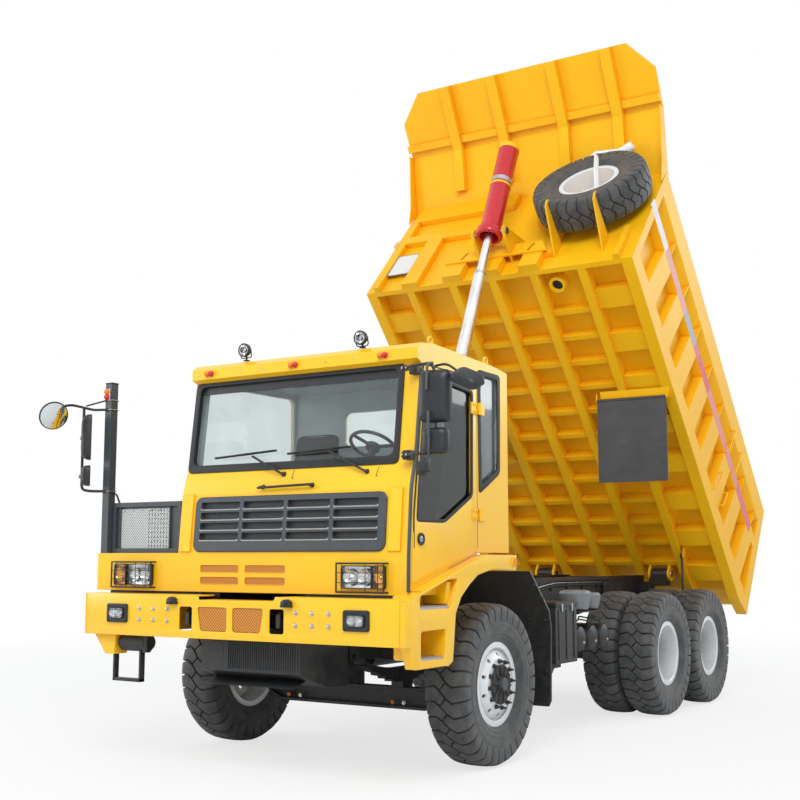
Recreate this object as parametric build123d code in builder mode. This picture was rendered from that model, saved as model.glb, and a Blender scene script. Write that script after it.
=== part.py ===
"""Wide-body mining dump truck with an offset cab, standing with its bed raised.

Millimetres, +Z up. The truck faces -Y and its left side is +X. The origin is on
the ground, midway along and across the whole truck.
"""

from build123d import *
from math import atan2, copysign, cos, hypot, radians, sin, sqrt
import os

# ---------------------------------------------------------------- driving sizes
front_axle_y = -2695
wheelbase = 4000
bogie_spacing = 1425
front_track = 2697
twin_spacing = 430
rear_wheel_x = 1400

tyre_radius = 685
tyre_width = 375
rim_radius = 318
rim_flange = 357
rim_width = 254
axle_height = tyre_radius

frame_half = 580
rail_top = 1530
rail_height = 350
rail_flange = 110
rail_web = 16
frame_back = 5788
nose_notch = 65

bumper_face = -1718
bumper_low, bumper_high = 1103, 1450
bumper_right, bumper_left = -1690, 1667
bumper_depth = 230
frame_front = bumper_face + bumper_depth

cab_right, cab_left = -855, 1520
cab_face = -1460
cab_back = 190
cab_sill = 1800
nose_bottom = 1470
cab_wall = 50

bed_angle = 48.3
hinge_y = 5788
hinge_z = 1547
bed_length = 4600
bed_half = 1735
bed_height = 1718
wall_lean = 178
side_thick = 135
cheek_thick = 16
floor_level = 190
floor_plate = 16

clear = 0.3
os.makedirs("parts", exist_ok=True)


def y_of(distance):
    """Place along the truck of something a distance behind the front axle."""
    return front_axle_y + distance


# Directions of the raised bed: u runs forward along its floor, v up its walls.
bed_u = Vector(0, -cos(radians(bed_angle)), sin(radians(bed_angle)))
bed_v = Vector(0, sin(radians(bed_angle)), cos(radians(bed_angle)))
hinge = Vector(0, y_of(hinge_y), hinge_z)


def bed_side(x):
    """Plane across the truck at x: sketch (u, v), extruded towards -X."""
    return Plane(origin=hinge + Vector(x, 0, 0), x_dir=bed_u, z_dir=(-1, 0, 0))


def bed_level(v):
    """Plane along the bed's floor at height v: sketch (u, x), extruded up."""
    return Plane(origin=hinge + bed_v * v, x_dir=bed_u, z_dir=bed_v)


def bed_cross(u):
    """Plane square to the bed's floor at u: sketch (x, v), extruded forward."""
    return Plane(origin=hinge + bed_u * u, x_dir=(1, 0, 0), z_dir=bed_u)


def side(x):
    """Plane across the truck at x: sketch (distance behind front axle, z), extruded to +X."""
    return Plane(origin=(x, front_axle_y, 0), x_dir=(0, 1, 0), z_dir=(1, 0, 0))


def front(distance):
    """Upright plane square to the truck's length: sketch (x, z), extruded forward."""
    return Plane(origin=(0, y_of(distance), 0), x_dir=(1, 0, 0), z_dir=(0, -1, 0))


def level(z):
    """Plane at height z: sketch (x, distance behind the front axle), extruded up."""
    return Plane(origin=(0, front_axle_y, z), x_dir=(1, 0, 0), z_dir=(0, 0, 1))


def save(part, label):
    part.label = label
    export_step(part, f"parts/{label}.step")
    print(label, round(part.volume / 1e6, 1), "litres")


# ---------------------------------------------------------------- ladder frame
rail_x = frame_half - rail_web / 2
cross_members = (-1200, 1330, 2300, 3300, 4712, 5690)  # distance behind front axle
cross_depth = 180
nose_beam_half, nose_beam_depth = 770, 60
nose_beam_low, nose_beam_high = 1190, 1380
tow_slots = (-518, 444)
tow_width, tow_high, tow_low = 145, 1354, 1160
tow_plate, tow_bore = 40, 28

with BuildPart() as frame_rails:
    for hand in (-1, 1):
        with BuildSketch(front(frame_front)):
            with Locations((hand * (frame_half - rail_flange / 2), rail_top - rail_height / 2)):
                Rectangle(rail_flange, rail_height)
            with Locations((hand * (frame_half - rail_web - rail_flange / 2), rail_top - rail_height / 2)):
                Rectangle(rail_flange, rail_height - 2 * rail_web, mode=Mode.SUBTRACT)
        extrude(amount=frame_front - frame_back)
        # The front end is lowered under the cab's nose.
        with Locations((hand * (frame_half - rail_flange / 2), y_of(cab_face), rail_top)):
            Box(2 * rail_flange, 2 * nose_notch, 2 * nose_notch, mode=Mode.SUBTRACT)
    for place in cross_members:
        with BuildSketch(front(place + cross_depth / 2)):
            with Locations((0, rail_top - rail_height / 2)):
                Rectangle(2 * (frame_half - rail_web), rail_height - 2 * rail_web)
                Rectangle(2 * (frame_half - 2 * rail_flange), rail_height - 150, mode=Mode.SUBTRACT)
        extrude(amount=cross_depth)
    # Beam across the rails' front ends, which carries the bumper and two towing plates.
    with BuildSketch(front(frame_front + clear)):
        with Locations((0, (nose_beam_low + nose_beam_high) / 2)):
            Rectangle(2 * nose_beam_half, nose_beam_high - nose_beam_low)
    extrude(amount=-nose_beam_depth)
    for x in tow_slots:
        with BuildSketch(side(x - tow_plate / 2)):
            with BuildLine():
                Polyline(
                    (frame_front + 1, tow_low + 40), (frame_front + 1, tow_high - 20), (bumper_face + 60, tow_high - 20),
                    (bumper_face + 20, (tow_high + tow_low) / 2 + 50), (bumper_face + 20, (tow_high + tow_low) / 2 - 50),
                    (bumper_face + 60, tow_low + 40), close=True,
                )
            make_face()
            with Locations((bumper_face + 75, (tow_high + tow_low) / 2)):
                Circle(tow_bore, mode=Mode.SUBTRACT)
        extrude(amount=tow_plate)
    # Pillars that carry the cab: two under the nose and two under its back.
    for hand in (-1, 1):
        for place, top in ((-1250, cab_sill - cab_wall), (90, cab_sill)):
            with BuildSketch(level(rail_top)):
                with Locations((hand * (frame_half - rail_flange / 2), place)):
                    RectangleRounded(100, 120, 15)
            extrude(amount=top - rail_top - clear)
save(frame_rails.part, "frame_rails")

# ---------------------------------------------------------------- engine
engine_half = 300
with BuildPart() as engine:
    with BuildSketch(side(-engine_half)):
        with BuildLine():
            Polyline(
                (-840, 1130), (-700, 880), (0, 880), (100, 1000), (480, 1000),
                (560, 1100), (560, 1560), (300, 1560), (200, 1720), (-840, 1720), close=True,
            )
        make_face()
    extrude(amount=2 * engine_half)
    # Feet out to the lower flanges of the rails.
    for hand in (-1, 1):
        for place in (-500, 150):
            with BuildSketch(side(hand * engine_half)):
                with Locations((place, rail_top - rail_height + rail_web + clear + 60)):
                    Rectangle(120, 120)
            extrude(amount=hand * (frame_half - rail_web - 15 - engine_half))
save(engine.part, "engine")

# ---------------------------------------------------------------- front axle
kingpin_x = 1085
kingpin_radius = 30
knuckle_gap = 150
beam_width = 110
beam_depth = 120
spring_x = 520
spring_width = 90
front_wheel_x = front_track / 2

with BuildPart() as front_axle:
    with BuildSketch(front(beam_width / 2)):
        with BuildLine():
            Polyline(
                (-kingpin_x - 60, axle_height + beam_depth / 2),
                (-kingpin_x + 60, axle_height + beam_depth / 2),
                (-kingpin_x + 260, axle_height - 20),
                (kingpin_x - 260, axle_height - 20),
                (kingpin_x - 60, axle_height + beam_depth / 2),
                (kingpin_x + 60, axle_height + beam_depth / 2),
                (kingpin_x + 60, axle_height - beam_depth / 2),
                (kingpin_x - 60, axle_height - beam_depth / 2),
                (kingpin_x - 260, axle_height - beam_depth - 20),
                (-kingpin_x + 260, axle_height - beam_depth - 20),
                (-kingpin_x + 60, axle_height - beam_depth / 2),
                (-kingpin_x - 60, axle_height - beam_depth / 2),
                close=True,
            )
        make_face()
    extrude(amount=beam_width)
    with Locations(*[(hand * kingpin_x, front_axle_y, axle_height) for hand in (-1, 1)]):
        Cylinder(kingpin_radius + 0.05, beam_depth + 2, mode=Mode.SUBTRACT)
save(front_axle.part, "front_axle")

# Knuckle: a fork above and below the beam's eye, its kingpin, and the stub shaft.
fork_height = 60
fork_half = 65
stub_radius = 60
stub_length = 237

for hand, label in ((1, "knuckle_left"), (-1, "knuckle_right")):
    with BuildPart() as knuckle:
        with Locations((hand * kingpin_x, front_axle_y, axle_height)):
            Cylinder(kingpin_radius, beam_depth + 2 * fork_height)
        for above in (-1, 1):
            fork_z = axle_height + above * (beam_depth / 2 + 6 + fork_height / 2)
            with Locations((hand * kingpin_x, front_axle_y, fork_z)):
                Cylinder(fork_half, fork_height - 12)
            with Locations((hand * (kingpin_x + 60), front_axle_y, fork_z)):
                Box(120, 2 * fork_half, fork_height - 12)
        with Locations((hand * (kingpin_x + 110), front_axle_y, axle_height)):
            Box(50, 2 * fork_half, beam_depth + 2 * fork_height)
        with BuildSketch(side(hand * (kingpin_x + 130))):
            with Locations((0, axle_height)):
                Circle(stub_radius)
        extrude(amount=hand * stub_length)
    save(knuckle.part, label)

# Leaf springs: stacks of arched leaves on the axle, eyes on the frame's brackets.
spring_base = axle_height - 20 + clear
leaf = 20
with BuildPart() as front_springs:
    for hand in (-1, 1):
        with BuildSketch(side(hand * spring_x - spring_width / 2)):
            for i in range(6):
                reach = 760 - 110 * i
                rise = 0.16 * reach * reach / 760
                with BuildLine():
                    top = spring_base + leaf * (6 - i)
                    ThreePointArc((-reach, top + rise), (0, top), (reach, top + rise))
                    Line((reach, top + rise), (reach, top + rise - leaf))
                    ThreePointArc((reach, top + rise - leaf), (0, top - leaf), (-reach, top + rise - leaf))
                    Line((-reach, top + rise - leaf), (-reach, top + rise))
                make_face()
            for end in (-1, 1):
                with Locations((end * 760, spring_base + 6 * leaf + 122 + 10)):
                    Circle(38)
        extrude(amount=spring_width)
        with Locations((hand * spring_x, front_axle_y, spring_base + 3 * leaf)):
            Box(spring_width + 40, beam_width + 60, 6 * leaf - 2)
    for end in (-1, 1):
        for hand in (-1, 1):
            with BuildSketch(side(hand * spring_x - 15)):
                with BuildLine():
                    Polyline(
                        (end * 760 - 60, spring_base + 6 * leaf + 90), (end * 760 + 60, spring_base + 6 * leaf + 90),
                        (end * 760 + 80, rail_top - rail_height - clear), (end * 760 - 80, rail_top - rail_height - clear),
                        close=True,
                    )
                make_face()
            extrude(amount=30)
save(front_springs.part, "front_springs")

# ---------------------------------------------------------------- wheels
shoulder = 30


def tyre_face(x, hand):
    """Half section of a tyre about its axle, drawn on the XY plane through the axle."""
    half = tyre_width / 2
    bead = rim_width / 2 + 2 - clear
    with BuildSketch(Plane(origin=(x, 0, 0), x_dir=(hand, 0, 0), z_dir=(0, 0, hand))) as section:
        with BuildLine():
            Line((-bead, rim_radius + clear), (-bead, rim_flange + 2))
            Line((-bead, rim_flange + 2), (-half * 0.86, rim_flange + 60))
            ThreePointArc(
                (-half * 0.86, rim_flange + 60), (-half, (rim_flange + tyre_radius) / 2),
                (-half + shoulder * 0.5, tyre_radius - shoulder * 1.6),
            )
            Line((-half + shoulder * 0.5, tyre_radius - shoulder * 1.6), (-half + 1.4 * shoulder, tyre_radius))
            Line((-half + 1.4 * shoulder, tyre_radius), (half - 1.4 * shoulder, tyre_radius))
            Line((half - 1.4 * shoulder, tyre_radius), (half - shoulder * 0.5, tyre_radius - shoulder * 1.6))
            ThreePointArc(
                (half - shoulder * 0.5, tyre_radius - shoulder * 1.6), (half, (rim_flange + tyre_radius) / 2),
                (half * 0.86, rim_flange + 60),
            )
            Line((half * 0.86, rim_flange + 60), (bead, rim_flange + 2))
            Line((bead, rim_flange + 2), (bead, rim_radius + clear))
            Line((bead, rim_radius + clear), (-bead, rim_radius + clear))
        make_face()
    return section.sketch


def rim_face(x, hand, mount):
    """Half section of a rim: a band with two flanges, and a coned disc out to its mounting face."""
    half = rim_width / 2
    wall = 14
    disc = 22
    edge = half - 20
    with BuildSketch(Plane(origin=(x, 0, 0), x_dir=(hand, 0, 0), z_dir=(0, 0, hand))) as section:
        with BuildLine():
            Polyline(
                (mount, hub_hole), (mount, disc_flat), (edge, rim_radius - wall), (half + wall, rim_radius - wall),
                (half + wall, rim_flange), (half + 2, rim_flange), (half + 2, rim_radius),
                (-half - 2, rim_radius), (-half - 2, rim_flange), (-half - wall, rim_flange),
                (-half - wall, rim_radius - wall), (edge - disc - 8, rim_radius - wall),
                (mount - disc, disc_flat - 6), (mount - disc, hub_hole), close=True,
            )
        make_face()
    return section.sketch


disc_flat = 215
disc_mount = twin_spacing / 2
front_mount = 172
hub_hole = 130
hub_radius = 150
wheels = (
    # name, distance behind front axle, hand, outer tyre's x, twin
    ("front_left", 0, 1, front_wheel_x, False),
    ("front_right", 0, -1, front_wheel_x, False),
    ("rear_1_left", wheelbase, 1, rear_wheel_x, True),
    ("rear_1_right", wheelbase, -1, rear_wheel_x, True),
    ("rear_2_left", wheelbase + bogie_spacing, 1, rear_wheel_x, True),
    ("rear_2_right", wheelbase + bogie_spacing, -1, rear_wheel_x, True),
)
shaft_hole = stub_radius + 0.05
for name, place, hand, wheel_x, twin in wheels:
    spin = Axis((0, y_of(place), axle_height), (1, 0, 0))
    to_axle = Location((0, y_of(place), axle_height))
    xs = (wheel_x, wheel_x - twin_spacing) if twin else (wheel_x,)
    with BuildPart() as tyre:
        for x in xs:
            add(to_axle * tyre_face(hand * x, hand))
        revolve(axis=spin)
    save(tyre.part, f"tyre_{name}")
    if twin:
        # Outer rim's disc and inner rim's disc meet at the middle of the pair.
        middle = wheel_x - twin_spacing / 2
        hub_profile = (
            (middle - 190, shaft_hole), (middle - 190, hub_radius + 60), (middle - 60, hub_radius + 60),
            (middle - 22, hub_radius), (middle - 22, hub_hole), (middle + 130, hub_hole - 10),
            (middle + 160, 90), (middle + 160, 0), (middle + 20, 0), (middle + 20, shaft_hole),
        )
    else:
        middle = wheel_x + front_mount
        hub_profile = (
            (middle - 210, shaft_hole), (middle - 210, hub_radius + 30), (middle - 60, hub_radius + 30),
            (middle - 22, hub_radius), (middle - 22, hub_hole), (middle + 14, hub_hole),
            (middle + 28, 90), (middle + 28, 0), (middle - 60, 0), (middle - 60, shaft_hole),
        )
    with BuildPart() as rim:
        if twin:
            add(to_axle * rim_face(hand * wheel_x, -hand, disc_mount))
            add(to_axle * rim_face(hand * (wheel_x - twin_spacing), hand, disc_mount))
        else:
            add(to_axle * rim_face(hand * wheel_x, hand, front_mount))
        with BuildSketch(Plane(origin=(0, y_of(place), axle_height), x_dir=(hand, 0, 0), z_dir=(0, 0, hand))):
            with BuildLine():
                Polyline(*hub_profile, close=True)
            make_face()
        revolve(axis=spin)
    save(rim.part, f"rim_{name}")

# ---------------------------------------------------------------- rear axles
housing_radius = 105
housing_end = rear_wheel_x - twin_spacing / 2 - 200
shaft_end = rear_wheel_x - twin_spacing / 2 + 10
bowl_radius = 230
bowl_half = 190
with BuildPart() as rear_axles:
    for place in (wheelbase, wheelbase + bogie_spacing):
        for hand in (-1, 1):
            with BuildSketch(side(0)):
                with Locations((place, axle_height)):
                    Circle(housing_radius)
            extrude(amount=hand * housing_end)
            with BuildSketch(side(0)):
                with Locations((place, axle_height)):
                    Circle(stub_radius)
            extrude(amount=hand * shaft_end)
        with BuildSketch(front(place + bowl_half)):
            with Locations((0, axle_height)):
                Circle(bowl_radius)
        extrude(amount=2 * bowl_half)
save(rear_axles.part, "rear_axles")

# Bogie: a leaf spring each side, rocking on a trunnion between the two axles.
trunnion_place = wheelbase + bogie_spacing / 2
bogie_x = 670
bogie_half = 50
trunnion_z = axle_height - 10
seat = axle_height + housing_radius + clear
with BuildPart() as bogie:
    for hand in (-1, 1):
        with BuildSketch(side(hand * bogie_x - bogie_half)):
            for i in range(7):
                reach = 830 - 80 * i
                with BuildLine():
                    low = seat + 26 * i
                    dip = 0.10 * reach * reach / 830
                    ThreePointArc(
                        (trunnion_place - reach, low - dip + 83), (trunnion_place, low + 83),
                        (trunnion_place + reach, low - dip + 83),
                    )
                    Line((trunnion_place + reach, low - dip + 83), (trunnion_place + reach, low - dip + 109))
                    ThreePointArc(
                        (trunnion_place + reach, low - dip + 109), (trunnion_place, low + 109),
                        (trunnion_place - reach, low - dip + 109),
                    )
                    Line((trunnion_place - reach, low - dip + 109), (trunnion_place - reach, low - dip + 83))
                make_face()
        extrude(amount=2 * bogie_half)
        with BuildSketch(side(hand * bogie_x - bogie_half - 20)):
            with BuildLine():
                Polyline(
                    (trunnion_place - 90, seat + 320), (trunnion_place + 90, seat + 320),
                    (trunnion_place + 120, trunnion_z), (trunnion_place - 120, trunnion_z), close=True,
                )
            make_face()
            with Locations((trunnion_place, trunnion_z)):
                Circle(120)
        extrude(amount=2 * bogie_half + 40)
        for place in (wheelbase, wheelbase + bogie_spacing):
            with Locations((hand * bogie_x, y_of(place), seat + 30)):
                Box(2 * bogie_half, 160, 60)
        # Hanger plate from the rail down to the cross tube.
        with BuildSketch(side(hand * (frame_half + clear))):
            with BuildLine():
                Polyline(
                    (trunnion_place - 330, rail_top - 60), (trunnion_place + 330, rail_top - 60),
                    (trunnion_place + 300, rail_top - rail_height), (trunnion_place + 110, trunnion_z - 80),
                    (trunnion_place - 110, trunnion_z - 80), (trunnion_place - 300, rail_top - rail_height),
                    close=True,
                )
            make_face()
        extrude(amount=hand * 30)
    with BuildSketch(side(-bogie_x)):
        with Locations((trunnion_place, trunnion_z)):
            Circle(70)
    extrude(amount=2 * bogie_x)
save(bogie.part, "bogie")

# ---------------------------------------------------------------- bumper
bumper_wing = 420
wing_depth = 100
notch_left, notch_right, notch_depth = 430, -395, 36
bumper_plate = 12
window_high, window_low = 1355, 1160
window_right, window_middle, window_left = -390, -42, 310
mesh_gauge = 6
step_bracket = (-1528, -1394, 938)
with BuildPart() as bumper:
    with BuildSketch(level(bumper_low)):
        with BuildLine():
            Polyline(
                (bumper_right, bumper_face + 60), (bumper_right + 60, bumper_face),
                (bumper_left - 60, bumper_face), (bumper_left, bumper_face + 60),
                (bumper_left, bumper_face + wing_depth), (bumper_left - 180, bumper_face + bumper_depth),
                (bumper_right + 180, bumper_face + bumper_depth), (bumper_right, bumper_face + wing_depth),
                close=True,
            )
        make_face()
    extrude(amount=bumper_high - bumper_low)
    with BuildSketch(front(bumper_face)):
        with BuildLine():
            Polyline(
                (notch_right - 20, bumper_high), (notch_right, bumper_high - notch_depth),
                (notch_left - 20, bumper_high - notch_depth), (notch_left, bumper_high), close=True,
            )
        make_face()
    extrude(amount=-bumper_depth - 1, mode=Mode.SUBTRACT)
    # Hollow behind the face plate, open at the back.
    with BuildSketch(front(bumper_face + bumper_plate)):
        with Locations(((bumper_left + bumper_right) / 2, (bumper_low + bumper_high) / 2 - notch_depth / 2)):
            Rectangle(2 * frame_half + 300, bumper_high - bumper_low - notch_depth - 2 * bumper_plate)
    extrude(amount=-bumper_depth, mode=Mode.SUBTRACT)
    # Two air openings that narrow towards the middle foot, and the two towing slots.
    with BuildSketch(front(bumper_face)):
        for outer, inner in ((window_right, window_middle - 30), (window_left, window_middle + 30)):
            lean = copysign(35, inner - outer)
            with BuildLine():
                Polyline(
                    (outer, window_high), (inner, window_high), (inner, window_low), (outer + lean, window_low),
                    close=True,
                )
            make_face()
        fillet(vertices(), 22)
        for x in tow_slots:
            with Locations((x, (tow_high + tow_low) / 2)):
                RectangleRounded(tow_width, tow_high - tow_low, 20)
    extrude(amount=-bumper_plate, mode=Mode.SUBTRACT)
    # Perforated sheet behind the air openings, and the bracket of the access step.
    with BuildSketch(front(bumper_face + bumper_plate)):
        with Locations(((window_left + window_right) / 2, (window_high + window_low) / 2)):
            RectangleRounded(window_left - window_right + 30, window_high - window_low + 30, 20)
    extrude(amount=-mesh_gauge)
    with BuildSketch(front(bumper_face + 40)):
        with Locations(((step_bracket[0] + step_bracket[1]) / 2, (step_bracket[2] + bumper_low + 1) / 2)):
            Rectangle(step_bracket[1] - step_bracket[0], bumper_low + 1 - step_bracket[2])
    extrude(amount=-90)
save(bumper.part, "bumper")

# Guard under the radiator, hung from the rails, and the access step under the bumper.
guard_half = frame_half - 10
guard_front, guard_back = frame_front + nose_beam_depth, -900
guard_top, guard_low, guard_sheet = rail_top - rail_height - clear, 800, 8
step_right, step_inner, step_low, step_bar = -1376, -983, 721, 34
with BuildPart() as front_guards:
    with BuildSketch(side(-guard_half)):
        with BuildLine():
            Polyline(
                (guard_front, guard_top), (guard_back, guard_top), (guard_back, guard_low),
                (guard_front + 190, guard_low), (guard_front + 100, guard_low + 60), (guard_front, guard_top - 150),
                close=True,
            )
        make_face()
    extrude(amount=2 * guard_half)
    offset(amount=-guard_sheet, openings=faces().sort_by(Axis.Z)[-1], kind=Kind.INTERSECTION)
    for hand in (-1, 1):
        with Locations((hand * (rail_x - rail_flange / 2), y_of((guard_front + guard_back) / 2), guard_top - 30)):
            Box(rail_flange - 20, 300, 60)
    with BuildSketch(front(bumper_face + 60)):
        with Locations(((step_right + step_inner) / 2, (step_low + bumper_low - clear) / 2)):
            Rectangle(step_inner - step_right, bumper_low - clear - step_low)
        with Locations(((step_right + step_inner) / 2, (step_low + step_bar + bumper_low) / 2)):
            Rectangle(step_inner - step_right - 2 * step_bar, bumper_low - step_low - step_bar, mode=Mode.SUBTRACT)
    extrude(amount=-70)
save(front_guards.part, "front_guards")

# ---------------------------------------------------------------- cab
cab_profile = (
    (cab_face, nose_bottom), (cab_face, cab_sill), (-1420, 2300), (-1385, 2440), (-1360, 2500),
    (-1262, 3300), (-1330, 3330), (-1330, 3420), (-1270, 3462), (-1100, 3480), (-100, 3430),
    (cab_back, 3395), (cab_back, cab_sill), (-860, cab_sill), (-860, nose_bottom),
)
inner_profile = (
    (-1380, cab_sill + cab_wall), (-1335, 2420), (-1310, 2500), (-1212, 3270), (-1212, 3400),
    (-110, 3365), (cab_back - cab_wall, 3345), (cab_back - cab_wall, cab_sill + cab_wall),
)
nose_back = -860
nose_hollow = (
    (cab_face + 40, nose_bottom - 1), (cab_face + 40, cab_sill - cab_wall),
    (nose_back + 1, cab_sill - cab_wall), (nose_back + 1, nose_bottom - 1),
)
screen_low, screen_high = 2540, 3290
panel_ribs, panel_width, panel_rib = (-768, 1392), 112, 16
panel_low, panel_high = 1800, 2312
vent_xs, vent_width = (-385, 110), 425
vent_zs, vent_height = (1665, 1565), 62
screen_right, screen_left = -800, 1320
door_front, door_back = -1385, -375
door_low, door_high = 1830, 3290
door_gap = 6
door_thick = 50
grille_centre, grille_width, grille_height = 314, 1984, 470
grille_proud, grille_sunk = 22, 26
face_lean = atan2(-1420 - cab_face, 500)
grille_face = Plane(
    origin=(grille_centre, y_of(-1440), (panel_low + panel_high) / 2 - 14), x_dir=(1, 0, 0),
    z_dir=(0, -cos(face_lean), sin(face_lean)),
)
hinge_zs, hinge_half, hinge_knuckle, hinge_rod = (3020, 2117), 50, 14, 6
hinge_leaf = 14
hinge_line = cab_left + 25
door_outline = (
    (door_front, door_low), (door_front, 2100), (-1332, 2500), (-1238, door_high), (door_back, door_high),
    (door_back, door_low),
)
door_window = ((-1350, 2046), (-925, 2046), (-464, 2275), (-450, 3160), (-1215, 3228), (-1302, 2500))
quarter_window = ((-326, 2324), (15, 2500), (31, 3340), (-340, 3345))
right_window = ((-1239, 2400), (-1127, 3310), (110, 3310), (120, 2400))
rear_window_x, rear_window_z, rear_window_width, rear_window_height = 333, 2980, 1115, 330
glass_gap = 0.5

with BuildPart() as cab_shell:
    with BuildSketch(side(cab_right)):
        with BuildLine():
            Polyline(*cab_profile, close=True)
        make_face()
    extrude(amount=cab_left - cab_right)
    with BuildSketch(side(cab_right + cab_wall)):
        with BuildLine():
            Polyline(*inner_profile, close=True)
        make_face()
    extrude(amount=cab_left - cab_right - 2 * cab_wall, mode=Mode.SUBTRACT)
    # The nose is open below and behind.
    with BuildSketch(side(cab_right + cab_wall)):
        with BuildLine():
            Polyline(*nose_hollow, close=True)
        make_face()
    extrude(amount=cab_left - cab_right - 2 * cab_wall, mode=Mode.SUBTRACT)
    # Windscreen and rear window.
    with BuildSketch(front(cab_face - 50)):
        with Locations(((screen_left + screen_right) / 2, (screen_low + screen_high) / 2)):
            RectangleRounded(screen_left - screen_right, screen_high - screen_low, 40)
    extrude(amount=-400, mode=Mode.SUBTRACT)
    with BuildSketch(front(cab_back + 10)):
        with Locations((rear_window_x, rear_window_z)):
            RectangleRounded(rear_window_width, rear_window_height, 60)
    extrude(amount=cab_wall + 20, mode=Mode.SUBTRACT)
    # Raised panels each side of the grille.
    for x in panel_ribs:
        with BuildSketch(side(x - panel_width / 2)):
            with BuildLine():
                Polyline(
                    (cab_face + 5, panel_low), (cab_face - panel_rib, panel_low + 14), (-1420 - panel_rib, panel_high - 14),
                    (-1420 + 5, panel_high), close=True,
                )
            make_face()
        extrude(amount=panel_width)
    # Air vents below the grille: two by two, cut into the front sheet.
    with BuildSketch(front(cab_face)):
        for x in vent_xs:
            for z in vent_zs:
                with Locations((x, z)):
                    RectangleRounded(vent_width, vent_height, 18)
    extrude(amount=-12, mode=Mode.SUBTRACT)
    # Pocket that the grille sits in.
    with BuildSketch(grille_face.offset(panel_rib)):
        RectangleRounded(grille_width + 2 * clear, grille_height + 2 * clear, 70)
    extrude(amount=-grille_sunk - panel_rib, mode=Mode.SUBTRACT)
    # Door opening, quarter window and right side window.
    with BuildSketch(side(cab_left - cab_wall - 10)):
        with BuildLine():
            Polyline(*door_outline, close=True)
        make_face()
        fillet(vertices(), 40)
        with BuildLine():
            Polyline(*quarter_window, close=True)
        make_face()
    extrude(amount=cab_wall + 20, mode=Mode.SUBTRACT)
    with BuildSketch(side(cab_right - 10)):
        with BuildLine():
            Polyline(*right_window, close=True)
        make_face()
        fillet(vertices(), 60)
    extrude(amount=cab_wall + 20, mode=Mode.SUBTRACT)
    # Cab halves of the door hinges: a leaf, a knuckle above and below, and the rod through all three.
    for z in hinge_zs:
        with Locations(*[(hinge_line, y_of(door_back + 10), z + end * (0.75 * hinge_half + 0.25)) for end in (-1, 1)]):
            Cylinder(hinge_knuckle, hinge_half / 2 - 0.5)
        with Locations((hinge_line, y_of(door_back + 10), z)):
            Cylinder(hinge_rod, 2 * hinge_half)
        for end in (-1, 1):
            with Locations((cab_left + hinge_leaf / 2, y_of(door_back + 66), z + end * (0.75 * hinge_half + 0.25))):
                Box(hinge_leaf, 112, hinge_half / 2 - 0.5)
        with Locations((cab_left + hinge_leaf / 2, y_of(door_back + 78), z)):
            Box(hinge_leaf, 88, 2 * hinge_half)
save(cab_shell.part, "cab_shell")


def roof_z(place):
    """Height of the roof's top sheet at a distance behind the front axle."""
    (start, high), (end, low) = cab_profile[8], cab_profile[9]
    if place > cab_profile[9][0]:
        (start, high), (end, low) = cab_profile[9], cab_profile[10]
    return high + (low - high) * (place - start) / (end - start)


glass_thick = 8
with BuildPart() as cab_glass:
    slope = atan2(3300 - 2500, 1360 - 1262)
    screen_plane = Plane(
        origin=(0, y_of(-1360 + 30), 2500), x_dir=(1, 0, 0), z_dir=(0, -sin(slope), cos(slope)),
    )
    with BuildSketch(screen_plane):
        with Locations(((screen_left + screen_right) / 2, 415 / sin(slope))):
            RectangleRounded(screen_left - screen_right - 1, 735, 40)
    extrude(amount=-glass_thick)
    with BuildSketch(front(cab_back - 10)):
        with Locations((rear_window_x, rear_window_z)):
            RectangleRounded(rear_window_width - 2 * glass_gap, rear_window_height - 2 * glass_gap, 60)
    extrude(amount=glass_thick)
    with BuildSketch(side(cab_left - 30)):
        with BuildLine():
            Polyline(*quarter_window, close=True)
        make_face()
        offset(amount=-glass_gap, kind=Kind.INTERSECTION, mode=Mode.REPLACE)
    extrude(amount=glass_thick)
    with BuildSketch(side(cab_right + 20)):
        with BuildLine():
            Polyline(*right_window, close=True)
        make_face()
        fillet(vertices(), 60)
        offset(amount=-glass_gap, kind=Kind.INTERSECTION, mode=Mode.REPLACE)
    extrude(amount=glass_thick)
save(cab_glass.part, "cab_glass")

with BuildPart() as door:
    with BuildSketch(side(cab_left - door_thick)):
        with BuildLine():
            Polyline(*door_outline, close=True)
        make_face()
        fillet(vertices(), 40)
        offset(amount=-door_gap, mode=Mode.REPLACE)
        with BuildLine():
            Polyline(*door_window, close=True)
        make_face(mode=Mode.SUBTRACT)
    extrude(amount=door_thick)
    # Door halves of the hinges, and the raised plate round the lock.
    for z in hinge_zs:
        with Locations((cab_left + hinge_leaf / 2, y_of(door_back - 54), z)):
            Box(hinge_leaf, 96, 2 * hinge_half)
        with Locations((cab_left + hinge_leaf / 2, y_of(door_back - 4), z)):
            Box(hinge_leaf, 20, hinge_half - 1)
        with Locations((hinge_line, y_of(door_back + 10), z)):
            Cylinder(hinge_knuckle, hinge_half - 1)
        with Locations((hinge_line, y_of(door_back + 10), z)):
            Cylinder(hinge_rod + 0.05, hinge_half + 2, mode=Mode.SUBTRACT)
    with BuildSketch(side(cab_left)):
        with Locations((-1297, 1904)):
            Circle(42)
    extrude(amount=8)
save(door.part, "door")

with BuildPart() as door_glass:
    with BuildSketch(side(cab_left - 30)):
        with BuildLine():
            Polyline(*door_window, close=True)
        make_face()
        offset(amount=-glass_gap, kind=Kind.INTERSECTION, mode=Mode.REPLACE)
    extrude(amount=glass_thick)
save(door_glass.part, "door_glass")

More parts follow.
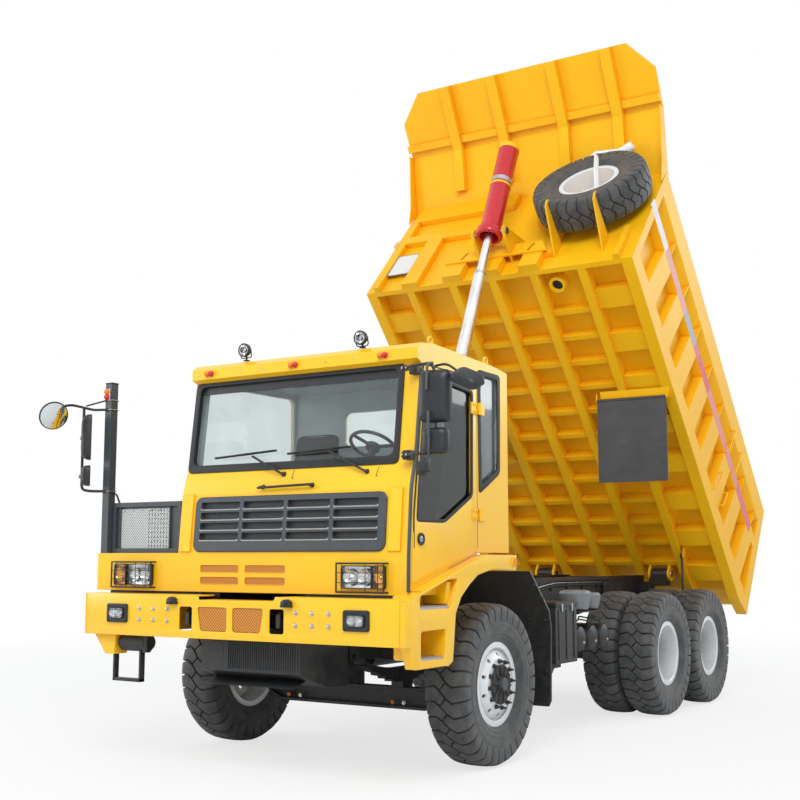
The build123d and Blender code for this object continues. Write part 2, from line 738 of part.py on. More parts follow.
# ---------------------------------------------------------------- deck box
deck_right = -1840
deck_back = 250
deck_wall = 40
with BuildPart() as deck_box:
    with BuildSketch(side(deck_right)):
        with BuildLine():
            Polyline(
                (cab_face, nose_bottom), (cab_face, cab_sill), (deck_back, cab_sill),
                (deck_back, cab_sill - 110), (-500, cab_sill - 110), (-860, nose_bottom), close=True,
            )
        make_face()
    extrude(amount=cab_right - clear - deck_right)
    # Hollow, open below.
    with BuildSketch(side(deck_right + deck_wall)):
        with BuildLine():
            Polyline(
                (cab_face + deck_wall, nose_bottom - 20), (cab_face + deck_wall, cab_sill - deck_wall),
                (deck_back - deck_wall, cab_sill - deck_wall), (deck_back - deck_wall, cab_sill - 130),
                (-500, cab_sill - 130), (-860, nose_bottom - 20), close=True,
            )
        make_face()
    extrude(amount=cab_right - clear - deck_right - 2 * deck_wall, mode=Mode.SUBTRACT)
save(deck_box.part, "deck_box")

cage_right, cage_left = -1730, -890
cage_front, cage_back = -1400, -300
cage_top = 2256
cage_bar, cage_panel = 42, 10
cage_middle = ((cage_right + cage_left) / 2, (cage_front + cage_back) / 2)
with BuildPart() as deck_cage:
    with BuildSketch(level(cab_sill)):
        with Locations(cage_middle):
            Rectangle(cage_left - cage_right, cage_back - cage_front)
    extrude(amount=cage_top - cab_sill)
    with BuildSketch(level(cab_sill)):
        with Locations(cage_middle):
            Rectangle(cage_left - cage_right - 2 * cage_bar, cage_back - cage_front - 2 * cage_bar)
    extrude(amount=cage_top - cab_sill - cage_bar, mode=Mode.SUBTRACT)
    # Openings in the four sides and the top, each closed by a sheet at mid depth.
    panel_mid = (cab_sill + cage_top) / 2
    with BuildSketch(front(cage_front)):
        with Locations((cage_middle[0], panel_mid)):
            Rectangle(cage_left - cage_right - 2 * cage_bar, cage_top - cab_sill - 2 * cage_bar)
    extrude(amount=cage_front - cage_back, mode=Mode.SUBTRACT)
    with BuildSketch(side(cage_right)):
        with Locations((cage_middle[1], panel_mid)):
            Rectangle(cage_back - cage_front - 2 * cage_bar, cage_top - cab_sill - 2 * cage_bar)
    extrude(amount=cage_left - cage_right, mode=Mode.SUBTRACT)
    with BuildSketch(front(cage_front + cage_bar / 2)):
        with Locations((cage_middle[0], panel_mid)):
            Rectangle(cage_left - cage_right - 2 * cage_bar + 2, cage_top - cab_sill - 2 * cage_bar + 2)
    extrude(amount=-cage_panel)
    with BuildSketch(front(cage_back - cage_bar / 2)):
        with Locations((cage_middle[0], panel_mid)):
            Rectangle(cage_left - cage_right - 2 * cage_bar + 2, cage_top - cab_sill - 2 * cage_bar + 2)
    extrude(amount=-cage_panel)
    for x in (cage_right + cage_bar / 2, cage_left - cage_bar / 2 - cage_panel):
        with BuildSketch(side(x)):
            with Locations((cage_middle[1], panel_mid)):
                Rectangle(cage_back - cage_front - 2 * cage_bar + 2, cage_top - cab_sill - 2 * cage_bar + 2)
        extrude(amount=cage_panel)
save(deck_cage.part, "deck_cage")

post_size = 80
post_x = -1780
post_place = -1410
post_top = 3373
with BuildPart() as mirror_post:
    with BuildSketch(level(cab_sill)):
        with Locations((post_x, post_place)):
            Rectangle(post_size, post_size)
    extrude(amount=post_top - cab_sill)
save(mirror_post.part, "mirror_post")

# ---------------------------------------------------------------- left step housing and fender
step_left = 1580
step_profile = (
    (cab_face, 906), (-863, 913), (-811, 1326), (-677, 1586), (-500, 1650), (-143, 1700), (320, 1707),
    (320, cab_sill - clear), (-860 + clear, cab_sill - clear), (-860 + clear, nose_bottom - clear), (cab_face, nose_bottom - clear),
)
step_pockets = (
    ((-1300, 964), (-905, 964), (-895, 1202), (-1300, 1202)),
    ((-1300, 1344), (-860, 1344), (-745, 1580), (-985, 1580), (-1300, 1450)),
)
with BuildPart() as step_housing:
    with BuildSketch(side(1130)):
        with BuildLine():
            Polyline(*step_profile, close=True)
        make_face()
    extrude(amount=step_left - 1130)
    for pocket in step_pockets:
        with BuildSketch(side(step_left - 260)):
            with BuildLine():
                Polyline(*pocket, close=True)
            make_face()
            fillet(vertices(), 25)
        extrude(amount=261, mode=Mode.SUBTRACT)
save(step_housing.part, "step_housing")

guard_place = 1000
with BuildPart() as mudguards:
    for hand in (-1, 1):
        with BuildSketch(front(guard_place)):
            with BuildLine():
                Polyline(
                    (hand * frame_half, 1632), (hand * 1315, 1632), (hand * 1345, 1580), (hand * 1507, 1271),
                    (hand * 1527, 1110), (hand * 1515, 447), (hand * 1491, 396), (hand * frame_half, 396), close=True,
                )
            make_face()
        extrude(amount=-25)
save(mudguards.part, "mudguards")

# ---------------------------------------------------------------- bed
bed_inner = bed_half - side_thick
wall_foot = bed_length
wall_head = bed_length + wall_lean
tail_u, tail_v = -780, 98
floor_back = -410
beam_width_u = 100
beam_xs = (-1120, -530, 0, 530, 1120)
cross_pitch = 350
outer_pitch = 590
floor_under = floor_level - floor_plate
wall_plate = 60

ear_inner, ear_outer, ear_thick, ear_radius = 685, 940, 30, 90
hinge_pin = 35
flap_x, flap_width, flap_u, flap_v = 1225, 850, 2800, -60
flap_length, flap_thick = 970, 15
flap_shift, flap_lug, flap_rod, flap_roll = 40, 12, 10, 17
ejector_x, ejector_u, ejector_v, ejector_half, ejector_pin = 1185, 330, -20, 14, 9
ejector_length, ejector_bar = 500, 25
ring_u, ring_x = bed_length - 240, 760

trunnion_u, trunnion_v, trunnion_pin = bed_length + 390, 340, 32
hoist_ear_x, hoist_ear_thick = 200, 30

with BuildPart() as bed_floor:
    with BuildSketch(bed_side(bed_inner)):
        with BuildLine():
            Polyline(
                (wall_foot - wall_plate, floor_level), (floor_back, floor_level), (tail_u, floor_level + tail_v),
                (tail_u, floor_level + tail_v - floor_plate), (floor_back, floor_under), (wall_foot - wall_plate, floor_under),
                close=True,
            )
        make_face()
    extrude(amount=2 * bed_inner)
save(bed_floor.part, "bed_floor")

with BuildPart() as bed_frame:
    for x in beam_xs:
        with BuildSketch(bed_side(x + beam_width_u / 2)):
            with BuildLine():
                Polyline(
                    (wall_foot - wall_plate, 0), (wall_foot - wall_plate, floor_under), (floor_back, floor_under),
                    (tail_u, floor_under + tail_v), (tail_u, tail_v), (floor_back, 0), close=True,
                )
            make_face()
        extrude(amount=beam_width_u)
    for i in range(12):
        with BuildSketch(bed_side(beam_xs[-1])):
            with Locations((bed_length - 615 - cross_pitch * i, (50 + floor_under) / 2)):
                Rectangle(60, floor_under - 50)
        extrude(amount=beam_xs[-1] - beam_xs[0])
    for hand in (-1, 1):
        for i in range(8):
            with BuildSketch(bed_side(bed_inner if hand > 0 else beam_xs[0])):
                with Locations((bed_length - 490 - outer_pitch * i, (40 + floor_under) / 2)):
                    Rectangle(250, floor_under - 40)
            extrude(amount=bed_inner - beam_xs[-1])
    # Ears of the rear hinge, down to the pin, and the angle plates over the mud flaps.
    for hand in (-1, 1):
        for x in (ear_inner, ear_outer):
            with BuildSketch(bed_side(hand * x + ear_thick / 2)):
                with BuildLine():
                    Polyline(
                        (-ear_radius, 0), (-ear_radius - 50, floor_under), (ear_radius + 50, floor_under),
                        (ear_radius, 0), close=True,
                    )
                make_face()
                Circle(ear_radius)
                Circle(hinge_pin + 0.05, mode=Mode.SUBTRACT)
            extrude(amount=ear_thick)
        flap_centre = hand * (flap_x + flap_shift)
        with BuildSketch(bed_side(flap_centre + flap_width / 2)):
            with BuildLine():
                Polyline(
                    (flap_u - 30, flap_v + 25), (flap_u - 30, flap_v + 40), (flap_u + 60, 0),
                    (flap_u + 90, 0), (flap_u + 10, flap_v + 25), close=True,
                )
            make_face()
        extrude(amount=flap_width)
        # Rod of the mud flap between two lugs.
        with BuildSketch(bed_side(hand * flap_x + flap_width / 2 + flap_lug)):
            with Locations((flap_u, flap_v)):
                Circle(flap_rod)
        extrude(amount=flap_width + 2 * flap_lug)
        for x in (hand * flap_x + flap_width / 2 + flap_lug, hand * flap_x - flap_width / 2 - 0.5):
            with BuildSketch(bed_side(x)):
                with BuildLine():
                    Polyline(
                        (flap_u - 18, flap_v - 14), (flap_u - 26, flap_v + 36), (flap_u + 40, 0), (flap_u + 70, 0),
                        (flap_u + 18, flap_v - 14), close=True,
                    )
                make_face()
            extrude(amount=flap_lug - 0.5)
        # Lug and pin of the stone ejector between the twin tyres.
        with BuildSketch(bed_side(hand * ejector_x + ejector_half + 12.5 if hand > 0 else -ejector_x + ejector_half + 12.5)):
            with BuildLine():
                Polyline(
                    (ejector_u - 30, floor_under), (ejector_u - 30, ejector_v), (ejector_u, ejector_v - 30),
                    (ejector_u + 30, ejector_v), (ejector_u + 170, floor_under), close=True,
                )
            make_face()
            with Locations((ejector_u + 60, 90)):
                Circle(22, mode=Mode.SUBTRACT)
        extrude(amount=12)
        with BuildSketch(bed_side(hand * ejector_x + ejector_half + 1)):
            with Locations((ejector_u, ejector_v)):
                Circle(ejector_pin)
        extrude(amount=2 * ejector_half + 8)
    # Ring under the floor near the front.
    with BuildSketch(bed_level(30)):
        with Locations((ring_u, ring_x)):
            Circle(98)
            Circle(64, mode=Mode.SUBTRACT)
    extrude(amount=floor_under - 30)
save(bed_frame.part, "bed_frame")

side_profile = (
    (wall_foot, 0), (floor_back, 0), (tail_u, tail_v), (floor_back, bed_height), (wall_head, bed_height),
)
rail_low, rail_mid_low, rail_mid_high = 230, 950, 1100
rail_top_low, rail_top_under = 1400, 1290
rib_width, rib_taper = 290, 22
rib_first = bed_length - 600
rib_count = 8
skin = 20
post_rear, post_front = 200, 120
# Section across a side wall, from its inner face outwards: (distance out, height).
wall_section = (
    (0, 0), (side_thick, 0), (side_thick, rail_low), (skin, rail_low + 25), (skin, rail_mid_low - 15),
    (side_thick, rail_mid_low), (side_thick, rail_mid_high), (skin, rail_mid_high + 15), (skin, rail_top_under),
    (side_thick, rail_top_low), (side_thick, bed_height), (0, bed_height),
)
for hand, label in ((1, "side_wall_left"), (-1, "side_wall_right")):
    with BuildPart() as side_wall:
        with BuildSketch(bed_cross(tail_u)):
            with BuildLine():
                Polyline(*[(hand * (bed_inner + out), v) for out, v in wall_section], close=True)
            make_face()
        extrude(amount=wall_head - tail_u)
        outer = bed_half if hand > 0 else -bed_inner
        # Pressed ribs between the lower and the middle rail, and small gussets above it.
        for i in range(rib_count):
            rib_u = rib_first - outer_pitch * i
            with BuildSketch(bed_level(rail_low - 1)):
                with BuildLine():
                    Polyline(
                        (rib_u - rib_width / 2 - rib_taper, hand * (bed_inner + skin - 1)),
                        (rib_u - rib_width / 2, hand * bed_half), (rib_u + rib_width / 2, hand * bed_half),
                        (rib_u + rib_width / 2 + rib_taper, hand * (bed_inner + skin - 1)), close=True,
                    )
                make_face()
            extrude(amount=rail_mid_low - rail_low + 2)
            with BuildSketch(bed_side(outer)):
                with BuildLine():
                    Polyline(
                        (rib_u - 8, rail_mid_high), (rib_u - 8, rail_top_low), (rib_u + 8, rail_top_low),
                        (rib_u + 8, rail_mid_high), close=True,
                    )
                make_face()
            extrude(amount=side_thick)
        # Rear post along the slanted edge, and the front post.
        with BuildSketch(bed_side(outer)):
            with BuildLine():
                Polyline(
                    (floor_back, bed_height), (tail_u, tail_v), (floor_back, 0), (floor_back + post_rear, 0),
                    (tail_u + post_rear, tail_v), (floor_back + post_rear, bed_height), close=True,
                )
            make_face()
            with BuildLine():
                Polyline(
                    (wall_foot, 0), (wall_head, bed_height), (wall_head - post_front, bed_height),
                    (wall_foot - post_front, 0), close=True,
                )
            make_face()
        extrude(amount=side_thick)
        # Trimmed to the wall's outline.
        with BuildSketch(bed_side(outer)):
            with BuildLine():
                Polyline(*side_profile, close=True)
            make_face()
        extrude(amount=side_thick, mode=Mode.INTERSECT)
    save(side_wall.part, label)

wall_run = hypot(wall_lean, bed_height)
wall_normal = (bed_u * bed_height - bed_v * wall_lean) / wall_run


def wall_at(depth):
    """Plane along the front wall's outer face, a depth in front of it: sketch (x, run up the wall)."""
    return Plane(origin=hinge + bed_u * wall_foot + wall_normal * depth, x_dir=(1, 0, 0), z_dir=wall_normal)


band = 70
foot_band = 90
hoist_notch = 165  # half width left flat behind the hoist's cover
front_bands = (
    # x and height of each raised box on the front wall: low corner, high corner
    (-bed_inner, 1430, -hoist_notch, wall_run - 2),
    (hoist_notch, 1430, 330, wall_run - 2),
    (-bed_inner, 930, -330, 1080),
    (330, 930, 850, 1080),
    (-bed_inner, 0, -bed_inner + 70, 1431),
    (bed_inner - 70, 0, bed_inner, 560),
    (-1200, 0, -980, 931),
    (620, 240, 740, 931),
)
foot_boxes = ((-620, -380), (-120, 120), (380, 620))
shelf_low, shelf_high, shelf_lap = 240, 460, 20
with BuildPart() as front_wall:
    with BuildSketch(bed_side(bed_inner)):
        with BuildLine():
            Polyline(
                (wall_foot - wall_plate, 0), (wall_foot, 0), (wall_head, bed_height), (wall_head - wall_plate, bed_height),
                close=True,
            )
        make_face()
    extrude(amount=2 * bed_inner)
    with BuildSketch(wall_at(0)):
        for low_x, low, high_x, high in front_bands:
            with Locations(((low_x + high_x) / 2, (low + high) / 2)):
                Rectangle(high_x - low_x, high - low)
    extrude(amount=band)
    with BuildSketch(wall_at(0)):
        for low_x, high_x in foot_boxes:
            with Locations(((low_x + high_x) / 2, (shelf_low + shelf_lap) / 2)):
                Rectangle(high_x - low_x, shelf_low + shelf_lap)
    extrude(amount=foot_band)
    # Shelf plate for the hoist, with a long slot each side.
    with BuildSketch(wall_at(foot_band)):
        with BuildLine():
            Polyline((-660, shelf_low), (-540, shelf_high), (560, shelf_high), (680, shelf_low), close=True)
        make_face()
        with Locations((-430, (shelf_low + shelf_high) / 2), (450, (shelf_low + shelf_high) / 2)):
            SlotOverall(150, 34, rotation=70, mode=Mode.SUBTRACT)
    extrude(amount=20)
    with BuildSketch(wall_at(0)):
        for low_x, high_x in foot_boxes:
            with Locations(((low_x + high_x) / 2, (shelf_low + shelf_high) / 2)):
                Rectangle(90, shelf_high - shelf_low + 2)
    extrude(amount=foot_band + 1)
    # Ears that hold the hoist's trunnion.
    for hand in (-1, 1):
        with BuildSketch(bed_side(hand * hoist_ear_x + hoist_ear_thick / 2)):
            with BuildLine():
                Polyline(
                    (wall_foot + 20, 245), (trunnion_u - 40, trunnion_v - 70), (trunnion_u + 60, trunnion_v - 40),
                    (trunnion_u + 60, trunnion_v + 40), (trunnion_u - 30, trunnion_v + 90), (wall_foot + 40, 700),
                    close=True,
                )
            make_face()
            with Locations((trunnion_u, trunnion_v)):
                Circle(trunnion_pin + 0.05, mode=Mode.SUBTRACT)
        extrude(amount=hoist_ear_thick)
save(front_wall.part, "front_wall")

canopy_bend = (wall_head + 622, bed_height + 447)
canopy_out = (wall_head + 1412, bed_height + 642)
canopy_plate = 40
canopy_rib, canopy_rib_depth = 130, 90
canopy_rib_xs = (-1000, -330, 490, 1200)
rib_start = 170
chamfer_x, chamfer_u = 310, 345
with BuildPart() as canopy:
    with BuildSketch(bed_side(bed_half)):
        with BuildLine():
            Polyline((wall_head - wall_plate, bed_height), (wall_head, bed_height), canopy_bend, canopy_out)
            offset(amount=canopy_plate, side=Side.LEFT, kind=Kind.INTERSECTION)
        make_face()
    extrude(amount=2 * bed_half)
    # Box ribs along the underside, and one across at the bend.
    first_run = (canopy_bend[0] - wall_head, canopy_bend[1] - bed_height)
    rib_foot = (wall_head + rib_start, bed_height + rib_start * first_run[1] / first_run[0])
    for x in canopy_rib_xs:
        with BuildSketch(bed_side(x + canopy_rib / 2)):
            with BuildLine():
                Polyline(rib_foot, canopy_bend, canopy_out)
                offset(amount=canopy_rib_depth, side=Side.RIGHT, kind=Kind.INTERSECTION)
            make_face()
        extrude(amount=canopy_rib)
    with BuildSketch(bed_side(bed_half)):
        with BuildLine():
            Polyline(
                (canopy_bend[0] + 80, canopy_bend[1] + 20), (canopy_bend[0] + 170, canopy_bend[1] + 42),
                (canopy_bend[0] + 186, canopy_bend[1] - 16), (canopy_bend[0] + 96, canopy_bend[1] - 38), close=True,
            )
        make_face()
    extrude(amount=2 * bed_half)
    # Cheek plates at both sides, from the bend down to the wall's head.
    for x in (bed_half, -bed_half + cheek_thick):
        with BuildSketch(bed_side(x)):
            with BuildLine():
                Polyline(
                    (wall_head + 1, bed_height - 2), canopy_bend, (canopy_bend[0] + 60, canopy_bend[1] - 60),
                    (wall_head + 150, bed_height - 60), (wall_head + 1, bed_height - 250), close=True,
                )
            make_face()
        extrude(amount=cheek_thick)
    # Chamfered front corners.
    with BuildSketch(bed_level(bed_height)):
        for hand in (-1, 1):
            with BuildLine():
                Polyline(
                    (canopy_out[0] - chamfer_u, hand * (bed_half + 1)), (canopy_out[0] + 60, hand * (bed_half + 1)),
                    (canopy_out[0] + 60, hand * (bed_half - chamfer_x)), (canopy_out[0], hand * (bed_half - chamfer_x)),
                    close=True,
                )
            make_face()
    extrude(amount=1000, mode=Mode.SUBTRACT)
save(canopy.part, "canopy")

# Mud flaps: rubber sheets that hang plumb below the bed.
flap_pivot = hinge + bed_u * flap_u + bed_v * flap_v
with BuildPart() as mud_flaps:
    for hand in (-1, 1):
        flap_plane = Plane(
            origin=(hand * flap_x, flap_pivot.Y + flap_thick / 2, flap_pivot.Z), x_dir=(1, 0, 0), z_dir=(0, -1, 0),
        )
        with BuildSketch(flap_plane):
            with Locations((0, -flap_length / 2)):
                RectangleRounded(flap_width - 2, flap_length, 30)
        extrude(amount=flap_thick)
        # Rolled head of the flap round its rod.
        with BuildSketch(Plane(origin=flap_pivot + Vector(hand * flap_x - flap_width / 2 + 1, 0, 0), x_dir=(0, 1, 0), z_dir=(1, 0, 0))):
            Circle(flap_roll)
        extrude(amount=flap_width - 2)
        with BuildSketch(Plane(origin=flap_pivot + Vector(hand * flap_x - flap_width / 2 + 1, 0, 0), x_dir=(0, 1, 0), z_dir=(1, 0, 0))):
            Circle(flap_rod + 0.05)
        extrude(amount=flap_width - 2, mode=Mode.SUBTRACT)
save(mud_flaps.part, "mud_flaps")

# Stone ejectors: round bars that hang between the rearmost twin tyres.
ejector_pivot = hinge + bed_u * ejector_u + bed_v * ejector_v
with BuildPart() as stone_ejectors:
    for hand in (-1, 1):
        with Locations((hand * ejector_x, ejector_pivot.Y, ejector_pivot.Z - ejector_length / 2)):
            Cylinder(ejector_bar / 2, ejector_length)
        with BuildSketch(Plane(origin=ejector_pivot + Vector(hand * ejector_x - ejector_half, 0, 0), x_dir=(0, 1, 0), z_dir=(1, 0, 0))):
            Circle(28)
        extrude(amount=2 * ejector_half)
        with BuildSketch(Plane(origin=ejector_pivot + Vector(hand * ejector_x - 20, 0, 0), x_dir=(0, 1, 0), z_dir=(1, 0, 0))):
            Circle(ejector_pin + 0.05)
        extrude(amount=40, mode=Mode.SUBTRACT)
save(stone_ejectors.part, "stone_ejectors")

# ---------------------------------------------------------------- spare wheel
spare_x, spare_u, spare_v = 1050, bed_length + 379, bed_height - 648
spare_axis = Axis((hinge + Vector(spare_x, 0, 0) + bed_u * spare_u + bed_v * spare_v).to_tuple(), bed_u.to_tuple())
spare_place = Plane(
    origin=hinge + Vector(spare_x, 0, 0) + bed_u * spare_u + bed_v * spare_v, x_dir=bed_u, z_dir=(-1, 0, 0),
)
with BuildPart() as spare_tyre:
    add(spare_place.location * tyre_face(0, 1))
    revolve(axis=spare_axis)
save(spare_tyre.part, "spare_tyre")
with BuildPart() as spare_rim:
    add(spare_place.location * rim_face(0, -1, disc_mount - 60))
    revolve(axis=spare_axis)
save(spare_rim.part, "spare_rim")

carrier_xs = (760, 1340)
carrier_thick = 20
disc_face = spare_u - (disc_mount - 60)
near = spare_x - carrier_xs[0] - carrier_thick / 2
tip_u, tip_v = spare_u + tyre_width / 2 + 14, spare_v - tyre_radius
carrier_top = spare_v - sqrt(tyre_radius**2 - near**2) - clear
with BuildPart() as spare_carrier:
    # Tapered arms under the tyre, with a lip at the end.
    for x in carrier_xs:
        with BuildSketch(bed_side(x + carrier_thick / 2)):
            with BuildLine():
                Polyline(
                    (wall_foot, tip_v - 195), (tip_u, tip_v), (tip_u + 42, tip_v + 85), (tip_u + 26, tip_v + 135),
                    (tip_u, carrier_top), (wall_foot, carrier_top),
                    close=True,
                )
            make_face()
        extrude(amount=carrier_thick)
    # Pedestal that the rim is bolted to.
    with BuildSketch(bed_cross(disc_face - clear)):
        with Locations((spare_x, spare_v)):
            Circle(185)
            Circle(60, mode=Mode.SUBTRACT)
    extrude(amount=-200)
    split(bisect_by=wall_at(0), keep=Keep.TOP)
save(spare_carrier.part, "spare_carrier")

# ---------------------------------------------------------------- hoist
eye_place, eye_z = 760, 1080
trunnion = hinge + bed_u * trunnion_u + bed_v * trunnion_v
eye = Vector(0, y_of(eye_place), eye_z)
hoist_axis = (trunnion - eye).normalized()
hoist_length = (trunnion - eye).length
cover_outer, cover_inner, cover_top, cap_depth = 123, 113, 1300, 60
ring_outer, ring_half = 157, 60
rod_radius, rod_end = 52, -650
slide_gap = 0.5
stages = (
    # name, outer radius, inner radius, top and bottom along the axis from the trunnion
    ("hoist_stage_2", 73, rod_radius + slide_gap, -570, -1900),
    ("hoist_stage_3", 87, 73 + slide_gap, -1704, -3250),
)
barrel_outer, barrel_inner, barrel_top, barrel_foot = 102, 87 + slide_gap, -3050, 30
eye_outer, eye_hole, eye_half = 60, 35, 109.5
trunnion_reach = hoist_ear_x + hoist_ear_thick / 2


def hoist_at(along):
    """Plane square to the hoist's axis, a distance up it from the trunnion."""
    return Plane(origin=trunnion + hoist_axis * along, x_dir=(1, 0, 0), z_dir=hoist_axis)


with BuildPart() as hoist_cover:
    with BuildSketch(hoist_at(-ring_half)):
        Circle(cover_outer)
    extrude(amount=cover_top + ring_half)
    with BuildSketch(hoist_at(-ring_half)):
        Circle(ring_outer)
    extrude(amount=2 * ring_half)
    with BuildSketch(hoist_at(cover_top - cap_depth)):
        Circle(cover_outer + 4)
    extrude(amount=cap_depth)
    with BuildSketch(Plane(origin=trunnion - Vector(trunnion_reach, 0, 0), x_dir=(0, 1, 0), z_dir=(1, 0, 0))):
        Circle(trunnion_pin)
    extrude(amount=2 * trunnion_reach)
    with BuildSketch(hoist_at(-ring_half)):
        Circle(cover_inner)
    extrude(amount=cover_top - cap_depth + ring_half, mode=Mode.SUBTRACT)
save(hoist_cover.part, "hoist_cover")
with BuildPart() as hoist_rod:
    with BuildSketch(hoist_at(rod_end)):
        Circle(rod_radius)
    extrude(amount=cover_top - cap_depth - rod_end)
save(hoist_rod.part, "hoist_rod")
for name, outer, inner, high, low in stages:
    with BuildPart() as stage:
        with BuildSketch(hoist_at(low)):
            Circle(outer)
            Circle(inner, mode=Mode.SUBTRACT)
        extrude(amount=high - low)
    save(stage.part, name)
with BuildPart() as hoist_barrel:
    with BuildSketch(hoist_at(barrel_foot - hoist_length)):
        Circle(barrel_outer)
    extrude(amount=barrel_top + hoist_length - barrel_foot)
    with BuildSketch(hoist_at(barrel_foot + 60 - hoist_length)):
        Circle(barrel_inner)
    extrude(amount=barrel_top + hoist_length - barrel_foot - 60, mode=Mode.SUBTRACT)
    with BuildSketch(Plane(origin=eye - Vector(eye_half, 0, 0), x_dir=(0, 1, 0), z_dir=(1, 0, 0))):
        Circle(eye_outer)
    extrude(amount=2 * eye_half)
    with BuildSketch(Plane(origin=eye - Vector(eye_half, 0, 0), x_dir=(0, 1, 0), z_dir=(1, 0, 0))):
        Circle(eye_hole)
    extrude(amount=2 * eye_half, mode=Mode.SUBTRACT)
save(hoist_barrel.part, "hoist_barrel")

# Chassis bracket of the hoist: a cross tube on the rails with two ears for the eye.
bracket_ear, plate_thick = 122, 24
with BuildPart() as frame_brackets:
    for hand in (-1, 1):
        with BuildSketch(side(hand * bracket_ear - plate_thick / 2)):
            with BuildLine():
                Polyline(
                    (eye_place - 90, eye_z - 60), (eye_place - 70, eye_z + 90), (eye_place + 70, eye_z + 90),
                    (eye_place + 90, eye_z - 60), (eye_place + 90, eye_z - 220), (eye_place - 90, eye_z - 220), close=True,
                )
            make_face()
        extrude(amount=plate_thick)
        # Plate down the inside of the rail, on a block that fills the rail's channel.
        with BuildSketch(side(hand * (frame_half - rail_flange - plate_thick / 2 - clear) - plate_thick / 2)):
            with Locations((eye_place, (rail_top + eye_z - 320) / 2 - 20)):
                Rectangle(200, rail_top - eye_z + 280)
        extrude(amount=plate_thick)
        with BuildSketch(side(hand * (frame_half - rail_flange - plate_thick))):
            with Locations((eye_place, rail_top - rail_height / 2)):
                Rectangle(160, rail_height - 2 * rail_web - 2 * clear)
        extrude(amount=hand * (rail_flange + plate_thick - rail_web - clear))
    with BuildSketch(side(rail_flange + plate_thick - frame_half)):
        with Locations((eye_place, eye_z - 250)):
            RectangleRounded(180, 110, 20)
    extrude(amount=2 * (frame_half - rail_flange - plate_thick))
    # Heads of the eye's pin, outside the ears.
    for hand in (-1, 1):
        with BuildSketch(side(hand * bracket_ear)):
            with Locations((eye_place, eye_z)):
                Circle(eye_hole + 10)
        extrude(amount=hand * (plate_thick / 2 + 14))
    # Rear hinge blocks: a cross beam out of each rail with an upright round the pin.
    with BuildSketch(side(-ear_inner - 20)):
        with Locations((hinge_y - 60, hinge_z - 190)):
            Rectangle(240, 180)
    extrude(amount=ear_inner + 20 - frame_half)
    with BuildSketch(side(frame_half)):
        with Locations((hinge_y - 60, hinge_z - 190)):
            Rectangle(240, 180)
    extrude(amount=ear_inner + 20 - frame_half)
    for hand in (-1, 1):
        start = ear_inner + 20 if hand > 0 else -ear_outer + 20
        with BuildSketch(side(start)):
            with BuildLine():
                Polyline(
                    (hinge_y - 180, hinge_z - 150), (hinge_y - 180, hinge_z - 110), (hinge_y - 70, hinge_z),
                    (hinge_y + 70, hinge_z), (hinge_y + 60, hinge_z - 110), (hinge_y + 60, hinge_z - 150), close=True,
                )
            make_face()
            with Locations((hinge_y, hinge_z)):
                Circle(70)
        extrude(amount=ear_outer - ear_inner - 40)
        with BuildSketch(side(hand * (ear_inner - 25))):
            with Locations((hinge_y, hinge_z)):
                Circle(hinge_pin)
        extrude(amount=hand * (ear_outer - ear_inner + 50))
save(frame_brackets.part, "frame_brackets")

# ---------------------------------------------------------------- tanks
tank_radius, tank_end, tank_z = 127, 1350, 940
tank_places = (2140, 2440, 2740)
with BuildPart() as air_tanks:
    for place in tank_places:
        with BuildSketch(side(700)):
            with Locations((place, tank_z)):
                Circle(tank_radius)
        extrude(amount=tank_end - 700)
    with BuildSketch(side(frame_half)):
        with Locations((sum(tank_places) / 3, tank_z + tank_radius + 150)):
            Rectangle(850, 40)
    extrude(amount=400)
    for place in tank_places:
        with Locations((850, y_of(place), tank_z + tank_radius + 65)):
            Box(60, 60, 150)
save(air_tanks.part, "air_tanks")

reservoir_x, reservoir_z, reservoir_radius = 1290, 1330, 105
with BuildPart() as reservoir:
    with BuildSketch(front(2050)):
        with Locations((reservoir_x, reservoir_z)):
            Circle(reservoir_radius)
    extrude(amount=-720)
    with BuildSketch(front(2100)):
        with Locations(((frame_half + reservoir_x) / 2, reservoir_z)):
            Rectangle(reservoir_x - frame_half, 50)
    extrude(amount=-60)
    with BuildSketch(front(2560)):
        with Locations(((frame_half + reservoir_x) / 2, reservoir_z)):
            Rectangle(reservoir_x - frame_half, 50)
    extrude(amount=-60)
save(reservoir.part, "reservoir")

with BuildPart() as battery_box:
    with BuildSketch(level(450)):
        with Locations(((frame_half + 1350) / 2, 1725)):
            Rectangle(1350 - frame_half, 550)
    extrude(amount=880)
save(battery_box.part, "battery_box")

with BuildPart() as fuel_tank:
    with BuildSketch(front(1250)):
        with Locations((-(frame_half + 20 + 350), 940)):
            RectangleRounded(700, 620, 110)
    extrude(amount=-1500)
    for place in (1500, 2400):
        with BuildSketch(front(place)):
            with Locations((-frame_half - 30, 1280)):
                Rectangle(60, 160)
        extrude(amount=-80)
save(fuel_tank.part, "fuel_tank")

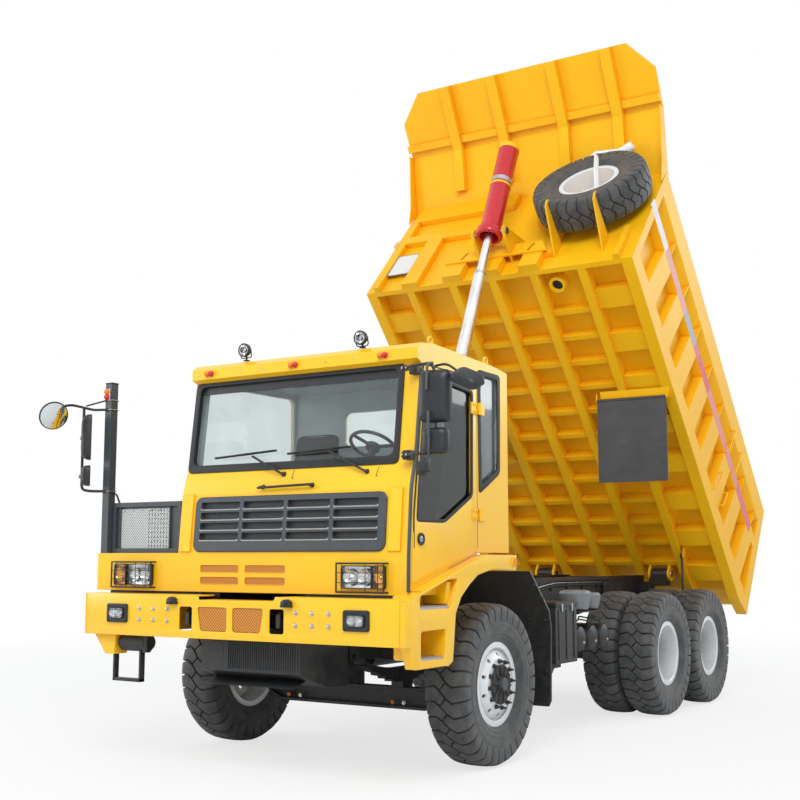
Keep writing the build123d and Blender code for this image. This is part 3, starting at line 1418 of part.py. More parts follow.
# ---------------------------------------------------------------- front end trim with form
louvre_columns, louvre_rows = 4, 4
louvre_width, louvre_height = 432, 64
louvre_pitch_x, louvre_pitch = 470, 88
louvre_rise, louvre_depth, louvre_lift = 24, 36, 18
with BuildPart() as grille:
    with BuildSketch(grille_face.offset(clear - grille_sunk)):
        RectangleRounded(grille_width, grille_height, 70)
    extrude(amount=grille_sunk + grille_proud - clear)
    chamfer(faces().sort_by(Axis(grille_face.origin, grille_face.z_dir))[-1].edges(), 8)
    # Four by four openings; the cut slopes so that each keeps a sloping sill.
    with BuildSketch(grille_face.offset(grille_proud)):
        for column in range(louvre_columns):
            for row in range(louvre_rows):
                with Locations((
                    (column - (louvre_columns - 1) / 2) * louvre_pitch_x,
                    (row - (louvre_rows - 1) / 2) * louvre_pitch + louvre_rise,
                )):
                    RectangleRounded(louvre_width, louvre_height, 10)
    extrude(
        amount=louvre_depth, dir=(grille_face.y_dir * louvre_lift - grille_face.z_dir * louvre_depth).normalized().to_tuple(),
        mode=Mode.SUBTRACT,
    )
save(grille.part, "grille")

# Headlights and fog lamps: a bezel, an indicator and a lamp that stand out of it.
lamp_sets = (
    # x, z, width, height, hand of the indicator
    (1076, 1596, 500, 250, 1),
    (-1410, 1612, 518, 238, -1),
)
fog_xs, fog_z, fog_width, fog_height = (1217, -1302), 1285, 240, 160
bezel, lamp_proud = 14, 16
with BuildPart() as headlights:
    for x, z, width, height, hand in lamp_sets:
        with BuildSketch(front(cab_face)):
            with Locations((x, z)):
                RectangleRounded(width, height, 50)
        extrude(amount=bezel)
        with BuildSketch(front(cab_face - bezel)):
            with Locations((x + hand * width * 0.33, z)):
                RectangleRounded(width * 0.27, height * 0.66, 24)
            with Locations((x - hand * width * 0.13, z)):
                RectangleRounded(width * 0.56, height * 0.66, 24)
        extrude(amount=lamp_proud, taper=12)
    for x in fog_xs:
        with BuildSketch(front(bumper_face)):
            with Locations((x, fog_z)):
                RectangleRounded(fog_width, fog_height, 30)
        extrude(amount=bezel)
        with BuildSketch(front(bumper_face - bezel)):
            with Locations((x, fog_z)):
                RectangleRounded(fog_width * 0.72, fog_height * 0.66, 20)
        extrude(amount=lamp_proud, taper=12)
save(headlights.part, "headlights")

# Two work lamps on stalks at the front of the roof.
roof_lamps_at = ((-306, 3568), (932, 3556))
roof_lamp_place, roof_lamp_radius, roof_lamp_depth, roof_stalk = -1250, 60, 74, 10
with BuildPart() as roof_lamps:
    for x, z in roof_lamps_at:
        with BuildSketch(front(roof_lamp_place - roof_lamp_depth / 2)):
            with Locations((x, z)):
                Circle(roof_lamp_radius)
        extrude(amount=-roof_lamp_depth * 0.6)
        with BuildSketch(front(roof_lamp_place + roof_lamp_depth * 0.1)):
            with Locations((x, z)):
                Circle(roof_lamp_radius)
        extrude(amount=-roof_lamp_depth * 0.4, taper=35)
        foot_z = roof_z(roof_lamp_place) + clear
        with Locations((x, y_of(roof_lamp_place), (z + foot_z + 5) / 2)):
            Cylinder(roof_stalk, z - foot_z - 5)
        roof_normal = Vector(0, roof_z(roof_lamp_place) - roof_z(roof_lamp_place + 1), 1).normalized()
        with BuildSketch(Plane(origin=(x, y_of(roof_lamp_place), foot_z), x_dir=(1, 0, 0), z_dir=roof_normal)):
            Circle(30)
        extrude(amount=9)
save(roof_lamps.part, "roof_lamps")

# ---------------------------------------------------------------- mirrors
with BuildPart() as right_mirrors:
    with BuildSketch(front(post_place - post_size / 2)):
        with Locations((post_x, 3190), (post_x, 2380)):
            Rectangle(60, 40)
    extrude(amount=70)
    with BuildLine():
        arm_line = FilletPolyline(
            (post_x, y_of(post_place - post_size / 2 - 60), 3190), (-2060, y_of(-1560), 3185),
            (-2060, y_of(-1560), 2390), (post_x, y_of(post_place - post_size / 2 - 60), 2380), radius=60,
        )
    with BuildSketch(Plane(origin=arm_line @ 0, z_dir=arm_line % 0)):
        Circle(14)
    sweep(path=arm_line)
    for z, height in ((2870, 440), (2505, 210)):
        turn = Plane(origin=(-2060, y_of(-1540), z), x_dir=(0.72, -0.69, 0), z_dir=(0.69, 0.72, 0))
        with BuildSketch(turn):
            RectangleRounded(230, height, 40)
        extrude(amount=60)
    with BuildLine():
        reach_line = Polyline((-2060, y_of(-1560), 3185), (-2075, y_of(-1850), 3120))
    with BuildSketch(Plane(origin=reach_line @ 0, z_dir=reach_line % 0)):
        Circle(12)
    sweep(path=reach_line)
    with BuildSketch(Plane(origin=(-2075, y_of(-1850), 3070), x_dir=(0.75, -0.66, 0), z_dir=(0.5, 0.6, -0.5))):
        Circle(135)
    extrude(amount=30)
save(right_mirrors.part, "right_mirrors")

mirror_place, pillar_bracket = -1450, 70


def pillar_face(z):
    """Front of the windscreen pillar at a height, as a distance behind the front axle."""
    (low_place, low), (high_place, high) = cab_profile[4], cab_profile[5]
    return low_place + (high_place - low_place) * (z - low) / (high - low)


with BuildPart() as left_mirrors:
    # Brackets on the front of the windscreen pillar.
    for low, high in ((2516, 2590), (3200, 3270)):
        with BuildSketch(side(cab_left - pillar_bracket)):
            with BuildLine():
                Polyline(
                    (mirror_place, low), (mirror_place, high), (pillar_face(high) - clear, high),
                    (pillar_face(low) - clear, low), close=True,
                )
            make_face()
        extrude(amount=pillar_bracket - 5)
    with BuildLine():
        left_arm = FilletPolyline(
            (cab_left - 30, y_of(mirror_place + 15), 3235), (1800, y_of(-1540), 3235), (1800, y_of(-1540), 2550),
            (cab_left - 30, y_of(mirror_place + 15), 2550), radius=60,
        )
    with BuildSketch(Plane(origin=left_arm @ 0, z_dir=left_arm % 0)):
        Circle(14)
    sweep(path=left_arm)
    for z, height in ((3010, 420), (2670, 230)):
        with BuildSketch(Plane(origin=(1800, y_of(-1535), z), x_dir=(1, 0, 0), z_dir=(0, 1, 0))):
            RectangleRounded(260, height, 40)
        extrude(amount=60)
    with BuildLine():
        kerb_arm = Polyline((1800, y_of(-1540), 3190), (2060, y_of(-1500), 3140))
    with BuildSketch(Plane(origin=kerb_arm @ 0, z_dir=kerb_arm % 0)):
        Circle(12)
    sweep(path=kerb_arm)
    with BuildSketch(Plane(origin=(2065, y_of(-1510), 3080), x_dir=(1, 0, 0), z_dir=(0, 0.5, -0.87))):
        RectangleRounded(270, 190, 60)
    extrude(amount=40)
save(left_mirrors.part, "left_mirrors")

# ---------------------------------------------------------------- inside the cab
floor_z = cab_sill + cab_wall
seat_xs, seat_width, seat_high = (880, -250), 480, 420
with BuildPart() as seats:
    for x in seat_xs:
        with Locations((x, y_of(-560), floor_z + seat_high / 2 + clear)):
            Box(seat_width, 480, seat_high)
        with BuildSketch(side(x - seat_width / 2 + 10)):
            with BuildLine():
                Polyline(
                    (-420, floor_z + seat_high - 20), (-300, floor_z + seat_high - 20),
                    (-170, floor_z + 1080), (-270, floor_z + 1080), close=True,
                )
            make_face()
        extrude(amount=seat_width - 20)
save(seats.part, "seats")

wheel_at = Vector(850, y_of(-950), 2690)
column_lean = radians(32)
column_dir = Vector(0, sin(column_lean), cos(column_lean))
wheel_major, wheel_minor, column_radius = 200, 15, 28
with BuildPart() as dash_panel:
    with BuildSketch(side(cab_right + cab_wall + clear)):
        with BuildLine():
            Polyline(
                (-1372, floor_z + clear), (-1327, 2420), (-1309, 2478), (-1200, 2496), (-1130, 2470), (-1120, 2380),
                (-1200, 2300), (-1230, floor_z + clear), close=True,
            )
        make_face()
    extrude(amount=cab_left - cab_right - 2 * cab_wall - 2 * clear)
    # Hood over the instruments, steering column, hub and wheel.
    with BuildSketch(side(wheel_at.X - 190)):
        with BuildLine():
            Polyline((-1300, 2470), (-1270, 2530), (-1150, 2540), (-1128, 2470), close=True)
        make_face()
    extrude(amount=380)
    column_foot = wheel_at - column_dir * 420
    with BuildSketch(Plane(origin=column_foot, x_dir=(1, 0, 0), z_dir=column_dir)):
        Circle(column_radius)
    extrude(amount=420)
    with BuildSketch(Plane(origin=wheel_at - column_dir * 30, x_dir=(1, 0, 0), z_dir=column_dir)):
        Circle(62)
    extrude(amount=36)
    wheel_plane = Plane(origin=wheel_at, x_dir=(1, 0, 0), z_dir=column_dir)
    with BuildSketch(Plane(origin=wheel_at, x_dir=(1, 0, 0), z_dir=wheel_plane.y_dir)):
        with Locations((wheel_major, 0)):
            Circle(wheel_minor)
    revolve(axis=Axis(wheel_at, column_dir))
    with BuildSketch(wheel_plane.offset(-14)):
        for turn in (0, 120, 240):
            with Locations(Rotation(0, 0, turn) * Pos(wheel_major / 2, 0)):
                Rectangle(wheel_major, 34)
    extrude(amount=12)
save(dash_panel.part, "dash_panel")
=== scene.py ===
# %% [markdown]
# # Mining dump truck with its bed raised
#
# A wide-body mining truck is a ladder frame that carries an offset cab, an open
# deck beside it, and a steel bed on a rear hinge with a telescopic hoist. The solid
# model fixes every size. This lesson dresses it: first the frame and the camera,
# then one finish at a time, and then the pieces that a fitter would bolt on last.

# %% Load the solid model
import bpy
import bmesh
from math import atan2, cos, hypot, pi, radians, sin, tau
from mathutils import Matrix, Vector


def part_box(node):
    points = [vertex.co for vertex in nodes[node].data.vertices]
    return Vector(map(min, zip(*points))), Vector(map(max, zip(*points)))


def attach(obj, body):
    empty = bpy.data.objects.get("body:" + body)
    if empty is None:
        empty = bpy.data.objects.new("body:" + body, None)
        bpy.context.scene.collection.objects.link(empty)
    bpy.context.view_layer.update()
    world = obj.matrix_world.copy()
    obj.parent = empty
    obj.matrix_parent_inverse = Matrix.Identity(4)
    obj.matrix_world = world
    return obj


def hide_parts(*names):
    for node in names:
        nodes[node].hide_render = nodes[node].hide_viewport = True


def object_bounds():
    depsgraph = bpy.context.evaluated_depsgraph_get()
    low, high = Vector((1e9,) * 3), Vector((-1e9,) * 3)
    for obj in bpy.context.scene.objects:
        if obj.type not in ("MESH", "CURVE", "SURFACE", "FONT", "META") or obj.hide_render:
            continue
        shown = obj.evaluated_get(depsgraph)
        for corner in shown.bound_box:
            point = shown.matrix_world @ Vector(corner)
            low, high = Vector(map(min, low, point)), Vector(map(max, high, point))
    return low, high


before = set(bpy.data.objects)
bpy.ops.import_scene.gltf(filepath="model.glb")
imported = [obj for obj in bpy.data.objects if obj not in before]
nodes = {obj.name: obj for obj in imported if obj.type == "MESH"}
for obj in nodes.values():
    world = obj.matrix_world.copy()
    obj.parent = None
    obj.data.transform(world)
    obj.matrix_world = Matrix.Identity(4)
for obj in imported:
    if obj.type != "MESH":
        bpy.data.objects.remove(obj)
cad_box = [list(corner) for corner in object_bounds()]
mm = 0.001

# %% [markdown]
# ## Places on the truck
#
# Heights are taken from the ground and lengths from the front axle, because that
# is how a chassis drawing gives them. The raised bed has its own two directions:
# u runs forward along its floor from the hinge, and v rises square to it.

# %% Directions of the truck and of the raised bed
tyre_radius = 0.685
front_axle = Vector((0, (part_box("tyre_front_left")[0].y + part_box("tyre_front_left")[1].y) / 2, tyre_radius))
bed_angle = radians(48.3)
hinge = Vector((0, front_axle.y + 5.788, 1.547))
bed_u = Vector((0, -cos(bed_angle), sin(bed_angle)))
bed_v = Vector((0, sin(bed_angle), cos(bed_angle)))


def at(x, along, z):
    """A place given as x, distance behind the front axle, and height, in metres."""
    return Vector((x, front_axle.y + along, z))


def bed(x, u, v):
    """A place on the raised bed, in metres."""
    return hinge + Vector((x, 0, 0)) + bed_u * u + bed_v * v


print("front axle at y", round(front_axle.y, 3), "bed hinge at", [round(c, 3) for c in hinge])

# %% [markdown]
# ## Camera and studio
#
# The truck is seen from its left front corner, from a little below the height of
# its bumper's top, through a slightly long lens. That keeps the uprights nearly
# parallel and lets the raised bed tower over the cab.

# %% Camera
camera_data = bpy.data.cameras.new("camera")
camera_data.lens = 54.17
camera_data.sensor_width = 36
camera_data.clip_end = 400
camera = bpy.data.objects.new("camera", camera_data)
camera.location = at(6.480, -9.320, 1.766)
camera.rotation_euler = (radians(90 + 7.425), 0, radians(32.666))
bpy.context.scene.collection.objects.link(camera)
bpy.context.scene.camera = camera
bpy.context.scene.view_settings.view_transform = "Standard"
print("camera", [round(c, 3) for c in camera.location], "lens", camera_data.lens)

# %% [markdown]
# ## Small helpers for finishes
#
# Colours on paper are written as sRGB hex, and a renderer works in linear light,
# so one function turns the first into the second. Another adds a shader node with
# its settings, values and wires in one line, which keeps every finish readable. Inputs
# come by name, or as a list in the node's own order: a Map Range takes its value, then
# the old range's two ends, then the new one's. A Mix has its share at 0 and its two
# colours at 6 and 7.

# %% Colour and node helpers


def linear(hex_colour, alpha=1.0):
    """sRGB hex to a linear colour."""
    parts = [int(hex_colour[i:i + 2], 16) / 255 for i in (0, 2, 4)]
    return (*[c / 12.92 if c <= 0.04045 else ((c + 0.055) / 1.055) ** 2.4 for c in parts], alpha)


def feed(node, inputs):
    """Gives inputs, by name or in order, a value or a wire; a node stands for its first output."""
    for name, given in inputs.items() if isinstance(inputs, dict) else enumerate(inputs):
        socket = node.inputs[name]
        source = given.outputs[0] if isinstance(given, bpy.types.Node) else given
        if isinstance(source, bpy.types.NodeSocket):
            node.id_data.links.new(source, socket)
        else:
            socket.default_value = source


def put(tree, kind, inputs=(), ramp=(), **settings):
    """Adds a node: settings are its options, inputs are fed to it, and ramp holds its colour stops."""
    made = tree.nodes.new(kind)
    for name, value in settings.items():
        setattr(made, name, value)
    feed(made, inputs)
    for i, (place, colour) in enumerate(ramp):
        stop = made.color_ramp.elements[i] if i < 2 else made.color_ramp.elements.new(place)
        stop.position = place
        stop.color = colour
    return made


def new_finish(name):
    """A material, its node tree, its Principled shader, and the place of each point on the object."""
    finish = bpy.data.materials.new(name)
    finish.use_nodes = True
    tree = finish.node_tree
    return finish, tree, tree.nodes["Principled BSDF"], put(tree, "ShaderNodeTexCoord").outputs["Object"]


print("yellow in linear light", [round(c, 3) for c in linear("F7BE26")[:3]])

# %% [markdown]
# ## Light
#
# An overcast sky with one broad soft lamp suits painted steel: it shows the folds
# and the ribs without hard black shadows. The camera, mirrors and glass see plain
# white where there is no object, as they would in a white studio.

# %% World
world = bpy.data.worlds.new("sky")
world.use_nodes = True
bpy.context.scene.world = world
tree = world.node_tree
tree.nodes.clear()
path = put(tree, "ShaderNodeLightPath")
seen = put(tree, "ShaderNodeMath", [path.outputs["Is Camera Ray"], path.outputs["Is Transmission Ray"]],
           operation="MAXIMUM")
seen = put(tree, "ShaderNodeMath", [seen, path.outputs["Is Glossy Ray"]], operation="MAXIMUM")
sky = put(tree, "ShaderNodeBackground", {"Color": linear("DCE4EC"), "Strength": 0.74})
white = put(tree, "ShaderNodeBackground", {"Color": (1, 1, 1, 1), "Strength": 1.0})
both = put(tree, "ShaderNodeMixShader", [seen, sky, white])
put(tree, "ShaderNodeOutputWorld", {"Surface": both})
print("the sky is pale blue on the truck and white behind it")

# %% Lamps
middle = (Vector(cad_box[0]) + Vector(cad_box[1])) / 2
for name, place, size, power in (
    ("key", (6.5, -13.0, 13.0), 9.0, 1500),
    ("fill", (-12.0, -9.0, 6.0), 8.0, 520),
    ("rear", (9.0, 12.0, 9.0), 8.0, 500),
):
    lamp_data = bpy.data.lights.new(name, "AREA")
    lamp_data.shape = "DISK"
    lamp_data.size = size
    lamp_data.energy = power
    lamp = bpy.data.objects.new(name, lamp_data)
    lamp.location = place
    lamp.rotation_euler = (middle - Vector(place)).to_track_quat("-Z", "Y").to_euler()
    bpy.context.scene.collection.objects.link(lamp)
print("three soft lamps")

# %% Floor
floor_mesh = bpy.data.meshes.new("studio_floor")
reach = 150
floor_mesh.from_pydata([(-reach, -reach, 0), (reach, -reach, 0), (reach, reach, 0), (-reach, reach, 0)], [],
                       [(0, 1, 2, 3)])
studio_floor = bpy.data.objects.new("studio_floor", floor_mesh)
bpy.context.scene.collection.objects.link(studio_floor)
pale_floor, tree, shader, place = new_finish("pale_painted_floor")
feed(shader, {"Roughness": 0.9, "Specular IOR Level": 0.1, "Base Color": linear("F4F4F4")})
lift = put(tree, "ShaderNodeLightPath")
glow = put(tree, "ShaderNodeEmission", {"Color": (1, 1, 1, 1), "Strength": 1.0})
# Near the truck the floor keeps its shadow; far away it fades into the white behind it.
away = put(tree, "ShaderNodeVectorMath", [place], operation="LENGTH")
fade = put(tree, "ShaderNodeMapRange", [away.outputs["Value"], 6.0, 16.0, 0.72])
share = put(tree, "ShaderNodeMath", [lift.outputs["Is Camera Ray"], fade], operation="MULTIPLY")
both = put(tree, "ShaderNodeMixShader", [share, shader, glow])
feed(tree.nodes["Material Output"], {"Surface": both})
floor_mesh.materials.append(pale_floor)
print("floor", 2 * reach, "m across")

# %% [markdown]
# ## Sprayed enamel
#
# The truck is sprayed with thick alkyd enamel. It dries to a faint orange-peel skin,
# its colour drifts a little from panel to panel, dust settles low down, and painted shade
# darkens the corners. Real sheet edges are rounded, so the Bevel node softens them in the light.

# %% Enamel


def enamel(name, colour, deep, rough=0.3, peel=0.1, dust=0.25, dust_colour="B9A98C", metal=0.0, edge=5 * mm,
           painted_shade=0.55, shine=1.5):
    """Sprayed enamel: colour drifting to deep, orange peel, dust low down and painted shade in the corners."""
    finish, tree, shader, place = new_finish(name)
    drift = put(tree, "ShaderNodeTexNoise",
                {"Scale": 1 / 1.1, "Detail": 3.0, "Roughness": 0.6, "Vector": place})
    drift = put(tree, "ShaderNodeMapRange", [drift, 0.35, 0.7, 0.0, 0.55])
    body = put(tree, "ShaderNodeMix", {0: drift, 6: linear(colour), 7: linear(deep)}, data_type="RGBA")
    # Dust: patches 90 mm wide, thicker near the ground.
    height = put(tree, "ShaderNodeSeparateXYZ", [place])
    low = put(tree, "ShaderNodeMapRange", [height.outputs["Z"], 0.2, 1.7, 1.0, 0.18])
    patch = put(tree, "ShaderNodeTexNoise",
                {"Scale": 1 / 0.09, "Detail": 6.0, "Roughness": 0.65, "Vector": place})
    patch = put(tree, "ShaderNodeMapRange", [patch, 0.42, 0.78, 0.0, dust])
    thick = put(tree, "ShaderNodeMath", [patch, low], operation="MULTIPLY")
    dusty = put(tree, "ShaderNodeMix", {0: thick, 6: body.outputs[2], 7: linear(dust_colour)},
                data_type="RGBA")
    # Painted shade: where two plates meet, ambient occlusion darkens the enamel towards its deep colour.
    corner = put(tree, "ShaderNodeAmbientOcclusion", {"Distance": 45 * mm}, samples=4, only_local=True)
    shade = put(tree, "ShaderNodeMapRange", [corner.outputs["AO"], 0.35, 0.95, painted_shade, 0.0])
    dusty_and_shaded = put(tree, "ShaderNodeMix", {0: shade, 6: dusty.outputs[2], 7: linear(deep)},
                data_type="RGBA", blend_type="MULTIPLY")
    gloss = put(tree, "ShaderNodeMapRange", [thick, 0.0, 0.5, rough, rough + 0.3])
    round_edge = put(tree, "ShaderNodeBevel", {"Radius": edge}, samples=4)
    # Orange peel: dimples 9 mm across.
    skin = put(tree, "ShaderNodeTexNoise", {"Scale": 1 / (9 * mm), "Detail": 2.0, "Vector": place})
    bump = put(tree, "ShaderNodeBump", {"Strength": peel, "Distance": 0.4 * mm, "Height": skin,
                                        "Normal": round_edge})
    feed(shader, {"Base Color": dusty_and_shaded.outputs[2], "Roughness": gloss, "Normal": bump, "IOR": shine,
                  "Metallic": metal, "Coat Weight": 0.25 if rough < 0.35 else 0.0, "Coat Roughness": 0.12})
    return finish


print("enamel recipe ready")

# %% The truck's enamels
enamel_yellow = enamel("enamel_yellow", "FFC90E", "FBBB10")
# The bed's enamel is the truck's yellow painted darker and more orange, as shade over the whole raised bed.
enamel_bed_shaded = enamel("enamel_bed_shaded", "FBC010", "F3AE0E", rough=0.42, peel=0.16, dust=0.1, shine=1.34)
enamel_black = enamel("enamel_black", "242628", "141516", rough=0.42, dust=0.45, dust_colour="5C564C",
                      painted_shade=0.2)
enamel_charcoal = enamel("enamel_charcoal", "44494D", "33373A", rough=0.4, dust=0.25, dust_colour="6C685F",
                         painted_shade=0.3)
enamel_grey = enamel("enamel_grey", "767C80", "5D6265", rough=0.38, dust=0.3)
enamel_silver = enamel("enamel_silver", "ECEEEF", "D6D9DA", rough=0.33, dust=0.3, metal=0.25, painted_shade=0.7)
enamel_red = enamel("enamel_red", "D4202F", "B01625", rough=0.18, peel=0.05, dust=0.08, painted_shade=0.3)
enamel_white = enamel("enamel_white", "E9E9E6", "D2D2CE", rough=0.3, dust=0.2, painted_shade=0.4)
cast_iron = enamel("cast_iron", "2A2B2C", "1A1B1B", rough=0.6, peel=0.6, dust=0.5, dust_colour="6B6252",
                   painted_shade=0.3)
print("nine enamels")

# %% The cab's lining
# The cab is the same yellow outside and has a pale grey-blue lining inside, told apart by place.
enamel_cab = enamel("enamel_yellow_lined", "FFC90E", "FBBB10")
tree = enamel_cab.node_tree
shader = tree.nodes["Principled BSDF"]
outside = shader.inputs["Base Color"].links[0].from_socket
place = put(tree, "ShaderNodeSeparateXYZ", [put(tree, "ShaderNodeTexCoord").outputs["Object"]])
cab_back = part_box("cab_shell")[1].y
# Inside is between the side walls, over the floor, under the roof, and behind the leaning front sheet.
between = put(tree, "ShaderNodeMath", [place.outputs["X"], 0.3325, 1.160], operation="COMPARE")
above = put(tree, "ShaderNodeMath", [place.outputs["Z"], 2.630, 0.785], operation="COMPARE")
ahead = put(tree, "ShaderNodeMath", [place.outputs["Y"], cab_back - 0.030], operation="LESS_THAN")
lean = put(tree, "ShaderNodeMath", [place.outputs["Z"], -0.1218, place.outputs["Y"]],
           operation="MULTIPLY_ADD")
behind = put(tree, "ShaderNodeMath", [lean, front_axle.y - 1.620], operation="GREATER_THAN")
inside = put(tree, "ShaderNodeMath", [between, above], operation="MULTIPLY")
inside = put(tree, "ShaderNodeMath", [inside, ahead], operation="MULTIPLY")
inside = put(tree, "ShaderNodeMath", [inside, behind], operation="MULTIPLY")
lined = put(tree, "ShaderNodeMix", {0: inside, 6: outside, 7: linear("DCE6E8")}, data_type="RGBA")
feed(shader, {"Base Color": lined.outputs[2]})
print("cab lined")

# %% [markdown]
# ## Bare and plated metal
#
# The hoist's stages are ground steel with hard chrome, which shows a fine round
# grinding pattern. Treads and bright bolts are zinc plated, with the cloudy
# spangle of a galvanising bath.

# %% Plated metals


def plated(name, colour, rough, grain, spread=0.12):
    """Metal with a grain: cloudy patches of that size in metres, which change its shine."""
    finish, tree, shader, place = new_finish(name)
    cloud = put(tree, "ShaderNodeTexNoise",
                {"Scale": 1 / grain, "Detail": 5.0, "Roughness": 0.6, "Vector": place})
    tone = put(tree, "ShaderNodeValToRGB", [cloud],
               ramp=((0.3, [c * 0.78 for c in linear(colour)[:3]] + [1]), (0.7, linear(colour))))
    gloss = put(tree, "ShaderNodeMapRange", [cloud, 0.0, 1.0, rough, rough + spread])
    bump = put(tree, "ShaderNodeBump", {"Strength": 0.08, "Distance": 0.3 * mm, "Height": cloud})
    feed(shader, {"Base Color": tone, "Roughness": gloss, "Normal": bump, "Metallic": 1.0})
    return finish


hard_chrome = plated("hard_chrome", "F6F7F8", 0.24, 0.35, 0.06)
zinc_plate = plated("zinc_plate", "C3C6C8", 0.3, 0.02)
bright_reflector = plated("bright_reflector", "F4F5F6", 0.04, 0.05, 0.03)
print("metals ready")

# %% [markdown]
# ## Rubber and plastic
#
# Tyre rubber is never pure black: scuffs and dried mud lighten it. Mirror housings
# and seals are moulded black plastic or rubber with a fine leather-like grain.

# %% Rubber and moulded plastic


def moulded(name, colour, worn, rough, grain, bump_depth=0.25 * mm, sheen=0.0, wear=0.5, patch_size=0.12):
    """Moulded rubber or plastic: a grain of that size, and patches worn to a paler colour."""
    finish, tree, shader, place = new_finish(name)
    patch = put(tree, "ShaderNodeTexNoise",
                {"Scale": 1 / patch_size, "Detail": 6.0, "Roughness": 0.7, "Vector": place})
    scuff = put(tree, "ShaderNodeMapRange", [patch, 0.4, 0.75, 0.0, wear])
    tone = put(tree, "ShaderNodeMix", {0: scuff, 6: linear(colour), 7: linear(worn)}, data_type="RGBA")
    fine = put(tree, "ShaderNodeTexNoise", {"Scale": 1 / grain, "Detail": 3.0, "Vector": place})
    bump = put(tree, "ShaderNodeBump", {"Strength": 0.5, "Distance": bump_depth, "Height": fine})
    gloss = put(tree, "ShaderNodeMapRange", [patch, 0.0, 1.0, rough - 0.08, rough + 0.12])
    feed(shader, {"Base Color": tone.outputs[2], "Normal": bump, "Roughness": gloss, "Sheen Weight": sheen})
    return finish


tyre_rubber = moulded("tyre_rubber", "36383B", "66645E", 0.62, 4 * mm, sheen=0.15, wear=0.75)
flap_rubber = moulded("flap_rubber", "38393C", "545452", 0.5, 3 * mm, wear=0.6, patch_size=0.3)
seal_rubber = moulded("seal_rubber", "17181A", "2C2D2E", 0.55, 2 * mm)
abs_black = moulded("abs_black", "1C1E20", "34373A", 0.42, 1.5 * mm, wear=0.4)
abs_slate = moulded("abs_slate", "3F4549", "50565B", 0.4, 1.5 * mm, wear=0.45)
acrylic_amber = moulded("acrylic_amber", "EF8410", "F29A2A", 0.2, 1.5 * mm, wear=0.4, patch_size=0.04)
acrylic_red = moulded("acrylic_red", "D3262E", "DE4A4A", 0.2, 1.5 * mm, wear=0.4, patch_size=0.04)
print("rubber and plastic ready")

# %% [markdown]
# ## Glass and lenses
#
# The windows are tempered glass with a light grey-green tint, which darkens the
# cab behind. Lamp lenses are moulded acrylic, clear or amber, with flutes that
# spread the beam, drawn here as waves 14 mm apart.

# %% Glass, lenses and mirror


def glazing(name, colour, rough=0.02, flute=0.0, smudge=0.03, mirror=False):
    """Clear or tinted glass with faint smudges, and flutes if their spacing in metres is given."""
    finish, tree, shader, place = new_finish(name)
    film = put(tree, "ShaderNodeTexNoise", {"Scale": 1 / 0.3, "Detail": 4.0, "Vector": place})
    tone = put(tree, "ShaderNodeValToRGB", [film],
               ramp=((0.3, [c * 0.9 for c in linear(colour)[:3]] + [1]), (0.75, linear(colour))))
    gloss = put(tree, "ShaderNodeMapRange", [film, 0.0, 1.0, rough, rough + smudge])
    if flute:
        # A wave texture of scale 1 repeats every tau / 20 metres.
        wave = put(tree, "ShaderNodeTexWave", {"Scale": tau / 20 / flute, "Vector": place},
                   wave_type="BANDS", bands_direction="X")
        bump = put(tree, "ShaderNodeBump",
                   {"Strength": 0.5, "Distance": 1.5 * mm, "Height": wave.outputs["Fac"]})
        feed(shader, {"Normal": bump})
    feed(shader, {"Base Color": tone, "Roughness": gloss, "Metallic": 1.0 if mirror else 0.0,
                  "Transmission Weight": 0.0 if mirror else 1.0, "IOR": 1.5})
    return finish


window_glass = glazing("window_glass", "EDF4F4")
side_glass = glazing("side_glass", "5E676B")
lens_clear = glazing("lens_clear", "F2F4F4", rough=0.05, flute=14 * mm)
lens_orange = glazing("lens_orange", "FFD898", rough=0.06, flute=14 * mm)
mirror_glass = glazing("mirror_glass", "D8DCDD", mirror=True)
print("glass ready")

# %% [markdown]
# ## Seat cloth
#
# The driver's seat is covered in a hard-wearing woven cloth. Two crossed waves, one
# for each set of threads, give the weave; 3 mm threads are coarser than the real
# ones so that they still show.

# %% Seat cloth
seat_cloth, tree, shader, place = new_finish("seat_cloth_woven")
warp = put(tree, "ShaderNodeTexWave", {"Scale": 55.0, "Distortion": 1.0, "Vector": place},
           bands_direction="X")
weft = put(tree, "ShaderNodeTexWave", {"Scale": 55.0, "Distortion": 1.0, "Vector": place},
           bands_direction="Z")
weave = put(tree, "ShaderNodeMath", [warp.outputs["Fac"], weft.outputs["Fac"]], operation="MULTIPLY")
tone = put(tree, "ShaderNodeMix", {0: weave, 6: linear("26282B"), 7: linear("55595E")}, data_type="RGBA")
bump = put(tree, "ShaderNodeBump", {"Strength": 0.5, "Distance": 0.6 * mm, "Height": weave})
feed(shader, {"Base Color": tone.outputs[2], "Normal": bump, "Roughness": 0.9, "Sheen Weight": 0.3})
print("cloth ready")

# %% [markdown]
# ## Dress the solids
#
# Each solid that is kept gets the finish of the real part. The list goes by the
# names in the solid model.

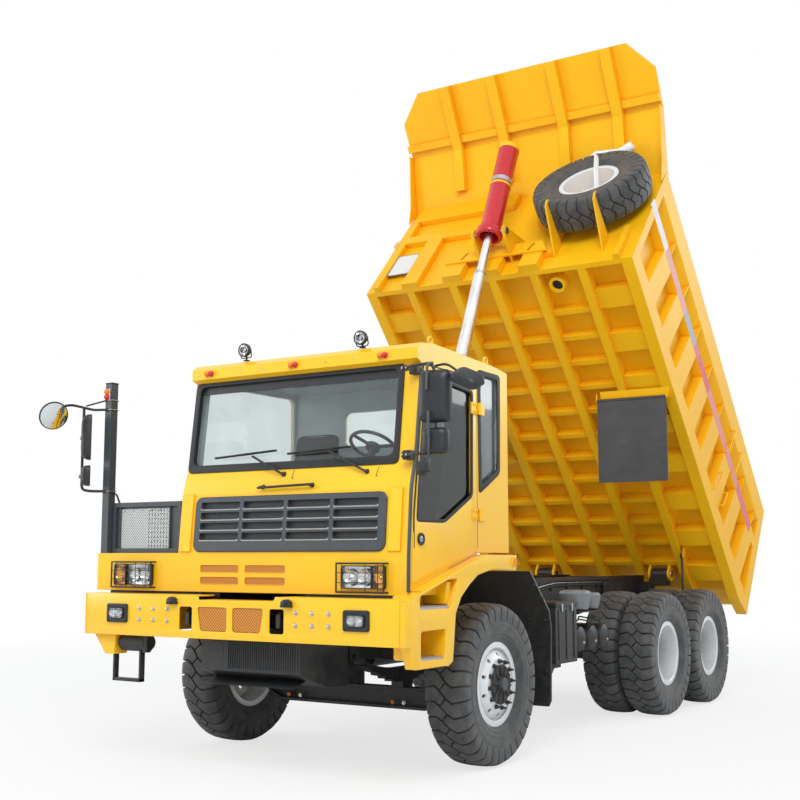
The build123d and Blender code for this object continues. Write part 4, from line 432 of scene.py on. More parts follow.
# %% Finishes on the solids
solid_finishes = {
    enamel_yellow: ("bumper", "deck_box", "step_housing", "door"),
    enamel_cab: ("cab_shell",),
    enamel_bed_shaded: ("bed_floor", "bed_frame", "side_wall_left", "side_wall_right", "front_wall", "canopy",
                 "spare_carrier"),
    enamel_black: ("frame_rails", "front_axle", "front_springs", "rear_axles", "bogie", "frame_brackets",
                   "air_tanks", "battery_box", "fuel_tank", "knuckle_left", "knuckle_right", "front_guards",
                   "mudguards", "roof_lamps", "stone_ejectors"),
    enamel_charcoal: ("deck_cage", "mirror_post"),
    enamel_grey: ("reservoir",),
    enamel_silver: tuple(name for name in nodes if name.startswith(("rim_", "spare_rim"))),
    enamel_red: ("hoist_cover",),
    hard_chrome: ("hoist_rod", "hoist_stage_2", "hoist_stage_3", "hoist_barrel"),
    cast_iron: ("engine",),
    tyre_rubber: tuple(name for name in nodes if name.startswith(("tyre_", "spare_tyre"))),
    flap_rubber: ("mud_flaps",),
    abs_black: ("right_mirrors", "left_mirrors"),
    abs_slate: ("grille", "dash_panel"),
    window_glass: ("cab_glass",),
    side_glass: ("door_glass",),
    lens_clear: ("headlights",),
    seat_cloth: ("seats",),
}
for finish, names in solid_finishes.items():
    for name in names:
        nodes[name].data.materials.clear()
        nodes[name].data.materials.append(finish)
dressed = {name for names in solid_finishes.values() for name in names}
print("dressed", len(dressed), "of", len(nodes), "solids; left over", sorted(set(nodes) - dressed))

# %% [markdown]
# ## Tools for making pieces
#
# Most fittings on a truck are one of four things: a turned part, a plate cut to an
# outline, a bar or pipe bent along a line, or a small part repeated in a ring or a
# row. One helper makes each of the first three as a mesh. Geometry Nodes trees make
# the repeats, so that a count or a pitch can be changed at one input.

# %% Tidying and turning


def tidy(mesh, sharp=32):
    """Merges doubles, points faces outwards and keeps edges sharper than that many degrees crisp."""
    work = bmesh.new()
    work.from_mesh(mesh)
    bmesh.ops.remove_doubles(work, verts=work.verts, dist=0.02 * mm)
    bmesh.ops.recalc_face_normals(work, faces=work.faces)
    work.to_mesh(mesh)
    work.free()
    mesh.shade_smooth()
    mesh.set_sharp_from_angle(angle=radians(sharp))
    return mesh


def turned(profile, steps=48, close=None):
    """A mesh turned about the X axis from points (x, radius), closed unless both ends are on the axis."""
    mesh = bpy.data.meshes.new("turned")
    count = len(profile)
    points = [(x, r * cos(tau * i / steps),
               r * sin(tau * i / steps)) for i in range(steps) for x, r in profile]
    if close is None:
        close = max(profile[0][1], profile[-1][1]) > 1e-9
    last = count if close else count - 1
    faces = [(i * count + j, i * count + (j + 1) % count, (i + 1) % steps * count + (j + 1) % count,
              (i + 1) % steps * count + j) for i in range(steps) for j in range(last)]
    mesh.from_pydata(points, [], faces)
    return tidy(mesh)


print("lathe ready")

# %% A plate cut to an outline


def plate(outline, thickness, bevel=0.0, holes=(), sharp=32):
    """A plate in the XZ plane, cut to an outline of (x, z), from y = 0 to its thickness, with holes."""
    work = bmesh.new()
    loops = [outline, *holes]
    edges = []
    for loop in loops:
        verts = [work.verts.new((x, 0, z)) for x, z in loop]
        edges += [work.edges.new((verts[i], verts[(i + 1) % len(verts)])) for i in range(len(verts))]
    bmesh.ops.triangle_fill(work, use_beauty=True, use_dissolve=True, edges=edges)
    made = bmesh.ops.extrude_face_region(work, geom=list(work.faces))
    bmesh.ops.translate(work, verts=[v for v in made["geom"] if isinstance(v, bmesh.types.BMVert)],
                        vec=(0, thickness, 0))
    bmesh.ops.recalc_face_normals(work, faces=work.faces)
    if bevel:
        rim = [e for e in work.edges if len(e.link_faces) == 2 and e.calc_face_angle(0) > radians(40)]
        bmesh.ops.bevel(work, geom=rim, offset=bevel, segments=2, affect="EDGES", profile=0.6)
    mesh = bpy.data.meshes.new("plate")
    work.to_mesh(mesh)
    work.free()
    return tidy(mesh, sharp)


print("plates ready")

# %% A block, and the outline of a rounded rectangle


def block(size, bevel=3 * mm, segments=2):
    """A box of that size centred on the origin, with its edges rounded."""
    work = bmesh.new()
    bmesh.ops.create_cube(work, size=1)
    bmesh.ops.scale(work, vec=size, verts=work.verts)
    bmesh.ops.bevel(work, geom=list(work.edges), offset=bevel, segments=segments, affect="EDGES", profile=0.6)
    mesh = bpy.data.meshes.new("block")
    work.to_mesh(mesh)
    work.free()
    return tidy(mesh)


def rounded(width, height, radius, steps=5, centre=(0, 0)):
    """Outline of a rectangle with rounded corners."""
    points = []
    for quarter, (sx, sz) in enumerate(((1, 1), (-1, 1), (-1, -1), (1, -1))):
        for i in range(steps + 1):
            turn = (quarter + i / steps) * pi / 2
            points.append((centre[0] + sx * (width / 2 - radius) + radius * cos(turn),
                           centre[1] + sz * (height / 2 - radius) + radius * sin(turn)))
    return points


print("blocks ready")

# %% A bar or pipe bent along points


def pipe(points, radius, bend=0.05, sides=10, flat=None):
    """A bar bent along points with rounded corners; flat gives a second half thickness for flat bar."""
    points = [Vector(p) for p in points]
    line = [points[0]]
    for before, corner, after in zip(points, points[1:], points[2:]):
        come, go = (before - corner), (after - corner)
        reach = min(bend, come.length * 0.45, go.length * 0.45)
        a, b = corner + come.normalized() * reach, corner + go.normalized() * reach
        for i in range(6):
            t = i / 5
            line.append(a * (1 - t) ** 2 + corner * 2 * t * (1 - t) + b * t ** 2)
    line.append(points[-1])
    mesh = bpy.data.meshes.new("pipe")
    verts, faces = [], []
    across = None
    for i, spot in enumerate(line):
        ahead = (line[min(i + 1, len(line) - 1)] - line[max(i - 1, 0)]).normalized()
        if across is None:
            across = ahead.orthogonal().normalized()
        across = (across - ahead * across.dot(ahead)).normalized()
        other = ahead.cross(across)
        verts += [spot + across * radius * cos(tau * j / sides) + other * (flat or radius)
                  * sin(tau * j / sides) for j in range(sides)]
    for i in range(len(line) - 1):
        faces += [(i * sides + j, i * sides + (j + 1) % sides, (i + 1) * sides + (j + 1) % sides,
                   (i + 1) * sides + j) for j in range(sides)]
    faces += [tuple(range(sides))[::-1], tuple(range((len(line) - 1) * sides, len(line) * sides))]
    mesh.from_pydata(verts, [], faces)
    return tidy(mesh, 40)


print("pipes ready")

# %% Moving, joining, painting and fitting


def moved(mesh, place, turn=Matrix.Identity(4)):
    """The mesh put in its place by a matrix, or turned and then shifted to a spot."""
    mesh.transform((place if isinstance(place, Matrix) else Matrix.Translation(place)) @ turn)
    return mesh


def joined(*meshes):
    """One mesh out of several, keeping each one's finishes."""
    finishes, verts, faces, slots, smooth = [], [], [], [], []
    for mesh in meshes:
        shift = len(verts)
        verts += [v.co[:] for v in mesh.vertices]
        own = [m for m in mesh.materials] or [None]
        for m in own:
            if m not in finishes:
                finishes.append(m)
        for face in mesh.polygons:
            faces.append([shift + v for v in face.vertices])
            slots.append(finishes.index(own[min(face.material_index, len(own) - 1)]))
    result = bpy.data.meshes.new("joined")
    result.from_pydata(verts, [], faces)
    for m in finishes:
        result.materials.append(m)
    result.polygons.foreach_set("material_index", slots)
    result.shade_smooth()
    result.set_sharp_from_angle(angle=radians(35))
    return result


def painted(mesh, finish):
    """The mesh in one finish."""
    mesh.materials.clear()
    mesh.materials.append(finish)
    return mesh


def placed(mesh, finish, place, turn=Matrix.Identity(4)):
    """The mesh in one finish, put in its place."""
    return painted(moved(mesh, place, turn), finish)


def fit(name, mesh, body, finish=None):
    """Puts a finished mesh on the truck as a piece that rides on that body."""
    if finish:
        painted(mesh, finish)
    mesh.name = name
    piece = bpy.data.objects.new(name, mesh)
    bpy.context.scene.collection.objects.link(piece)
    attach(piece, body)
    return piece


print("mesh tools ready")

# %% Beginning and ending a Geometry Nodes tree


def new_tree(name, *inputs):
    """An empty Geometry Nodes tree with those inputs, each a name and a kind of socket."""
    tree = bpy.data.node_groups.new(name, "GeometryNodeTree")
    tree.interface.new_socket("Geometry", in_out="OUTPUT", socket_type="NodeSocketGeometry")
    for label, kind in (*inputs, ("Part", "Object"), ("Finish", "Material")):
        tree.interface.new_socket(label, in_out="INPUT", socket_type="NodeSocket" + kind)
    return tree, put(tree, "NodeGroupInput").outputs


def close_tree(tree, given, instances):
    """Ends a tree: instances made real and given their finish."""
    real = put(tree, "GeometryNodeRealizeInstances", [instances])
    finished = put(tree, "GeometryNodeSetMaterial", {"Geometry": real, "Material": given["Finish"]})
    put(tree, "NodeGroupOutput", [finished])


print("a tree has a part, a finish and its own sizes as inputs")

# %% Ring tree
ring_tree, given = new_tree("ring_of_parts", ("Count", "Int"), ("Start turn", "Float"))
spots = put(ring_tree, "GeometryNodeMeshLine", {"Offset": (0, 0, 0), "Count": given["Count"]}, mode="OFFSET")
part = put(ring_tree, "GeometryNodeObjectInfo", {"Object": given["Part"]})
copies = put(ring_tree, "GeometryNodeInstanceOnPoints",
             {"Points": spots, "Instance": part.outputs["Geometry"]})
index = put(ring_tree, "GeometryNodeInputIndex")
step = put(ring_tree, "ShaderNodeMath", [tau, given["Count"]], operation="DIVIDE")
turn = put(ring_tree, "ShaderNodeMath", [index, step, given["Start turn"]],
           operation="MULTIPLY_ADD")
about_x = put(ring_tree, "ShaderNodeCombineXYZ", {"X": turn})
turned_copies = put(ring_tree, "GeometryNodeRotateInstances",
                    {"Local Space": False, "Instances": copies, "Rotation": about_x})
close_tree(ring_tree, given, turned_copies.outputs[0])
print("ring tree has", len(ring_tree.nodes), "nodes")

# %% Row tree and spot tree
row_tree, given = new_tree("row_of_parts", ("Count", "Int"), ("Start", "Vector"), ("Pitch", "Vector"))
spots = put(row_tree, "GeometryNodeMeshLine",
            {"Count": given["Count"], "Start Location": given["Start"], "Offset": given["Pitch"]},
            mode="OFFSET")
part = put(row_tree, "GeometryNodeObjectInfo", {"Object": given["Part"]})
copies = put(row_tree, "GeometryNodeInstanceOnPoints",
             {"Points": spots, "Instance": part.outputs["Geometry"]})
close_tree(row_tree, given, copies.outputs[0])

spot_tree, given = new_tree("parts_at_spots", ("Spots", "Object"))
spots = put(spot_tree, "GeometryNodeObjectInfo", {"Object": given["Spots"]})
part = put(spot_tree, "GeometryNodeObjectInfo", {"Object": given["Part"]})
copies = put(spot_tree, "GeometryNodeInstanceOnPoints",
             {"Points": spots.outputs["Geometry"], "Instance": part.outputs["Geometry"]})
close_tree(spot_tree, given, copies.outputs[0])
print("row and spot trees ready")

# %% Growing a tree on a part


def grow(tree, part, finish, sharp=32, **values):
    """Runs a tree on one part mesh and gives back its result as a plain mesh."""
    helpers = {"Part": bpy.data.objects.new("part", part)}
    if "Spots" in values:
        cloud = bpy.data.meshes.new("spots")
        cloud.from_pydata([tuple(p) for p in values["Spots"]], [], [])
        helpers["Spots"] = bpy.data.objects.new("spots", cloud)
    holder = bpy.data.objects.new("holder", bpy.data.meshes.new("holder"))
    for helper in (*helpers.values(), holder):
        bpy.context.scene.collection.objects.link(helper)
    modifier = holder.modifiers.new("grow", "NODES")
    modifier.node_group = tree
    given = {**values, **helpers, "Finish": finish}
    for socket in tree.interface.items_tree:
        if socket.in_out == "INPUT":
            modifier[socket.identifier] = given[socket.name]
    graph = bpy.context.evaluated_depsgraph_get()
    mesh = bpy.data.meshes.new_from_object(holder.evaluated_get(graph))
    for helper in (*helpers.values(), holder):
        bpy.data.objects.remove(helper)
    mesh.shade_smooth()
    mesh.set_sharp_from_angle(angle=radians(sharp))
    return mesh


def ring(part, finish, count, start=0.0):
    """Copies of a part turned about the X axis."""
    return grow(ring_tree, part, finish, Count=count, **{"Start turn": start})


def row(part, finish, count, start, pitch):
    """Copies of a part along a line."""
    return grow(row_tree, part, finish, Count=count, Start=start, Pitch=pitch)


def at_spots(part, finish, spots):
    """Copies of a part at a list of places."""
    return grow(spot_tree, part, finish, Spots=spots)


print("rings, rows and spots ready")

# %% A bolt head, and turns from the X axis


def hex_bolt(across, height, washer=True):
    """A bolt head whose axis is X: a washer and a chamfered hexagon, from x = 0 outwards."""
    flange = turned([(0, 0), (0, across * 0.8), (height * 0.25, across * 0.78), (height * 0.25, 0)], 14)
    head = turned([(height * 0.2, 0), (height * 0.2, across * 0.56), (height * 0.9, across * 0.56),
                   (height, across * 0.46), (height, 0)], 6)
    return joined(flange, head) if washer else head


to_front = Matrix.Rotation(-pi / 2, 4, "Z")    # turns a part's +X to point forward, -Y
to_back = Matrix.Rotation(pi / 2, 4, "Z")
to_right = Matrix.Rotation(pi, 4, "Z")
to_up = Matrix.Rotation(-pi / 2, 4, "Y")
print("node trees", [t.name for t in bpy.data.node_groups])

# %% [markdown]
# ## Tyres
#
# The truck runs on bias rock tyres: two rows of heavy blocks that lock together
# along a zigzag groove, with cuts over the shoulders. Each block is made once as a
# small mesh that follows the tyre's section, and a ring tree sets 33 of them round
# each side. The carcass below is turned from its section.

# %% The tyre's section
tyre_half = 0.1875
block_count = 33
block_pitch = tau * tyre_radius / block_count
groove = 20 * mm
groove_depth = 30 * mm
crown = tyre_radius - groove_depth
# Section of the carcass under the blocks, from the crown's middle round the shoulder, as (x, radius).
carcass_path = ((0, crown), (0.06, crown - 1 * mm), (0.12, crown - 5 * mm), (0.152, crown - 13 * mm),
                (0.168, crown - 32 * mm), (0.176, crown - 62 * mm), (0.181, crown - 100 * mm))
block_stops = (0.0, 0.028, 0.08, 0.13, 0.168, 0.195, 0.235, 0.268)    # distances along that path
block_tall = (1.0, 1.0, 1.0, 0.97, 0.92, 0.62, 0.36, 0.1)             # height of the block there


def on_section(run, lift):
    """Place on the carcass section at a distance along it, raised square to it, as (x, radius)."""
    side = -1 if run < 0 else 1
    run = abs(run)
    for (x0, r0), (x1, r1) in zip(carcass_path, carcass_path[1:]):
        step = hypot(x1 - x0, r1 - r0)
        if run <= step or (x1, r1) == carcass_path[-1]:
            t = run / step
            return (side * (x0 + (x1 - x0) * t - (r1 - r0) / step * lift),
                    r0 + (r1 - r0) * t + (x1 - x0) / step * lift)
        run -= step


def groove_line(run):
    """Where the cut between two blocks lies round the tyre, in pitches, at a distance from the middle."""
    if run < 0.08:
        return 0.30 * (run - 0.028) / 0.052
    return 0.30 - 0.12 * min(1, (run - 0.08) / 0.085)


print("section and groove ready")

# %% One tread block


def tread_block():
    """One block of the left row: top, walls with draft, and a kink where its cut bends."""
    verts, faces, rows = [], [], []
    stations = [-0.028 + 0.4 * groove, 0.0, *block_stops[1:]]
    tall = [1.0, *block_tall]
    for run, high in zip(stations, tall):
        if run < 0.028:
            open_share = (run + 0.028) / 0.056
            low, top = 0.5 - 0.5 * open_share, 0.5 + 0.5 * open_share
            low, top = low + groove / block_pitch * 0.62, top - groove / block_pitch * 0.62
            if top < low:
                low = top = (low + top) / 2
        else:
            low = groove_line(run) + groove / block_pitch / 2
            top = groove_line(run) + 1 - groove / block_pitch / 2
        ring_points = []
        for along, lift, draft in ((low, 0, -0.035), (low, high, 0), ((low + top) / 2, high, 0),
                                   (top, high, 0), (top, 0, 0.035)):
            lift = lift * groove_depth - (2 * mm if lift == 0 else 0)
            x, r = on_section(run, lift)
            turn = (along + draft) * tau / block_count
            ring_points.append(len(verts))
            verts.append((x, r * cos(turn), r * sin(turn)))
        rows.append(ring_points)
    for a, b in zip(rows, rows[1:]):
        faces += [(a[i], a[i + 1], b[i + 1], b[i]) for i in range(4)]
    faces += [tuple(rows[0]), tuple(rows[-1])]
    mesh = bpy.data.meshes.new("tread_block")
    mesh.from_pydata(verts, [], faces)
    tidy(mesh, 30)
    work = bmesh.new()
    work.from_mesh(mesh)
    top_edges = [e for e in work.edges if len(e.link_faces) == 2 and e.calc_face_angle(0) > radians(35)
                 and max(hypot(v.co.y, v.co.z) for v in e.verts) > crown - 20 * mm]
    bmesh.ops.bevel(work, geom=top_edges, offset=3 * mm, segments=1, affect="EDGES")
    work.to_mesh(mesh)
    work.free()
    return tidy(mesh, 40)


print("tread block ready")

# %% Carcass and blocks
carcass = [(-x, r) for x, r in reversed(carcass_path[1:])] + list(carcass_path)
wall = [(0.1865, 0.515), (tyre_half, 0.495), (0.1845, 0.487), (0.186, 0.462), (0.181, 0.44), (0.1835, 0.434),
        (0.179, 0.428), (0.168, 0.405), (0.1715, 0.40), (0.1655, 0.394), (0.147, 0.372), (0.143, 0.360),
        (0.1265, 0.3575), (0.1265, 0.3182)]
section = [(-x, r) for x, r in reversed(wall)] + carcass + wall
left_row = ring(tread_block(), tyre_rubber, block_count)
right_row = ring(moved(tread_block(), Matrix.Rotation(pi, 4, "Y")), tyre_rubber,
                 block_count, tau / block_count * 0.5)
carcass_mesh = painted(turned(section, 96), tyre_rubber)
tyre_mesh = joined(carcass_mesh, left_row, right_row)
print("one tyre has", sum(len(p.vertices) - 2 for p in tyre_mesh.polygons), "triangles")

# %% Tyres on their wheels
rear_x, twin_gap, front_x = 1.400, 0.430, 1.3485
wheel_places = {
    # wheel: hand, distance behind the front axle, x of its tyres
    "front_left": (1, 0.0, (front_x,)),
    "front_right": (-1, 0.0, (front_x,)),
    "rear_1_left": (1, 4.0, (rear_x, rear_x - twin_gap)),
    "rear_1_right": (-1, 4.0, (rear_x, rear_x - twin_gap)),
    "rear_2_left": (1, 5.425, (rear_x, rear_x - twin_gap)),
    "rear_2_right": (-1, 5.425, (rear_x, rear_x - twin_gap)),
}
for number, (wheel, (hand, along, xs)) in enumerate(wheel_places.items()):
    copies = []
    for i, x in enumerate(xs):
        turn = Matrix.Rotation(0 if hand > 0 else pi, 4, "Z")
        place = Matrix.Translation(at(hand * x, along, tyre_radius)) @ turn
        copies.append(moved(tyre_mesh.copy(), place @ Matrix.Rotation(0.31 * number + 0.7 * i, 4, "X")))
    tyre = fit(f"tread_{wheel}", joined(*copies), f"wheel_{wheel}")
    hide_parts(f"tyre_{wheel}")

spare_centre = bed(1.050, 4.979, 1.070)
spare_turn = Matrix((bed_u, Vector((-1, 0, 0)), bed_v)).transposed().to_4x4()
spare_place = Matrix.Translation(spare_centre) @ spare_turn
spare = fit("tread_spare", moved(tyre_mesh.copy(), spare_place), "bed")
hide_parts("spare_tyre")
print("eleven tyres")

# %% [markdown]
# ## Wheels
#
# The rims are pressed steel discs in wide bands. The front ones turn their disc
# outwards, with ten round hand holes in its cone. Each rear pair bolts back to back
# in the middle, which leaves a deep smooth dish outside. Twelve studs hold each.

# %% Cutting one mesh out of another


def cut(mesh, cutter):
    """The mesh with another mesh taken out of it, made plain again."""
    body, tool = bpy.data.objects.new("body", mesh), bpy.data.objects.new("tool", cutter)
    for helper in (body, tool):
        bpy.context.scene.collection.objects.link(helper)
    modifier = body.modifiers.new("cut", "BOOLEAN")
    modifier.operation = "DIFFERENCE"
    modifier.solver = "EXACT"
    modifier.object = tool
    result = bpy.data.meshes.new_from_object(body.evaluated_get(bpy.context.evaluated_depsgraph_get()))
    for helper in (body, tool):
        bpy.data.objects.remove(helper)
    return tidy(result)


print("cutter ready")

# %% Rims with their hand holes, and the studs
disc_thick, stud_ring, hand_hole_ring, hand_hole = 0.022, 0.196, 0.25, 0.017
front_mount, twin_mount = 0.172, 0.215


def rim_section(mount):
    """Section of a rim with its disc out at mount: points (x, radius) round the band and back."""
    back = mount - disc_thick
    return [(mount, 0.145), (mount, 0.222), (mount - 0.006, 0.230), (0.118, 0.288), (0.106, 0.297),
            (0.112, 0.303), (0.136, 0.304), (0.1425, 0.310), (0.1425, 0.350), (0.140, 0.356), (0.134, 0.357),
            (0.130, 0.352), (0.129, 0.320), (0.08, 0.319), (0.04, 0.314), (-0.04, 0.314), (-0.08, 0.319),
            (-0.129, 0.320), (-0.130, 0.352), (-0.134, 0.357), (-0.140, 0.356), (-0.1425, 0.350),
            (-0.1425, 0.310), (-0.136, 0.304), (-0.04, 0.300), (0.04, 0.300), (0.080, 0.302), (0.096, 0.290),
            (back - 0.006, 0.226), (back, 0.218), (back, 0.145)]


def rim_mesh(mount):
    """A rim with ten hand holes through the cone of its disc."""
    drill = turned([(0.05, 0), (0.05, hand_hole), (0.3, hand_hole), (0.3, 0)], 14)
    moved(drill, (0, 0, hand_hole_ring))
    return cut(turned(rim_section(mount), 96), ring(drill, None, 10))


front_rim, twin_rim = rim_mesh(front_mount), rim_mesh(twin_mount)
nut = joined(
    turned([(0, 0), (0, 0.021), (0.004, 0.021), (0.004, 0)], 14),
    turned([(0.003, 0), (0.003, 0.017), (0.022, 0.017), (0.026, 0.014), (0.026, 0)], 6),
    turned([(0.02, 0), (0.02, 0.009), (0.047, 0.009), (0.05, 0.007), (0.05, 0)], 10))
studs = ring(moved(nut, (0, 0, stud_ring)), enamel_black, 12, 0.09)
print("rims have", len(front_rim.polygons), "and", len(twin_rim.polygons), "faces")

# %% Hubs
# The front hub is a ribbed casting round a bearing cap. The rear hub is a long drive flange
# with its own ring of bolts.
rib = moved(block((0.022, 0.016, 0.088), 5 * mm), (0.022, 0, 0.112))
front_hub = joined(
    painted(turned([(-0.1, 0), (-0.1, 0.15), (0.003, 0.165), (0.014, 0.168), (0.020, 0.160), (0.016, 0.075),
                    (0.024, 0.068), (0.024, 0)], 48), cast_iron),
    ring(rib, cast_iron, 10, 0.2),
    painted(turned([(0.022, 0), (0.022, 0.060), (0.046, 0.056), (0.054, 0.046), (0.056, 0)], 32),
            enamel_charcoal))
flange_bolt = moved(hex_bolt(0.020, 0.014), (0.148, 0, 0.088))
rear_hub = joined(painted(turned([(0, 0), (0, 0.144), (0.03, 0.142), (0.04, 0.125), (0.128, 0.118),
                                  (0.14, 0.112), (0.148, 0.110), (0.148, 0.066), (0.158, 0.060), (0.16, 0)],
                                 48), cast_iron), ring(flange_bolt, enamel_black, 8))


print("two hubs")

# %% Wheels put together


def at_mount(mesh, x):
    """A copy of the mesh shifted along the axle."""
    return moved(mesh.copy(), (x, 0, 0))


facing_in = Matrix.Rotation(pi, 4, "Z")
front_wheel = joined(painted(front_rim.copy(), enamel_silver), at_mount(studs, front_mount),
                     at_mount(front_hub, front_mount))
twin_wheel = joined(
    placed(twin_rim.copy(), enamel_silver, facing_in),
    painted(at_mount(twin_rim, -twin_gap), enamel_silver),
    at_mount(studs, -twin_mount + disc_thick), at_mount(rear_hub, -twin_mount + disc_thick))
print("a front wheel and a rear pair put together")

# %% Rims on their wheels
for wheel, (hand, along, xs) in wheel_places.items():
    turn = Matrix.Rotation(0 if hand > 0 else pi, 4, "Z")
    mesh = (front_wheel if len(xs) == 1 else twin_wheel).copy()
    place = Matrix.Translation(at(hand * xs[0], along, tyre_radius)) @ turn
    rim = fit(f"disc_{wheel}", moved(mesh, place), f"wheel_{wheel}")
    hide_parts(f"rim_{wheel}")
print("six rims,", len(front_wheel.polygons), "faces at the front,", len(twin_wheel.polygons), "in a pair")

# %% [markdown]
# ## Windscreen, wipers and the cab's front
#
# Everything on the front leans with the sheet it sits on. The screen leans back by
# 98 mm over 800 mm of height and the grille's sheet by 40 mm over 500 mm. A plate is
# cut in its own plane first and then leaned about the X axis onto the cab.

# %% Placing plates on the front and on the sides
screen_lean = atan2(98, 800)
grille_lean = atan2(40, 500)
screen_foot = at(0, -1.360, 2.500)


def on_front(mesh, foot, lean=0.0, proud=0.0):
    """Puts a mesh drawn in x and z, with y backwards, on a leaning front sheet, proud of it by so much."""
    turn = Matrix.Rotation(-lean, 4, "X")
    return moved(mesh, Matrix.Translation(foot) @ turn @ Matrix.Translation((0, -proud, 0)))


def on_left(mesh, x, proud):
    """Puts a plate drawn in distance behind the front axle and height on the left side at x, proud of it."""
    return moved(mesh, (x + proud, front_axle.y, 0), to_back)


def frame_of(outer, inner, thickness, bevel):
    """A flat ring between two outlines."""
    return plate(outer, thickness, bevel, holes=[inner])


print("plates can be placed")

# %% Insetting and rounding an outline


def inset(outline, amount):
    """An outline moved inwards by that much; its points run counter-clockwise."""
    result = []
    count = len(outline)
    for i in range(count):
        before, here, after = (Vector(outline[(i + k) % count]) for k in (-1, 0, 1))
        come, go = (here - before).normalized(), (after - here).normalized()
        side = Vector((-come.y, come.x)) + Vector((-go.y, go.x))
        result.append(tuple(here + side * (amount / max(0.3, side.dot(Vector((-come.y, come.x)))))))
    return result


def soft(outline, radius, steps=4):
    """An outline with its corners rounded."""
    result = []
    count = len(outline)
    for i in range(count):
        before, here, after = (Vector(outline[(i + k) % count]) for k in (-1, 0, 1))
        come, go = before - here, after - here
        reach = min(radius, come.length * 0.45, go.length * 0.45)
        a, b = here + come.normalized() * reach, here + go.normalized() * reach
        result += [tuple(a * (1 - t) ** 2 + here * 2 * t * (1 - t) + b * t ** 2)
                   for t in [k / steps for k in range(steps + 1)]]
    return result


def area(outline):
    """Signed area, positive when the outline runs counter-clockwise."""
    return sum(a[0] * b[1] - b[0] * a[1] for a, b in zip(outline, outline[1:] + outline[:1])) / 2


def wound(outline):
    """The outline turned to run counter-clockwise."""
    return outline if area(outline) > 0 else outline[::-1]


print("placing helpers ready")

# %% Windscreen rubber, quarter and door window rubbers
screen_outer = rounded(2.215, 0.822, 0.05, centre=(0.26, 0.404))
screen_inner = rounded(2.105, 0.715, 0.06, centre=(0.26, 0.418))
screen_rubber = on_front(frame_of(screen_outer, screen_inner, 0.020, 4 * mm), screen_foot, screen_lean, 0.012)
top_shade = on_front(plate(rounded(2.105, 0.075, 0.03, centre=(0.26, 0.745)), 0.004), screen_foot,
                     screen_lean, -0.018)
# The rubber's inner lip runs back through the opening and hides its cut edge.
inner_lip = on_front(frame_of(inset(wound(screen_inner), -0.010), screen_inner, 0.030, 2 * mm), screen_foot,
                     screen_lean, -0.004)
fit("screen_rubber", joined(painted(joined(screen_rubber, inner_lip), seal_rubber),
                            painted(top_shade, abs_black)), "chassis")

door_window = wound([(-1.350, 2.046), (-0.925, 2.046), (-0.464, 2.275), (-0.450, 3.160), (-1.215, 3.228),
                     (-1.302, 2.500)])
quarter_window = wound([(-0.326, 2.324), (0.015, 2.500), (0.031, 3.340), (-0.340, 3.345)])
cab_left_x, door_body = 1.520, "door"


def window_rubber(outline, wide):
    """A rubber ring round a side window, half over its edge."""
    outer, inner = soft(inset(outline, -wide * 0.4), 0.05), soft(inset(outline, wide * 0.6), 0.035)
    return on_left(frame_of(outer, inner, 0.014, 3 * mm), cab_left_x, 0.006)


fit("door_window_rubber", window_rubber(door_window, 0.03), door_body, seal_rubber)
quarter_rubber = painted(window_rubber(quarter_window, 0.05), seal_rubber)
# Black rubber in the gap down the door's front edge, and round the rest of the doorway.
gap_points = [(-1.388, 1.832), (-1.388, 2.100), (-1.335, 2.500), (-1.243, 3.285)]
gap_rubber = pipe([(cab_left_x + 1 * mm, front_axle.y + y, z) for y, z in gap_points], 7 * mm, 0.03, 8)
gap_back = pipe([(cab_left_x - 3 * mm, front_axle.y + y, z) for y, z in
                 ((-1.24, 3.292), (-0.374, 3.292), (-0.372, 1.828), (-1.38, 1.828))], 4.5 * mm, 0.03, 6)
fit("side_rubbers", joined(quarter_rubber, painted(gap_rubber, seal_rubber), painted(gap_back, seal_rubber)),
    "chassis")
print("rubbers fitted")

# %% Wipers, washer jets, handle bar


def on_screen(x, z, off):
    """A place on the leaning screen at a height, off it by so much."""
    run = (z - 2.5) / cos(screen_lean)
    spot = screen_foot + Vector((x, 0, 0)) + Vector((0, sin(screen_lean), cos(screen_lean))) * run
    return spot + Vector((0, -cos(screen_lean), sin(screen_lean))) * off


